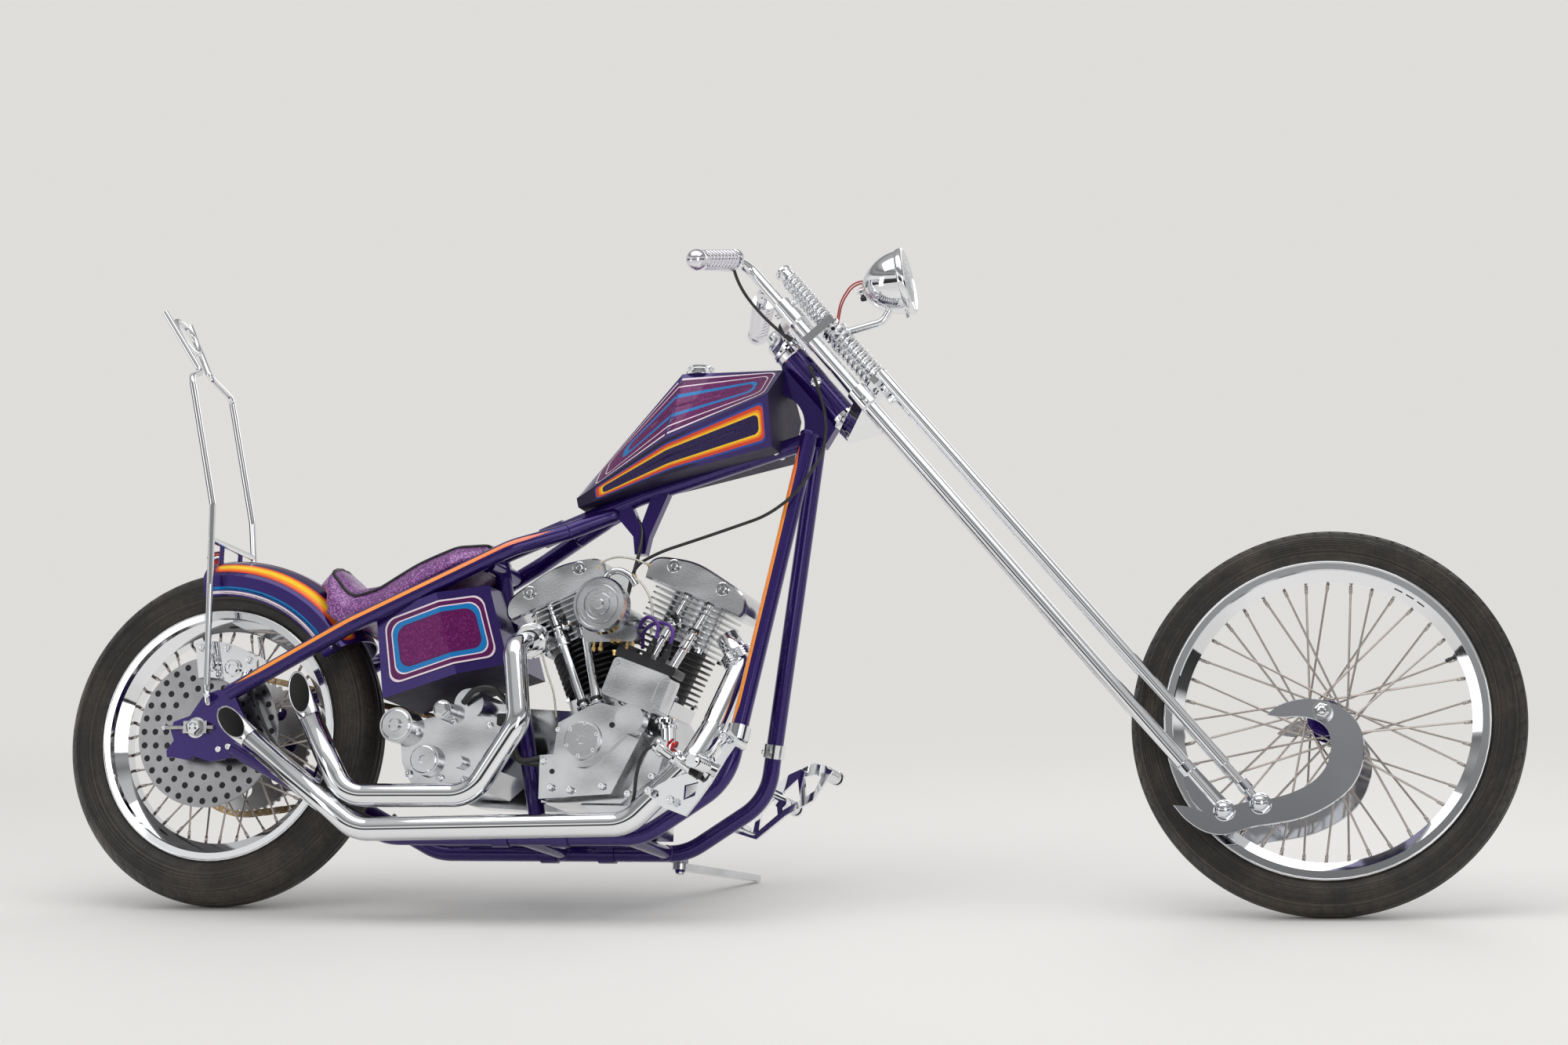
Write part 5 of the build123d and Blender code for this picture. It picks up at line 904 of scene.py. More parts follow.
def paint_frame_lines():
    upper_finish = warm_line("upper_line", 0, -0.62, -0.38)
    lower_finish = warm_line("downtube_line", 2, 0.72, 0.87)
    lines = (  # name, tube, the way it faces on the right, half its angle, where it starts and ends
        ("upper_line", UPPER_RAIL, (0, -0.93, 0.36), 15, 0.04, 0.97, upper_finish),
        ("downtube_line", DOWNTUBE, (-0.60, -0.80, 0), 22, 0.03, 0.62, lower_finish))
    for mirror, label in ((False, "right"), (True, "left")):
        for name, corners, facing, half_deg, from_share, to_share, finish in lines:
            if mirror:
                corners, facing = [mirrored_side(corner) for corner in corners], mirrored_side(facing)
            run = even_steps(rounded(corners, (RAIL_BEND, RAIL_BEND), 8), 9.0)
            low, high = int(len(run) * from_share), int(len(run) * to_share)
            making = Making()
            line_on_tube(making, run[low:high], TUBE_R, facing, half_deg)
            making.finished(f"{name}_{label}", "frame", [finish])


TANK_FRONT_X = 1100.0


def shade_undersides():
    """Painted shade: a plain dark finish on the tanks' faces that look down or at the neck, where shade falls."""
    for name, front in (("fuel_tank", TANK_FRONT_X), ("oil_tank", inf)):
        node = frame["nodes"][name]
        coat(node, frame_purple, painted_tank_shade)
        upright = STANDING.inverted() @ node.matrix_world
        turn = upright.to_3x3()
        for polygon in node.data.polygons:
            normal = (turn @ polygon.normal).normalized()
            at_neck = (upright @ polygon.center).x > front and normal.x > 0.6
            # faces at the neck or looking down take the painted shade
            polygon.material_index = 1 if at_neck or normal.z < -0.5 else 0


def draw_in_rail_ends():
    """The upper rails' ends drawn in and welded to the backbone."""
    making = Making()
    for side in BOTH_SIDES:
        route = flowing([
            (694, side * 34.4, 712.2), (712, side * 27, 721), (734, side * 19, 731), (758, side * 10, 742),
            (784, side * 2, 753)], 4)
        making.tube(route, [16.3] * 4 + [16.4] * 4 + [16.2] * 4 + [15.4] * 4 + [13.0], 18)
    making.finished("rail_ends", "frame", [frame_purple])


shade_undersides()
draw_in_rail_ends()
paint_tank()
paint_oil_tank()
paint_fender()
paint_frame_lines()


# Seat

SEAT_ROWS = (  # x, top z, low z and top half width, from the hump to the nose
    (230.5, 655.4, 548.8, 62), (275.0, 604.0, 523.1, 68), (329.9, 611.9, 540.9, 70),
    (409.5, 652.4, 585.3, 72), (490.2, 687.9, 625.8, 70), (545.2, 692.9, 655.4, 50))
SEAT_NOSE = (556, 0, 686)
HUMP_TOP = ((226, 42, 664), (222, 0, 669), (226, -42, 664))
MOST_PUFF = 0.0055
PIPING_R, PIPING_PROUD = 3.2, 0.0012


def apply_modifiers(piece):
    bpy.context.view_layer.update()
    seen = piece.evaluated_get(bpy.context.evaluated_depsgraph_get())
    mesh = bpy.data.meshes.new_from_object(seen)
    piece.modifiers.clear()
    old = piece.data
    piece.data = mesh
    bpy.data.meshes.remove(old)


def puff_with_air(pad, moments=20):
    """Cloth simulation with air inside the cover and no weight."""
    cloth = pad.modifiers.new("filling", "CLOTH")
    cloth.settings.quality = 5
    cloth.settings.mass = 0.3
    cloth.settings.use_pressure = True
    cloth.settings.uniform_pressure_force = 4.0
    cloth.settings.tension_stiffness = 30
    cloth.settings.compression_stiffness = 30
    cloth.settings.shear_stiffness = 20
    cloth.settings.effector_weights.gravity = 0
    cloth.point_cache.frame_start, cloth.point_cache.frame_end = 1, moments
    for moment in range(1, moments + 1):
        bpy.context.scene.frame_set(moment)
        bpy.context.view_layer.update()
    apply_modifiers(pad)
    bpy.context.scene.frame_set(1)


def pad_the_seat(finish):
    """The solid seat pad, puffed up within a small cap that shrinks to nothing underneath."""
    source = frame["nodes"]["seat"]
    mesh = source.data.copy()
    mesh.transform(source.matrix_world)
    mesh.materials.clear()
    mesh.materials.append(finish)
    pad = bpy.data.objects.new("seat_pad", mesh)
    bpy.context.scene.collection.objects.link(pad)
    bpy.context.view_layer.objects.active = pad
    shaping = pad.modifiers.new("even_mesh", "REMESH")
    shaping.mode, shaping.voxel_size = "VOXEL", 0.006
    rounding = pad.modifiers.new("round_edges", "SMOOTH")
    rounding.factor, rounding.iterations = 0.5, 6
    apply_modifiers(pad)
    started = [v.co.copy() for v in pad.data.vertices]
    puff_with_air(pad)
    normals = [v.normal.copy() for v in pad.data.vertices]
    up = (STANDING.to_3x3() @ Vector(UPWARD)).normalized()
    for vertex, start, normal in zip(pad.data.vertices, started, normals):
        free = max(0.0, normal.dot(up) + 0.25)
        cap = MOST_PUFF * min(1.0, free * 1.4)
        moved = vertex.co - start
        if moved.length > cap:
            vertex.co = start + moved.normalized() * cap if cap > 0 else start
    smooth = pad.modifiers.new("finer", "SUBSURF")
    smooth.levels = smooth.render_levels = 1
    apply_modifiers(pad)
    for polygon in pad.data.polygons:
        polygon.use_smooth = True
    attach(pad, "frame")
    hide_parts("seat")
    return pad


def seat_shoulder(row, side, share=0.86):
    x, top, low, top_half = row
    return Vector((x, side * top_half * 1.02, low + (top - low) * share))


def pipe_the_seat(pad):
    """Piping round the top of the pad and over the hump behind it, laid on the pad's cover."""
    right = [seat_shoulder(row, -1) for row in SEAT_ROWS]
    left = [seat_shoulder(row, 1) for row in SEAT_ROWS]
    rim = flowing(right + [SEAT_NOSE] + left[::-1], 10)
    hump = flowing([left[0], *HUMP_TOP, right[0]], 8)
    making = Making()
    to_upright = STANDING.inverted()
    for line in (rim, hump):
        seated = []
        for point in line:
            hit, near, normal, _ = pad.closest_point_on_mesh(STANDING @ point)
            seated.append(to_upright @ (near + normal * PIPING_PROUD) if hit else point)
        eased = [(a + b * 2 + c) / 4 for a, b, c in zip(seated, seated[1:], seated[2:])]
        making.tube([seated[0]] + eased + [seated[-1]], PIPING_R, 8)
    making.finished("seat_piping", "frame", [piping_black])


def flake_vinyl():
    """Metal-flake vinyl: candy flakes under a soft grain, with creases where it is pulled."""
    material, paint, surface = new_material(
        "metal_flake_vinyl", Metallic=0.25, Coat_Weight=0.6, Coat_Roughness=0.18)
    flake = paint.group(
        FLAKE, Paint=(0.135, 0.028, 0.175, 1), Glint=(0.80, 0.35, 0.85, 1), Scale=520.0, Amount=0.75)
    shade = paint.texture("TexNoise", Scale=11.0, Detail=3.0)
    share = paint.math("MULTIPLY", shade.outputs[0], 0.25)
    paint.give(surface.inputs["Base Color"], paint.mix(share, flake, (0.06, 0.01, 0.10, 1)))
    hazed(paint, surface, 0.30, 0.45, 18.0)
    creases = paint.texture("TexNoise", Scale=26.0, Detail=2.0, Distortion=1.2)
    grain = paint.group(CASTING, Scale=1300.0)
    raised(paint, surface, paint.math("MULTIPLY_ADD", creases.outputs[0], 1.6, grain), 0.35, 0.0015)
    return material


pipe_the_seat(pad_the_seat(flake_vinyl()))


# Wheels

REAR_AXLE, FRONT_AXLE = Vector((0, 0, REAR_AXLE_HEIGHT)), Vector((WHEELBASE, 0, FRONT_AXLE_HEIGHT))
REAR_WHEEL = SimpleNamespace(
    end="rear", axle=REAR_AXLE, placing=STANDING, tyre_r=REAR_AXLE_HEIGHT, tyre_width=120.0,
    rim_r=REAR_AXLE_HEIGHT * 0.7462, rim_width=92.0, rim_depth=37.0, hub_r=46.0, hub_width=96.0, blocks=64)
FRONT_WHEEL = SimpleNamespace(
    end="front", axle=FRONT_AXLE, placing=STEERED, tyre_r=FRONT_AXLE_HEIGHT, tyre_width=80.0,
    rim_r=FRONT_AXLE_HEIGHT * 0.8237, rim_width=62.0, rim_depth=33.0, hub_r=32.0, hub_width=82.0, blocks=76)
SPOKES, SPOKE_LEAN_DEG = 40, 62
SIDE_RING_SHARES = (0.26, 0.38, 0.50, 0.60, 0.70, 0.80, 0.90)  # of the way from rim to tread
RING_RISE = 0.9
TREAD_STEPS, STEPS_PER_BLOCK = 14, 6


def wheel_point(axle, angle_deg, radius, y=0.0):
    """A point at an angle and a radius round an axle."""
    angle = radians(angle_deg)
    return axle + Vector((radius * cos(angle), y, radius * sin(angle)))


def tyre_section(wheel, shoulder=radians(52)):
    """Rows of radius, y and whether tread lies there, from one bead round to the other."""
    crown = wheel.tyre_width / 2
    crown_r = wheel.tyre_r - crown
    bead_y = wheel.rim_width / 2 - 5.3
    start = Vector((wheel.rim_r + 1.0, bead_y + 1.0))
    section = [(wheel.rim_r - 2.0, bead_y, False), (start.x, start.y, False)]
    middle = Vector(((wheel.rim_r + wheel.tyre_r) / 2 - 5.0, crown - 0.6))
    top = Vector((crown_r + crown * cos(shoulder), crown * sin(shoulder)))
    for ring in SIDE_RING_SHARES:
        for offset, rise in ((-0.028, 0.0), (-0.012, RING_RISE), (0.012, RING_RISE), (0.028, 0.0)):
            share = ring + offset
            point = start * (1 - share) ** 2 + middle * 2 * share * (1 - share) + top * share * share
            section.append((point.x, point.y + rise + 6 * share * (1 - share), False))
    for step in range(TREAD_STEPS + 1):
        angle = shoulder * (1 - step / TREAD_STEPS)
        section.append((crown_r + crown * cos(angle), crown * sin(angle), True))
    return section + [(radius, -y, tread) for radius, y, tread in reversed(section[:-1])]


def groove_depth(share, phase, left):
    """Depth of the tread's grooves at a share of the way from crown to side."""
    across = (phase + int(share * 3.0)) % STEPS_PER_BLOCK == 0
    if share <= 0.12 and across and left:
        return 1.4
    if 0.12 < share < 0.19 or 0.36 < share < 0.43:
        return 2.2
    if 0.44 < share < 0.80 and across:
        return 2.6
    return 0.0


def tread_tyre(wheel):
    """Round-section tyre with ribs round its crown and blocks on its shoulders."""
    section = tyre_section(wheel)
    turns = wheel.blocks * STEPS_PER_BLOCK
    vertices = []
    for turn in range(turns):
        phase = turn % STEPS_PER_BLOCK
        angle = 360.0 * (turn + (0.18 if phase else 0.0)) / turns
        for radius, y, tread in section:
            depth = groove_depth(abs(y) / (wheel.tyre_width / 2), phase, y > 0) if tread else 0.0
            vertices.append(wheel_point(wheel.axle, angle, radius - depth, y))
    making = Making()
    making.put(vertices, faces_between(turns, len(section), True))
    node = f"{wheel.end}_tyre"
    piece = making.finished(f"{wheel.end}_tread", f"{wheel.end}_wheel", [rubber(wheel)])
    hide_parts(node)
    edges = piece.modifiers.new("sharp_blocks", "EDGE_SPLIT")
    edges.split_angle = radians(38)


def lip_the_rim(wheel):
    """Rolled edges of a rim, and the step inside them."""
    making = Making()
    for side in BOTH_SIDES:
        for inside, inward, bead_r in ((1.6, 1.4, 2.5), (12.5, 4.0, 1.5)):
            radius, y = wheel.rim_r - inside, wheel.rim_width / 2 - inward
            round_way = [wheel_point(wheel.axle, 5 * step, radius, side * y) for step in range(73)]
            making.tube(round_way, bead_r, 8, 0, False)
    making.finished(f"{wheel.end}_rim_lips", f"{wheel.end}_wheel", [chrome])


def rubber(wheel):
    """Weathered tyre rubber: brown dust in rings about the hub, and a fine moulded grain."""
    material, paint, surface = new_material(f"{wheel.end}_rubber")
    hub = wheel.placing @ wheel.axle
    axis = (wheel.placing.to_3x3() @ Vector(TO_LEFT)).normalized()
    place = paint.add("TexCoord").outputs["Object"]
    radius = paint.vector(
        "LENGTH", paint.vector("CROSS_PRODUCT", paint.vector("SUBTRACT", place, hub), axis))
    rings = paint.add("TexNoise", noise_dimensions="1D", W=radius, Scale=300.0, Detail=5.0, Roughness=0.7)
    dust = paint.texture("TexNoise", Scale=9.0, Detail=7.0, Roughness=0.65)
    fine = paint.texture("TexNoise", Scale=160.0, Detail=3.0)
    shade = paint.math("MULTIPLY", dust.outputs[0], 0.40)
    shade = paint.math("MULTIPLY_ADD", fine.outputs[0], 0.15, shade)
    shade = paint.math("MULTIPLY_ADD", rings.outputs[0], 0.45, shade)
    paint.give(surface.inputs["Base Color"], paint.ramp(
        shade, (0.40, (0.009, 0.008, 0.007)), (0.50, (0.020, 0.017, 0.014)), (0.61, (0.062, 0.046, 0.032))))
    hazed(paint, surface, 0.36, 0.62, 16.0)
    raised(paint, surface, paint.group(CASTING, Scale=700.0), 0.3, 0.0012)
    return material


def dress_wheel(wheel):
    """Spoke nipples at the rim, spoke heads at the hub, a valve and balance weights."""
    making = Making()
    axle, flange_y, well_r = wheel.axle, wheel.hub_width / 2 - 7.5, wheel.rim_r - wheel.rim_depth
    for index in range(SPOKES):
        side = 1 if index % 2 else -1
        pull = 1 if index % 4 < 2 else -1
        angle = 360.0 * index / SPOKES
        hub_end = wheel_point(
            axle, angle - pull * SPOKE_LEAN_DEG, wheel.hub_r + 2.3, side * (flange_y + pull * 3.0))
        rim_end = wheel_point(axle, angle, well_r - 0.6, side * (4.0 + pull * 1.2))
        run = (hub_end - rim_end).normalized()
        making.tube([rim_end, rim_end + run * 14, rim_end + run * 15.5], [3.1, 3.1, 2.2], 8)
        making.turned([(-1.0, 3.4), (1.0, 3.4), (2.2, 1.6)], hub_end, (0, side * pull, 0), 8)
    valve_foot = wheel_point(axle, 28, well_r)
    making.turned([(0, 5.0), (3, 5.0), (3.2, 2.8), (11, 2.8), (11.2, 3.6), (19, 3.6), (20, 2.4)],
                  valve_foot, axle - valve_foot, 12, 1)
    for angle in (52, 57, 62):
        place = wheel_point(axle, angle, wheel.rim_r - 18.0, -14.0)
        along = wheel_point(Vector(), angle + 90, 1.0)
        making.block(place, along, TO_LEFT, (17, 6, 7), 1.0, 1)
    making.finished(f"{wheel.end}_wheel_nipples", f"{wheel.end}_wheel", [spoke_chrome, black_plastic])


for fit in (tread_tyre, dress_wheel, lip_the_rim):
    for wheel in (REAR_WHEEL, FRONT_WHEEL):
        fit(wheel)

LEG_Y = 70.0
ROCKER_LENGTH, ROCKER_FACE, ROCKER_THICKNESS = 240.0, 83.2, 7.8
ROCKER_PINS = ((1131, 48), (1163, 103))  # down the fork and ahead of its axis
ROCKER_SHARES = (  # of the rocker's length, about the front axle
    (-0.40, -0.015), (-0.31, 0.055), (-0.17, 0.095), (-0.01, 0.09), (0.14, 0.035), (0.25, -0.08),
    (0.30, -0.24), (0.275, -0.42), (0.19, -0.57), (0.04, -0.69), (-0.14, -0.775), (-0.32, -0.815),
    (-0.50, -0.845), (-0.68, -0.90), (-0.83, -0.885), (-0.97, -0.80), (-1.07, -0.69), (-0.97, -0.70),
    (-0.86, -0.735), (-0.77, -0.735), (-0.67, -0.70), (-0.57, -0.67), (-0.46, -0.655), (-0.34, -0.635),
    (-0.20, -0.59), (-0.06, -0.51), (0.035, -0.39), (0.065, -0.25), (0.035, -0.12), (-0.05, -0.05),
    (-0.18, -0.025), (-0.30, -0.03))
TAIL_CORNER = 16
FOOT_OUTLINE = (  # down the fork and ahead of its axis
    (1034, 35), (1034, 61), (1060, 62), (1090, 63), (1118, 64), (1142, 58), (1148, 46), (1140, 34),
    (1122, 24), (1100, 17), (1078, 16), (1056, 22))


def cut_rockers():
    """The crescent rocker plates with smooth edges, the legs' feet, and six-sided domed nuts."""
    making = Making()
    corners = [FRONT_AXLE + Vector((x, 0, z)) * ROCKER_LENGTH for x, z in ROCKER_SHARES]
    upper = flowing(corners[:TAIL_CORNER + 1], 5)
    lower = flowing(corners[TAIL_CORNER:] + corners[:1], 5)
    edge = flat(upper[:-1] + lower[:-1])
    foot = flat([fork_point(down, ahead) for down, ahead in FOOT_OUTLINE])
    for side in BOTH_SIDES:
        y_low, y_high = sorted((side * ROCKER_FACE, side * (ROCKER_FACE + ROCKER_THICKNESS)))
        making.slab(edge, y_low, y_high, 1.2)
        outward = (0, side, 0)
        for down, ahead in ROCKER_PINS:
            spot = fork_point(down, ahead)
            making.turned([(70, 7), (83.4, 7)], spot, outward, 16)
            making.turned([(90.6, 19), (92, 19), (92.6, 17.5)], spot, outward, 24)
            making.turned([(92, 16.5), (100, 16.5), (101.5, 14)], spot, outward, 6)
            making.turned(
                [(101, 14), (104, 13.2), (107, 11), (109.5, 7), (110.4, 2)], spot, outward, 24, 0, True)
        making.slab(foot, side * LEG_Y - 5, side * LEG_Y + 5, 1.0)
        # ferrules above the ends of both legs
        for down, ahead, radius in ((1030, 48, 14.4), (1120, 103, 12.0)):
            making.turned(
                [(-12, radius - 1), (-11, radius), (6, radius), (7, radius - 1)],
                fork_point(down, ahead, side * LEG_Y), DOWN_THE_FORK, 24)
    piece = making.finished("rocker_plates", "fork", [rocker_chrome])
    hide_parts("rockers")


CHAIN_Y, CHAIN_PITCH, CHAIN_ABOVE_SPROCKET = 98.0, 15.875, 8.4
REAR_SPROCKET_R, DRIVE_SPROCKET_R = 127.0, 44.0
DRIVE_SPROCKET_AT = Vector((NECK_X * 0.42, 0, NECK_Z * 0.31))


def chain_pins():
    """Places of the chain's pins, round both sprockets and along the straight runs."""
    rear_r, drive_r = REAR_SPROCKET_R + CHAIN_ABOVE_SPROCKET, DRIVE_SPROCKET_R + CHAIN_ABOVE_SPROCKET
    run = DRIVE_SPROCKET_AT - REAR_AXLE
    heading = atan2(run.z, run.x)
    flare = acos((rear_r - drive_r) / run.length)
    path = []
    for centre, radius, start, end in (
            (REAR_AXLE, rear_r, heading + flare, heading - flare + 2 * pi),
            (DRIVE_SPROCKET_AT, drive_r, heading - flare, heading + flare)):
        for step in range(91):
            angle = start + (end - start) * step / 90
            path.append(centre + Vector((cos(angle), 0, sin(angle))) * radius)
    path.append(path[0])
    lengths = [0.0]
    for first, second in zip(path, path[1:]):
        lengths.append(lengths[-1] + (second - first).length)
    links = 2 * round(lengths[-1] / CHAIN_PITCH / 2)
    pins = []
    at = 0
    for index in range(links):
        target = lengths[-1] * index / links
        while lengths[at + 1] < target:
            at += 1
        share = (target - lengths[at]) / (lengths[at + 1] - lengths[at])
        pins.append(path[at].lerp(path[at + 1], share))
    return pins


def link_the_chain():
    """Roller chain: link plates in pairs, side by side and lapped, with a roller on every pin."""
    making = Making()
    pins = chain_pins()
    plate_r = 5.6
    for index, (pin, after) in enumerate(zip(pins, pins[1:] + pins[:1])):
        way = (after - pin).normalized()
        up = Vector((-way.z, 0, way.x))
        plate = [
            spot + way * (end * plate_r * cos(radians(angle))) - up * (end * plate_r * sin(radians(angle)))
            for spot, end in ((pin, -1), (after, 1)) for angle in (90, 45, 0, -45, -90)]
        for side in BOTH_SIDES:
            y = CHAIN_Y + side * (7.4 if index % 2 else 5.4)
            making.slab(flat(plate), y - 0.8, y + 0.8)
        for half_length, radius, sides in ((9.4, 2.4, 8), (4.4, 4.6, 10)):
            making.turned([(-half_length, radius), (half_length, radius)], pin + Vector((0, CHAIN_Y, 0)),
                          TO_LEFT, sides, 1)
    piece = making.finished("chain_links", "frame", [bronze, steel])
    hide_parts("drive_chain")


DISC_Y, DISC_R = -86.5, 146.0
DISC_HOLES = ((0.60, 20), (0.76, 26), (0.92, 32))  # share of the disc's radius, and how many
SPROCKET_TEETH = 51


def dress_axles():
    """Disc and sprocket bolts, dark linings in the disc's holes that paint the shade inside them, sprocket teeth,
    and rocker caps.
    """
    bolts, edges, teeth, caps = Making(), Making(), Making(), Making()
    for index in range(5):
        angle = 72 * index + 20
        bolts.bolt(wheel_point(REAR_AXLE, angle, 54, DISC_Y), TO_RIGHT, 6.0, 5.0)
        bolts.bolt(wheel_point(REAR_AXLE, angle, 54, 102), TO_LEFT, 6.5, 5.0)
    bolts.turned([(0, 30), (4, 30), (5, 27), (5, 20), (7, 19), (7, 12)],
                 REAR_AXLE + Vector((0, DISC_Y, 0)), TO_RIGHT, 32)
    for share, count in DISC_HOLES:
        for index in range(count):
            spot = wheel_point(REAR_AXLE, 360 * index / count, DISC_R * share, DISC_Y)
            # dark lining in each hole: painted shade
            edges.turned([(-4.8, 4.3), (0.1, 4.3), (0.5, 5.0), (0.5, 5.9), (0, 6.3)], spot, TO_RIGHT, 16)
    for index in range(SPROCKET_TEETH):
        middle = 360.0 * index / SPROCKET_TEETH
        tooth = [
            wheel_point(REAR_AXLE, middle + spread, radius)
            for spread, radius in ((-2.6, 126), (-1.1, 131.5), (1.1, 131.5), (2.6, 126))]
        teeth.slab(flat(tooth), CHAIN_Y - 2.2, CHAIN_Y + 2.2)
    for side in BOTH_SIDES:
        caps.nut(FRONT_AXLE + Vector((0, side * 106, 0)), (0, side, 0), 13, 5)
    bolts.finished("rear_hub_bolts", "rear_wheel", [chrome])
    edges.finished("disc_hole_shade_linings", "rear_wheel", [hole_shade_steel])
    teeth.finished("sprocket_teeth", "rear_wheel", [steel])
    caps.finished("rocker_caps", "fork", [chrome])


cut_rockers()
link_the_chain()
dress_axles()


# Engine

CRANK = Vector((830.0, 0, 285.0))
CYLINDER_TILT = radians(23)
BARREL_TOP, HEAD_TOP = 232.0, 318.0
HEAD_BOLT_ALONG, HEAD_BOLT_Y, HEAD_BOLT_UP = 62.0, 66.0, 228.0
BASE_NUT_ALONG, BASE_NUT_Y, BASE_NUT_UP = 56.0, 58.0, 130.0
BOX_PLUG_Y = 70.5
SPARK_PLUG_ALONG, SPARK_PLUG_Y, SPARK_PLUG_UP = 8.0, 76.0, 262.0
ENGINE_MEASURE = 118.0  # radius of the flywheel chamber, the engine's own measure
COVER_PLACE = CRANK + Vector((-0.41, 0, 0.12)) * ENGINE_MEASURE
COVER_NOSE_Y, COVER_FACE_Y, COVER_RIM_Y = -133.0, -124.0, -119.2
CASE_FACE_Y, GEARBOX_FACE_Y, PRIMARY_FACE_Y, PRIMARY_DOME_Y = -85.0, -115.0, 163.0, 174.0
CLUTCH_X, CLUTCH_Z = 491.4, 306.0
PRIMARY_SLOPE = 0.062  # fall of the primary cover from clutch to crank


def in_cylinder(side, along, y, up):
    """A point of one cylinder: side -1 is the rear one."""
    across, rise = cylinder_ways(side)
    return CRANK + across * along + rise * up + Vector((0, y, 0))


def cylinder_ways(side):
    """The way forward across a cylinder, and the way up it."""
    return (
        Vector((cos(CYLINDER_TILT), 0, -side * sin(CYLINDER_TILT))),
        Vector((side * sin(CYLINDER_TILT), 0, cos(CYLINDER_TILT))))


def coat_cylinders():
    """Black barrels under polished heads, on the same metal parts."""
    for side, name in ((-1, "rear_cylinder"), (1, "front_cylinder")):
        node = frame["nodes"][name]
        coat(node, barrel_black, cast_alloy)
        across, rise = cylinder_ways(side)
        to_upright = STANDING.inverted() @ node.matrix_world
        for polygon in node.data.polygons:
            height = (to_upright @ polygon.center - CRANK).dot(rise)
            polygon.material_index = 1 if height > BARREL_TOP else 0


def dress_cylinders():
    """Head bolts, rocker box plugs, spark plugs with their boots, and barrel nuts."""
    bright, boots = Making(), Making()
    for end in (-1, 1):
        across, rise = cylinder_ways(end)
        for along in (-HEAD_BOLT_ALONG, HEAD_BOLT_ALONG):
            for y in (-HEAD_BOLT_Y, HEAD_BOLT_Y):
                bright.bolt(in_cylinder(end, along, y, HEAD_BOLT_UP), rise, 7, 9)
        for along, above in ((-50, 40), (57, 36)):
            for side in BOTH_SIDES:
                spot = in_cylinder(end, end * along, side * BOX_PLUG_Y, HEAD_TOP + above)
                bright.turned([(0, 13), (1.5, 13), (2.0, 11.5)], spot, (0, side, 0), 24)
                bright.bolt(spot + Vector((0, side * 1.5, 0)), (0, side, 0), 7.5, 5)
        for side in BOTH_SIDES:
            plug = in_cylinder(end, end * SPARK_PLUG_ALONG, side * SPARK_PLUG_Y, SPARK_PLUG_UP)
            bright.nut(plug, (0, side, 0.35), 10, 8)
            boots.tube([plug + Vector((0, side * out, up)) for out, up in ((10, 4), (30, 12), (36, 15))],
                       [6.0, 6.5, 5.0], 12)
        for along in (-BASE_NUT_ALONG, BASE_NUT_ALONG):
            for y in (-BASE_NUT_Y, BASE_NUT_Y):
                bright.nut(in_cylinder(end, along, y, BASE_NUT_UP), rise, 8, 7)
    bright.finished("head_bolts", "frame", [chrome])
    boots.finished("plug_boots", "frame", [black_plastic])


PUSHROD_FOOT_Y, PUSHROD_HEAD_Y = -104.0, -58.0
PUSHROD_LINES = (  # foot and head in x and z
    ((775, 360), (675, 570)), ((799, 366), (733, 593)), ((851, 366), (953, 586)),
    ((888, 348), (995, 562)))


def dress_pushrods():
    """Spring caps, clips and rubber seals on the pushrod tubes."""
    bright, dark = Making(), Making()
    for (foot_x, foot_z), (head_x, head_z) in PUSHROD_LINES:
        foot, head = Vector((foot_x, PUSHROD_FOOT_Y, foot_z)), Vector((head_x, PUSHROD_HEAD_Y, head_z))
        length = (head - foot).length
        run = (head - foot).normalized()
        for share, radius, high in ((0.585, 11.8, 4), (0.735, 11.4, 4), (0.66, 12.0, 3)):
            bright.turned([(0, radius - 1), (1, radius), (high, radius), (high + 1, radius - 1)],
                          foot + run * length * share, run, 20)
        dark.turned([(0, 11), (3, 12), (6, 11)], foot + run * 12, run, 20)
        dark.turned([(0, 8.2), (2.5, 9), (5, 8.2)], foot + run * length * 0.755, run, 20)
        bright.turned([(0, 14), (5, 14), (7, 11), (10, 10)], foot + run * 1.0, run, 20)
    bright.finished("pushrod_clips", "frame", [chrome])
    dark.finished("pushrod_seals", "frame", [black_plastic])


def dress_cam_cover():
    """Screws round the cam cover and on its nose, the nose's disc, and two plugs."""
    screws, disc, plugs = Making(), Making(), Making()
    for x, z in circle_points(COVER_PLACE.x, COVER_PLACE.z, 30, 6, 20):
        screws.bolt((x, COVER_NOSE_Y, z), TO_RIGHT, 4.0, 2.5)
    for x, z in ((722, 213), (760, 208), (822, 215)):
        screws.bolt((x, COVER_FACE_Y, z), TO_RIGHT, 6.5, 5.0)
    for x, z in ((704, 262), (868, 345), (889, 315), (731, 320)):
        screws.bolt((x, COVER_RIM_Y, z), TO_RIGHT, 6.0, 4.5)
    disc.turned([(0, 33.5), (0.6, 33.5), (1.2, 32.0), (1.2, 8), (0.8, 7)],
                (COVER_PLACE.x, COVER_NOSE_Y, COVER_PLACE.z), TO_RIGHT, 40)
    plugs.turned([(0, 5.5), (1.0, 5.5)], (838, -128, 327), TO_RIGHT, 16)
    plugs.turned([(0, 5.0), (1.0, 5.0)], (722, COVER_RIM_Y, 243), TO_RIGHT, 16)
    screws.finished("cam_cover_screws", "frame", [chrome])
    disc.finished("cam_cover_disc", "frame", [cast_alloy])
    plugs.finished("cam_cover_plugs", "frame", [black_plastic])


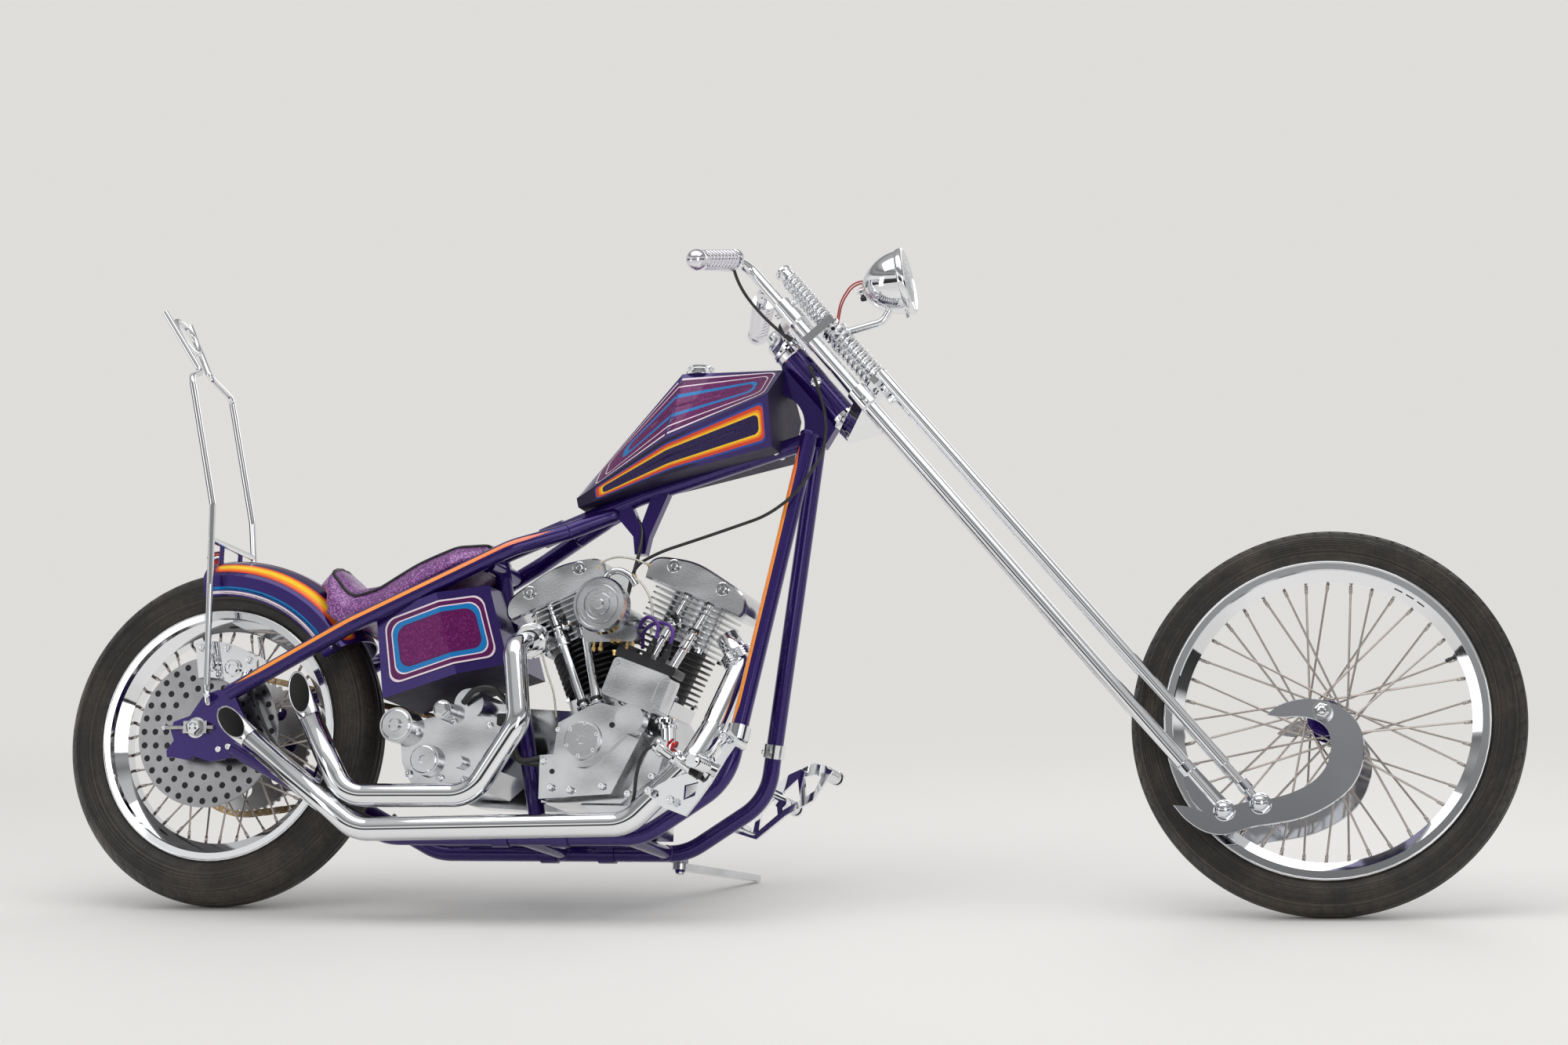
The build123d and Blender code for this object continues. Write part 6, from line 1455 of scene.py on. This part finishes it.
OIL_LINES = (  # radius and route: the arch between the rocker boxes, then one down at each side
    (1.9, ((770, -66, 632), (784, -72, 645), (812, -78, 652), (845, -80, 648), (868, -76, 640),
           (880, -66, 636))),
    (2.2, ((848, -84, 612), (872, -96, 596), (892, -104, 566), (900, -108, 528), (897, -108, 496))),
    (1.8, ((657, -80, 545), (668, -86, 500), (690, -96, 440), (712, -108, 392), (722, -112, 345))))
BREATHER = ((795, -92, 600), (806, -96, 618), (826, -96, 622), (846, -92, 612), (856, -86, 596))


def dress_carburettor():
    """Brass screws and unions, the thin oil lines, and the breather above the air cleaner."""
    fittings, lines, hose = Making(), Making(), Making()
    for x in (793, 806, 858, 868):
        fittings.turned([(0, 3.2), (26, 3.2), (27, 4.6), (33, 4.6), (35, 2.0)], (x, -120, 500),
                        (0, -0.1, -1), 8)
    fittings.turned([(0, 4.4), (4, 4.4), (4, 3), (10, 3)], (832, -119, 468), DOWNWARD, 8)
    for x in (838, 850):
        fittings.turned([(0, 3), (15, 3), (16, 4)], (x, -135, 478), (0, -1, 0.1), 8)
    for radius, route in OIL_LINES:
        lines.tube(flowing(route), radius, 8)
    for spot, way in (((772, -64, 634), (1, -0.4, 0.6)), ((878, -64, 637), (-1, -0.4, 0.3)),
                      ((848, -82, 614), (0.5, -0.6, -0.3))):
        fittings.nut(spot, way, 6.5, 6)
    hose.tube(flowing(BREATHER), 6.5, 12)
    fittings.finished("brass_fittings", "frame", [brass])
    lines.finished("oil_lines", "frame", [braided_line])
    hose.finished("breather_hose", "frame", [chrome])


MAGNETO_AT = CRANK + Vector((0.576, 0, 0.907)) * ENGINE_MEASURE
MAGNETO_TILT = radians(-20.5)
MAGNETO_FACE_Y = -177.5


def dress_magneto():
    """Towers on the cap, the plug leads that leave them, and a plate with its screws."""
    leads, plate, towers = Making(), Making(), Making()
    along = Vector((cos(MAGNETO_TILT), 0, sin(MAGNETO_TILT)))
    up = Vector((-sin(MAGNETO_TILT), 0, cos(MAGNETO_TILT)))
    for share, reach in ((-0.08, 46), (0.18, 66)):
        tower = MAGNETO_AT + along * share * ENGINE_MEASURE + up * 64 + Vector((0, -150, 0))
        towers.turned([(0, 7.5), (16, 7.0), (18, 5.5), (30, 4.6)], tower, up, 16)
        start = tower + up * 30
        leads.tube(flowing([
            start - up * 6, start + up * 8, start + Vector((3, 2, 24)), start + Vector((-10, 8, 38)),
            start + Vector((-reach * 0.6, 20, 42)), start + Vector((-reach, 40, 30)),
            start + Vector((-reach - 12, 70, 6))]), 3.6, 10)
    for a, b in ((-50, -30), (50, -30), (-50, 30), (50, 30)):
        spot = MAGNETO_AT + along * a + up * b * 0.9 + Vector((0, MAGNETO_FACE_Y - 0.2, 0))
        plate.bolt(spot, TO_RIGHT, 4.2, 3.5)
    corners = [MAGNETO_AT + along * a + up * b for a, b in ((-40, -20), (40, -20), (40, 20), (-40, 20))]
    plate.slab(flat(corners), MAGNETO_FACE_Y - 1.5, MAGNETO_FACE_Y, 0.5)
    leads.finished("plug_leads", "frame", [lead_purple])
    plate.finished("magneto_screws", "frame", [polished_alloy])
    towers.finished("lead_boots", "frame", [black_plastic])


def dress_crankcase():
    """Case and gearbox studs, gearbox covers, oil hoses with their blocks, and the plates below."""
    studs, hoses, plates = Making(), Making(), Making()
    for x, z in ((707, 205), (712, 260), (742, 338), (905, 238), (918, 282), (893, 318), (860, 206)):
        studs.bolt((x, CASE_FACE_Y, z), TO_RIGHT, 7.0, 6.0)
    for x, z in ((436, 240), (446, 320), (548, 228), (590, 262), (592, 330), (520, 338), (500, 232)):
        studs.nut((x, GEARBOX_FACE_Y, z), TO_RIGHT, 7.5, 6)
    for profile, place, sides in (
            (((0, 26), (2, 26), (3, 24), (3, 8), (1, 7)), (470.3, -131, 264.5), 36),
            (((0, 29), (3, 29), (5, 26), (5, 12), (9, 12), (10, 9)), (416.5, -144, 327.7), 36),
            (((0, 16), (3, 16), (4, 14), (12, 14), (13, 11)), (509, -148, 355.3), 6)):
        plates.turned(profile, place, TO_RIGHT, sides)
    for shift in (0, 12):
        hoses.tube(flowing([
            (632 + shift, -100, 388), (640 + shift, -128, 360), (636 + shift, -136, 320),
            (640 + shift, -134, 280), (664, -122 - shift * 0.4, 262), (696, -108, 258 + shift)]), 6.0, 12)
    hoses.tube(flowing([
        (540, -122, 372), (566, -136, 392), (598, -134, 396), (620, -124, 380), (640, -104, 352)]), 6.0, 12)
    for spot in ((620, -118, 340), (632, -122, 318)):
        hoses.block(spot, FORWARD, TO_LEFT, (22, 16, 22), 2.0)
    for rear_x, front_x in ((470, 560), (720, 812)):
        plates.block(((rear_x + front_x) / 2, 0, 131), FORWARD, TO_LEFT, (front_x - rear_x, 226, 5), 1.0)
    studs.finished("engine_studs", "frame", [chrome])
    hoses.finished("oil_hoses", "frame", [cable_black])
    plates.finished("engine_plates", "frame", [polished_alloy])


PORTS = (  # where each pipe leaves its head, and its first bend
    ((663.4, -40, 508.3), (645.8, -150, 473.8)), ((1029.6, -60, 501.4), (1062.4, -62, 449.1)))


def dress_exhaust():
    """Finned clamps where the pipes leave the heads."""
    making = Making()
    for port, bend in PORTS:
        start = Vector(port)
        way = (Vector(bend) - start).normalized()
        for index in range(4):
            making.turned([(0, 31), (0.6, 33), (2.4, 33), (3.0, 31)],
                          start + way * (39 + index * 5.2), way, 32)
        making.bolt(start + way * 47 + Vector((0, -34, 4)), TO_RIGHT, 5, 6)
    making.finished("exhaust_clamps", "frame", [chrome])


def dress_primary():
    """Bolts and raised ribs of the primary cover on the left."""
    bolts, plates = Making(), Making()
    for angle in range(100, 261, 32):
        a = radians(angle)
        for x, z, end in ((CLUTCH_X, CLUTCH_Z, 1), (CRANK.x, CRANK.z, -1)):
            bolts.bolt((x + end * 88 * cos(a), PRIMARY_FACE_Y, z + 88 * sin(a)), TO_LEFT, 6, 4)
    for x in (560, 660, 760):
        for above in (86, -86):
            z = CLUTCH_Z - (x - CLUTCH_X) * PRIMARY_SLOPE + above
            bolts.bolt((x, PRIMARY_FACE_Y, z), TO_LEFT, 6, 4)
    plates.turned([(0, 52), (3, 52), (5, 49), (5, 30), (4, 28), (5, 26), (5, 8)],
                  (CLUTCH_X, PRIMARY_DOME_Y, CLUTCH_Z), TO_LEFT, 48)
    plates.turned([(0, 30), (3, 30), (5, 27), (5, 6)], (CRANK.x, PRIMARY_DOME_Y, CRANK.z), TO_LEFT, 36)
    for x, z in circle_points(CLUTCH_X, CLUTCH_Z, 43, 6, 15):
        bolts.bolt((x, PRIMARY_DOME_Y + 5, z), TO_LEFT, 3.5, 2)
    for row in (-24, -8, 8, 24):
        plates.block((668, PRIMARY_DOME_Y + 1, 295 + row), (1, 0, -PRIMARY_SLOPE), TO_LEFT,
                     (150, 3.0, 6), 1.0)
    bolts.finished("primary_bolts", "frame", [chrome])
    plates.finished("primary_plates", "frame", [polished_alloy])


PIPE_R, PIPE_BORE, PIPE_Y, PIPE_SIDES = 22.0, 19.8, -182, 48
SLASH = 2.2  # how far the mouths' cut slants outward
SLASH_LENGTH = 104.0
PIPES = (  # corners in shares of the neck's x and height, with y, and the bend radii
    (((0.567, 0.515, -40), (0.552, 0.480, -150), (0.578, 0.330, PIPE_Y), (0.505, 0.193, PIPE_Y),
      (0.288, 0.193, PIPE_Y), (0.178, 0.434, PIPE_Y)), (44, 44, 66, 70)),
    (((0.880, 0.508, -60), (0.908, 0.455, -62), (0.879, 0.325, -120), (0.866, 0.255, PIPE_Y),
      (0.765, 0.139, PIPE_Y), (0.312, 0.129, PIPE_Y), (0.048, 0.364, PIPE_Y)), (31, 44, 31, 70, 88)))


def slash_cut(making, mouth, heading):
    """The last stretch of a pipe, cut at a slant, with a rounded edge, a sooty bore, and a near-black disc closing
    the bore that is painted shade of the pipe's depth.
    """
    side_way = heading.orthogonal().normalized()
    up_way = heading.cross(side_way)
    cut_at, cut_way = mouth - heading * 49, heading + Vector(TO_RIGHT) * SLASH
    rings = []
    for radius, depth in ((PIPE_R, None), (PIPE_R, 0.0), (PIPE_R - 0.8, -0.6), (PIPE_BORE, 0.0),
                          (PIPE_BORE, None)):
        ring = ring_points(mouth - heading * SLASH_LENGTH, side_way, up_way, radius, PIPE_SIDES)
        if depth is not None:
            ring = [
                foot + heading * ((cut_at - foot).dot(cut_way) / heading.dot(cut_way) - depth)
                for foot in ring]
        rings.append(ring)
    for outer, inner, finish in zip(rings, rings[1:], (0, 0, 0, 1)):
        making.put(outer + inner, faces_between(2, PIPE_SIDES), finish)
    # near-black disc across the bore: painted shade where the pipe runs on inside
    making.put(rings[-1], [tuple(range(PIPE_SIDES))], 1, False)


def bend_pipes():
    """Smooth pipes with slash-cut mouths, and the sleeves at the heads."""
    making = Making()
    for corners, bends in PIPES:
        path = rounded([(NECK_X * x, y, NECK_Z * z) for x, z, y in corners], bends, 12)
        heading = (path[-1] - path[-2]).normalized()
        making.tube(path[:-1] + [path[-1] - heading * (SLASH_LENGTH - 1)], PIPE_R, 40)
        slash_cut(making, path[-1], heading)
        making.turned([(37, 29), (38, 30.5), (57, 30.5), (58, 29)], path[0], path[1] - path[0], 40)
    piece = making.finished("bent_pipes", "frame", [chrome, soot_and_shade])
    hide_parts("exhaust_pipes")


coat_cylinders()
dress_cylinders()
dress_pushrods()
dress_cam_cover()
dress_carburettor()
dress_magneto()
dress_crankcase()
dress_exhaust()
dress_primary()
bend_pipes()


# Fork, headlight and controls

LEG_AHEAD, SPRING_AHEAD, MOVING_LEG_AHEAD = 48.0, 92.0, 103.0  # of the steering axis
SPRING_Y = 34.0
TOP_CLAMP_DOWN = -134.0


def dress_fork():
    """Clamp bolts, spring seats, caps and collars of the springer fork."""
    making = Making()
    down = DOWN_THE_FORK
    making.turned([(0, 22), (4, 22), (5, 19), (16, 18), (20, 15), (23, 9), (24, 3)],
                  fork_point(-120, 0), -down, 32)
    for side in BOTH_SIDES:
        leg_y, spring_y = side * LEG_Y, side * SPRING_Y
        making.bolt(fork_point(TOP_CLAMP_DOWN, LEG_AHEAD - 18, leg_y), -AHEAD_OF_FORK, 5, 5)
        making.bolt(fork_point(TOP_CLAMP_DOWN, LEG_AHEAD + 18, leg_y), AHEAD_OF_FORK, 5, 5)
        making.nut(fork_point(124, LEG_AHEAD, leg_y), down, 15, 3)
        making.turned([(0, 19), (3, 19), (4, 16)], fork_point(-63.5, SPRING_AHEAD, spring_y), -down, 24)
        for seat_down, way in ((-46.8, down), (80.5, -down)):
            making.turned([(0, 24), (3, 24), (5, 20)], fork_point(seat_down, SPRING_AHEAD, spring_y), way, 24)
        making.turned([(0, 17), (4, 17.5), (9, 15), (12, 9), (13, 3)],
                      fork_point(-206, SPRING_AHEAD, spring_y), -down, 24)
        making.nut(fork_point(99, SPRING_AHEAD, spring_y), down, 10, 8)
        making.bolt(fork_point(112, LEG_AHEAD, side * 91), (0, side, 0), 5.5, 5)
        making.turned([(0, 10.2), (3, 10.2), (5, 8)], fork_point(89, MOVING_LEG_AHEAD, leg_y), -down, 20)
    making.turned([(0, 29), (3, 30), (8, 30), (10, 27.5)], fork_point(-88.5, 0), -down, 36)
    making.finished("fork_hardware", "fork", [chrome])


def cap_the_neck():
    """Bearing cups at both ends of the neck, and a round cap on its side."""
    making = Making()
    making.turned([(0, 27.5), (1.5, 29.5), (9, 29.5), (11, 27.3)], fork_point(78, 0), DOWN_THE_FORK, 36)
    making.turned([(0, 27.3), (1.5, 29.3), (12, 29.3), (14, 27.3)], fork_point(-88, 0), DOWN_THE_FORK, 36)
    making.turned([(0, 11), (2, 11), (5, 9), (7, 4)], fork_point(0, 4, -26.8), TO_RIGHT, 24)
    making.finished("neck_cups", "frame", [chrome])


CABLE_AT_BARS = (  # down the fork, ahead of its axis and to the left
    (-262, 40, -118), (-246, 22, -104), (-208, 10, -88), (-160, 8, -76), (-118, 12, -64), (-84, 18, -58))


def run_the_cable():
    """Cable from the twist grip down past the top clamp, with a ferrule at its end."""
    making = Making()
    route = [fork_point(*place) for place in CABLE_AT_BARS]
    making.tube(flowing(route), 3.0, 10)
    making.turned([(0, 4.5), (16, 4.5), (18, 3.2)], route[-1], route[-2] - route[-1], 12)
    making.finished("cable_at_bars", "fork", [cable_black])


BAR_HEAD = fork_point(-260.3, LEG_AHEAD, -LEG_Y)
BAR_END = BAR_HEAD + Vector((-0.11, -0.97, -0.19)) * 54
GRIP_WAY = Vector((-0.36, -0.88, -0.30)).normalized()


def dress_grips():
    """Ribbed sleeves with a ring at each end."""
    ribs, rings = Making(), Making()
    for begin, way in ((BAR_END, GRIP_WAY), (mirrored_side(BAR_END), mirrored_side(GRIP_WAY))):
        for index in range(9):
            ribs.turned([(0, 18.1), (1.5, 18.9), (6.5, 18.9), (8, 18.1)],
                        begin + way * (10 + index * 10.8), way, 28, 0, True)
        rings.turned([(-4, 14), (-3, 19.5), (3, 19.5), (4, 18)], begin, way, 28)
        rings.turned([(0, 17), (1, 18.8), (5, 18.8), (6, 17)], begin + way * 104, way, 28)
    ribs.finished("grip_ribs", "fork", [grip_metal])
    rings.finished("grip_rings", "fork", [chrome])


LAMP_MEASURE = 126.0  # the headlight's width
LAMP_AT = NECK + Vector((1.32, 0, 1.635)) * LAMP_MEASURE
BEAM = Vector((0.977, 0, 0.213)).normalized()


def dress_headlight():
    """Rim and screw of the lens, the boss behind the bowl, and the wires' grommet."""
    bright, grommet = Making(), Making()
    bright.turned([(-14, 61.5), (-12, 64.2), (-3, 64.6), (0.5, 62.5), (1.2, 58), (0, 56)],
                  LAMP_AT, BEAM, 64, 0, True)
    bright.bolt(LAMP_AT - BEAM * 8 + Vector((0.1, 0, -0.98)) * 64, (0.2, 0, -1), 4, 8)
    bright.turned([(0, 9), (5, 9), (7, 6.5), (11, 6)], LAMP_AT - BEAM * 90, -BEAM, 20)
    grommet.turned([(0, 5.5), (8, 5.0), (10, 4.0)], LAMP_AT - BEAM * 84 + Vector((0, 0, -14)), -BEAM, 14)
    bright.finished("headlight_rim", "fork", [chrome])
    grommet.finished("headlight_grommet", "fork", [black_plastic])


def dress_tail_lamp():
    """Domed red lens, its rubber ring and a chrome bezel."""
    making = Making()
    axis = Vector((-0.5, 0, 1)).normalized()
    base = wheel_point(REAR_AXLE, 98, 348) - axis * 13
    for up, finish, profile in (
            (34, 0, ((0, 11.5), (2.5, 10.8), (4.8, 8.4), (6.2, 5.0), (6.8, 1.5))),
            (34, 1, ((-2, 15.5), (0.5, 15.6), (1.2, 13.5), (0.6, 11.4))),
            (20, 2, ((0, 15.6), (5, 15.8), (6, 14.5)))):
        making.turned(profile, base + axis * up, axis, 32, finish, True)
    making.finished("tail_lamp_lens", "frame", [lamp_red, black_plastic, chrome])


PEG_Y, PEG_RIB_PACE = 228.0, 10.5
PEGS = ((-1, 1053.0, 236.9), (1, 1146.6, 288.2), (1, 1067.0, 229.0))  # side, x and z
PLATE_Y = 222.0
CLAMP_SHARE = 0.864  # of the way down the downtube
BRAKE_Y = -224.0
BRAKE_HOSE = (
    (958, BRAKE_Y, 276), (934, BRAKE_Y + 6, 262), (918, -206, 226), (900, -170, 180), (872, -150, 152),
    (800, -146, 143), (640, -146, 143), (430, -146, 143), (330, -143, 175), (220, -128, 235),
    (140, -112, 320), (96, -104, 400), (62, -100, 455), (40, -98, 470))


def dress_controls():
    """Peg ribs and caps, plate bolts, downtube clamps, and the foot brake's cylinder and hose."""
    bright, hose, washers = Making(), Making(), Making()
    for side, x, z in PEGS:
        for index in range(6):
            bright.turned([(0, 11.8), (1.5, 13.3), (5.5, 13.3), (7, 11.8)],
                          (x, side * (PEG_Y + index * PEG_RIB_PACE), z), (0, side, 0), 24)
        bright.turned([(0, 13), (3, 14.5), (6, 13), (8, 9)], (x, side * (PEG_Y + 70), z), (0, side, 0), 24)
    for x, z in ((990, 176), (1085, 289), (948, 192)):
        bright.bolt((x, -PLATE_Y, z), TO_RIGHT, 7.5, 6)
    for x, z in ((997, 178), (1060, 242), (1146, 288)):
        bright.bolt((x, PLATE_Y, z), TO_LEFT, 6.5, 5)
    top, foot = Vector(DOWNTUBE[0]), Vector(DOWNTUBE[1])
    clamp = top.lerp(foot, CLAMP_SHARE)
    for side, spot, way in ((-1, clamp, foot - top), (1, mirrored_side(clamp), mirrored_side(foot - top))):
        bright.turned([(-14, 17.2), (-13, 21), (13, 21), (14, 17.2)], spot, way, 28)
        bright.bolt(spot + Vector((-20, side * 6, 0)), (-1, 0, 0), 5, 6)
    cylinder, piston = Vector((959.4, BRAKE_Y, 276.4)), Vector((1024.9, BRAKE_Y, 232.9))
    along = (piston - cylinder).normalized()
    bright.turned([(0, 12.2), (2, 14), (8, 14), (10, 12.4)], cylinder - along * 1, along, 24)
    bright.turned([(0, 12.3), (3, 14.5), (8, 14.5), (10, 12.3)], cylinder + along * 40, along, 24)
    bright.turned([(0, 16.9), (6, 17.6), (9, 16.5), (10, 12)], (974.0, BRAKE_Y, 313.5), UPWARD, 32)
    bright.tube([(1085, -217, 292), (1058, -214, 262), (1030, BRAKE_Y, 236)], 4.5, 10)
    for index in range(5):
        hose.turned([(0, 7.5), (2.2, 10.5), (4.4, 7.5)], piston + along * (2 + index * 4.4), along, 20)
    hose.tube(flowing(BRAKE_HOSE, 8), 3.4, 8)
    for reach in (20, 29):
        washers.turned([(0, 10.4), (2.4, 10.4)], cylinder + along * reach + Vector((6, 8, 14)), along, 16)
    bright.finished("control_hardware", "frame", [chrome])
    hose.finished("brake_hose", "frame", [cable_black])
    washers.finished("brake_washers", "frame", [anodised_red])


DROPOUT_Y = -133.2


def dress_rear_brake():
    """Caliper pistons and bolts, the axle nut, its washer and the chain's adjusting nut."""
    making = Making()
    for angle in (66, 86):
        making.turned([(0, 15), (1.5, 15), (2.5, 12), (2.5, 6), (1.2, 5)],
                      wheel_point(REAR_AXLE, angle, 131.4, -111), TO_RIGHT, 28)
    for angle, radius in ((57, 160), (76, 163), (95, 160), (76, 110)):
        making.bolt(wheel_point(REAR_AXLE, angle, radius, -106), TO_RIGHT, 6.5, 6)
    making.nut((0, -145, REAR_AXLE_HEIGHT), TO_RIGHT, 16, 4)
    making.turned([(0, 20), (1.5, 20), (2.2, 18)], (0, DROPOUT_Y - 0.2, REAR_AXLE_HEIGHT), TO_RIGHT, 28)
    making.nut((-62, -137, REAR_AXLE_HEIGHT), (-1, 0, 0), 8, 7)
    for x, z in ((22, 375), (70, 290), (50, 285)):
        making.bolt((x, DROPOUT_Y, z), TO_RIGHT, 6, 5)
    making.finished("rear_brake_hardware", "frame", [chrome])


def dress_frame():
    """Pipe hangers, small bolts, and weld beads at the joints of the tubes."""
    bright, beads = Making(), Making()
    for x in (430, 640):
        bright.tube(flowing([(x, -RAIL_Y, 138), (x, -140, 150), (x, -158, 156)]), 4.0, 10)
    for side in BOTH_SIDES:
        for spot, way, radius in (
                (mirrored_side(NECK_FOOT) if side > 0 else NECK_FOOT, (0.15, -side * 0.14, 0.98), 17.0),
                ((662, side * 112, RAIL_Z), (0, side, 0), 13.5),
                ((871.6, side * 112, RAIL_Z), (0, side, 0), 13.5)):
            beads.turned([(-4, radius), (-1.5, radius + 1.8), (1.5, radius + 1.8), (4, radius)],
                         spot, way, 24, 0, True)
        bright.nut((25, side * 147, 388), (0, side, 0), 7, 5)
        bright.bolt((244, side * 77, 492), (0, side, 0), 6, 5)
    bright.finished("pipe_hangers", "frame", [chrome])
    beads.finished("weld_beads", "frame", [frame_purple])


def cap_the_stand_pin():
    making = Making()
    pin = STANDING.inverted() @ Vector(joints["stand_fold"]["pos_m"])
    making.turned([(-1, 9.2), (2, 9.2), (4, 7)], pin + Vector((0, 0, -5)), DOWNWARD, 20)
    making.finished("stand_pin_cap", "frame", [chrome])


CAP_AT = (NECK_X * 0.8, 0, NECK_Z * 1.03)


def dress_tank():
    """Stepped top of the filler cap, the collar round it, and the tank's front bolts."""
    making = Making()
    making.turned([(12, 25.2), (13, 26.2), (16, 26.2), (18, 23.5), (18.5, 9), (19.5, 8), (19.5, 4)],
                  CAP_AT, UPWARD, 40)
    making.turned([(0, 31), (1.5, 31), (2.5, 29)], (936, 0, 1017.2), UPWARD, 40)
    for side in BOTH_SIDES:
        making.bolt((1098, side * 18, 860), (0, side, -0.4), 6, 5)
    making.finished("tank_cap_ring", "frame", [chrome])


def fit_fuel_tap():
    """Tap under the tank, and the hose from it to the carburettor."""
    making = Making()
    making.tube(flowing([(800, 8, 780), (800, 8, 764), (806, 4, 748), (822, -4, 742)]), 4.5, 10)
    making.block((800, 8, 752), FORWARD, TO_LEFT, (18, 14, 16), 2.0)
    making.tube(flowing([
        (822, -4, 742), (836, -10, 720), (838, -22, 680), (832, -40, 620), (828, -60, 566)]), 3.6, 8)
    making.finished("fuel_tap", "frame", [black_plastic])


dress_fork()
cap_the_neck()
run_the_cable()
dress_grips()
dress_headlight()
dress_tail_lamp()
dress_controls()
dress_rear_brake()
dress_frame()
cap_the_stand_pin()
dress_tank()
fit_fuel_tap()
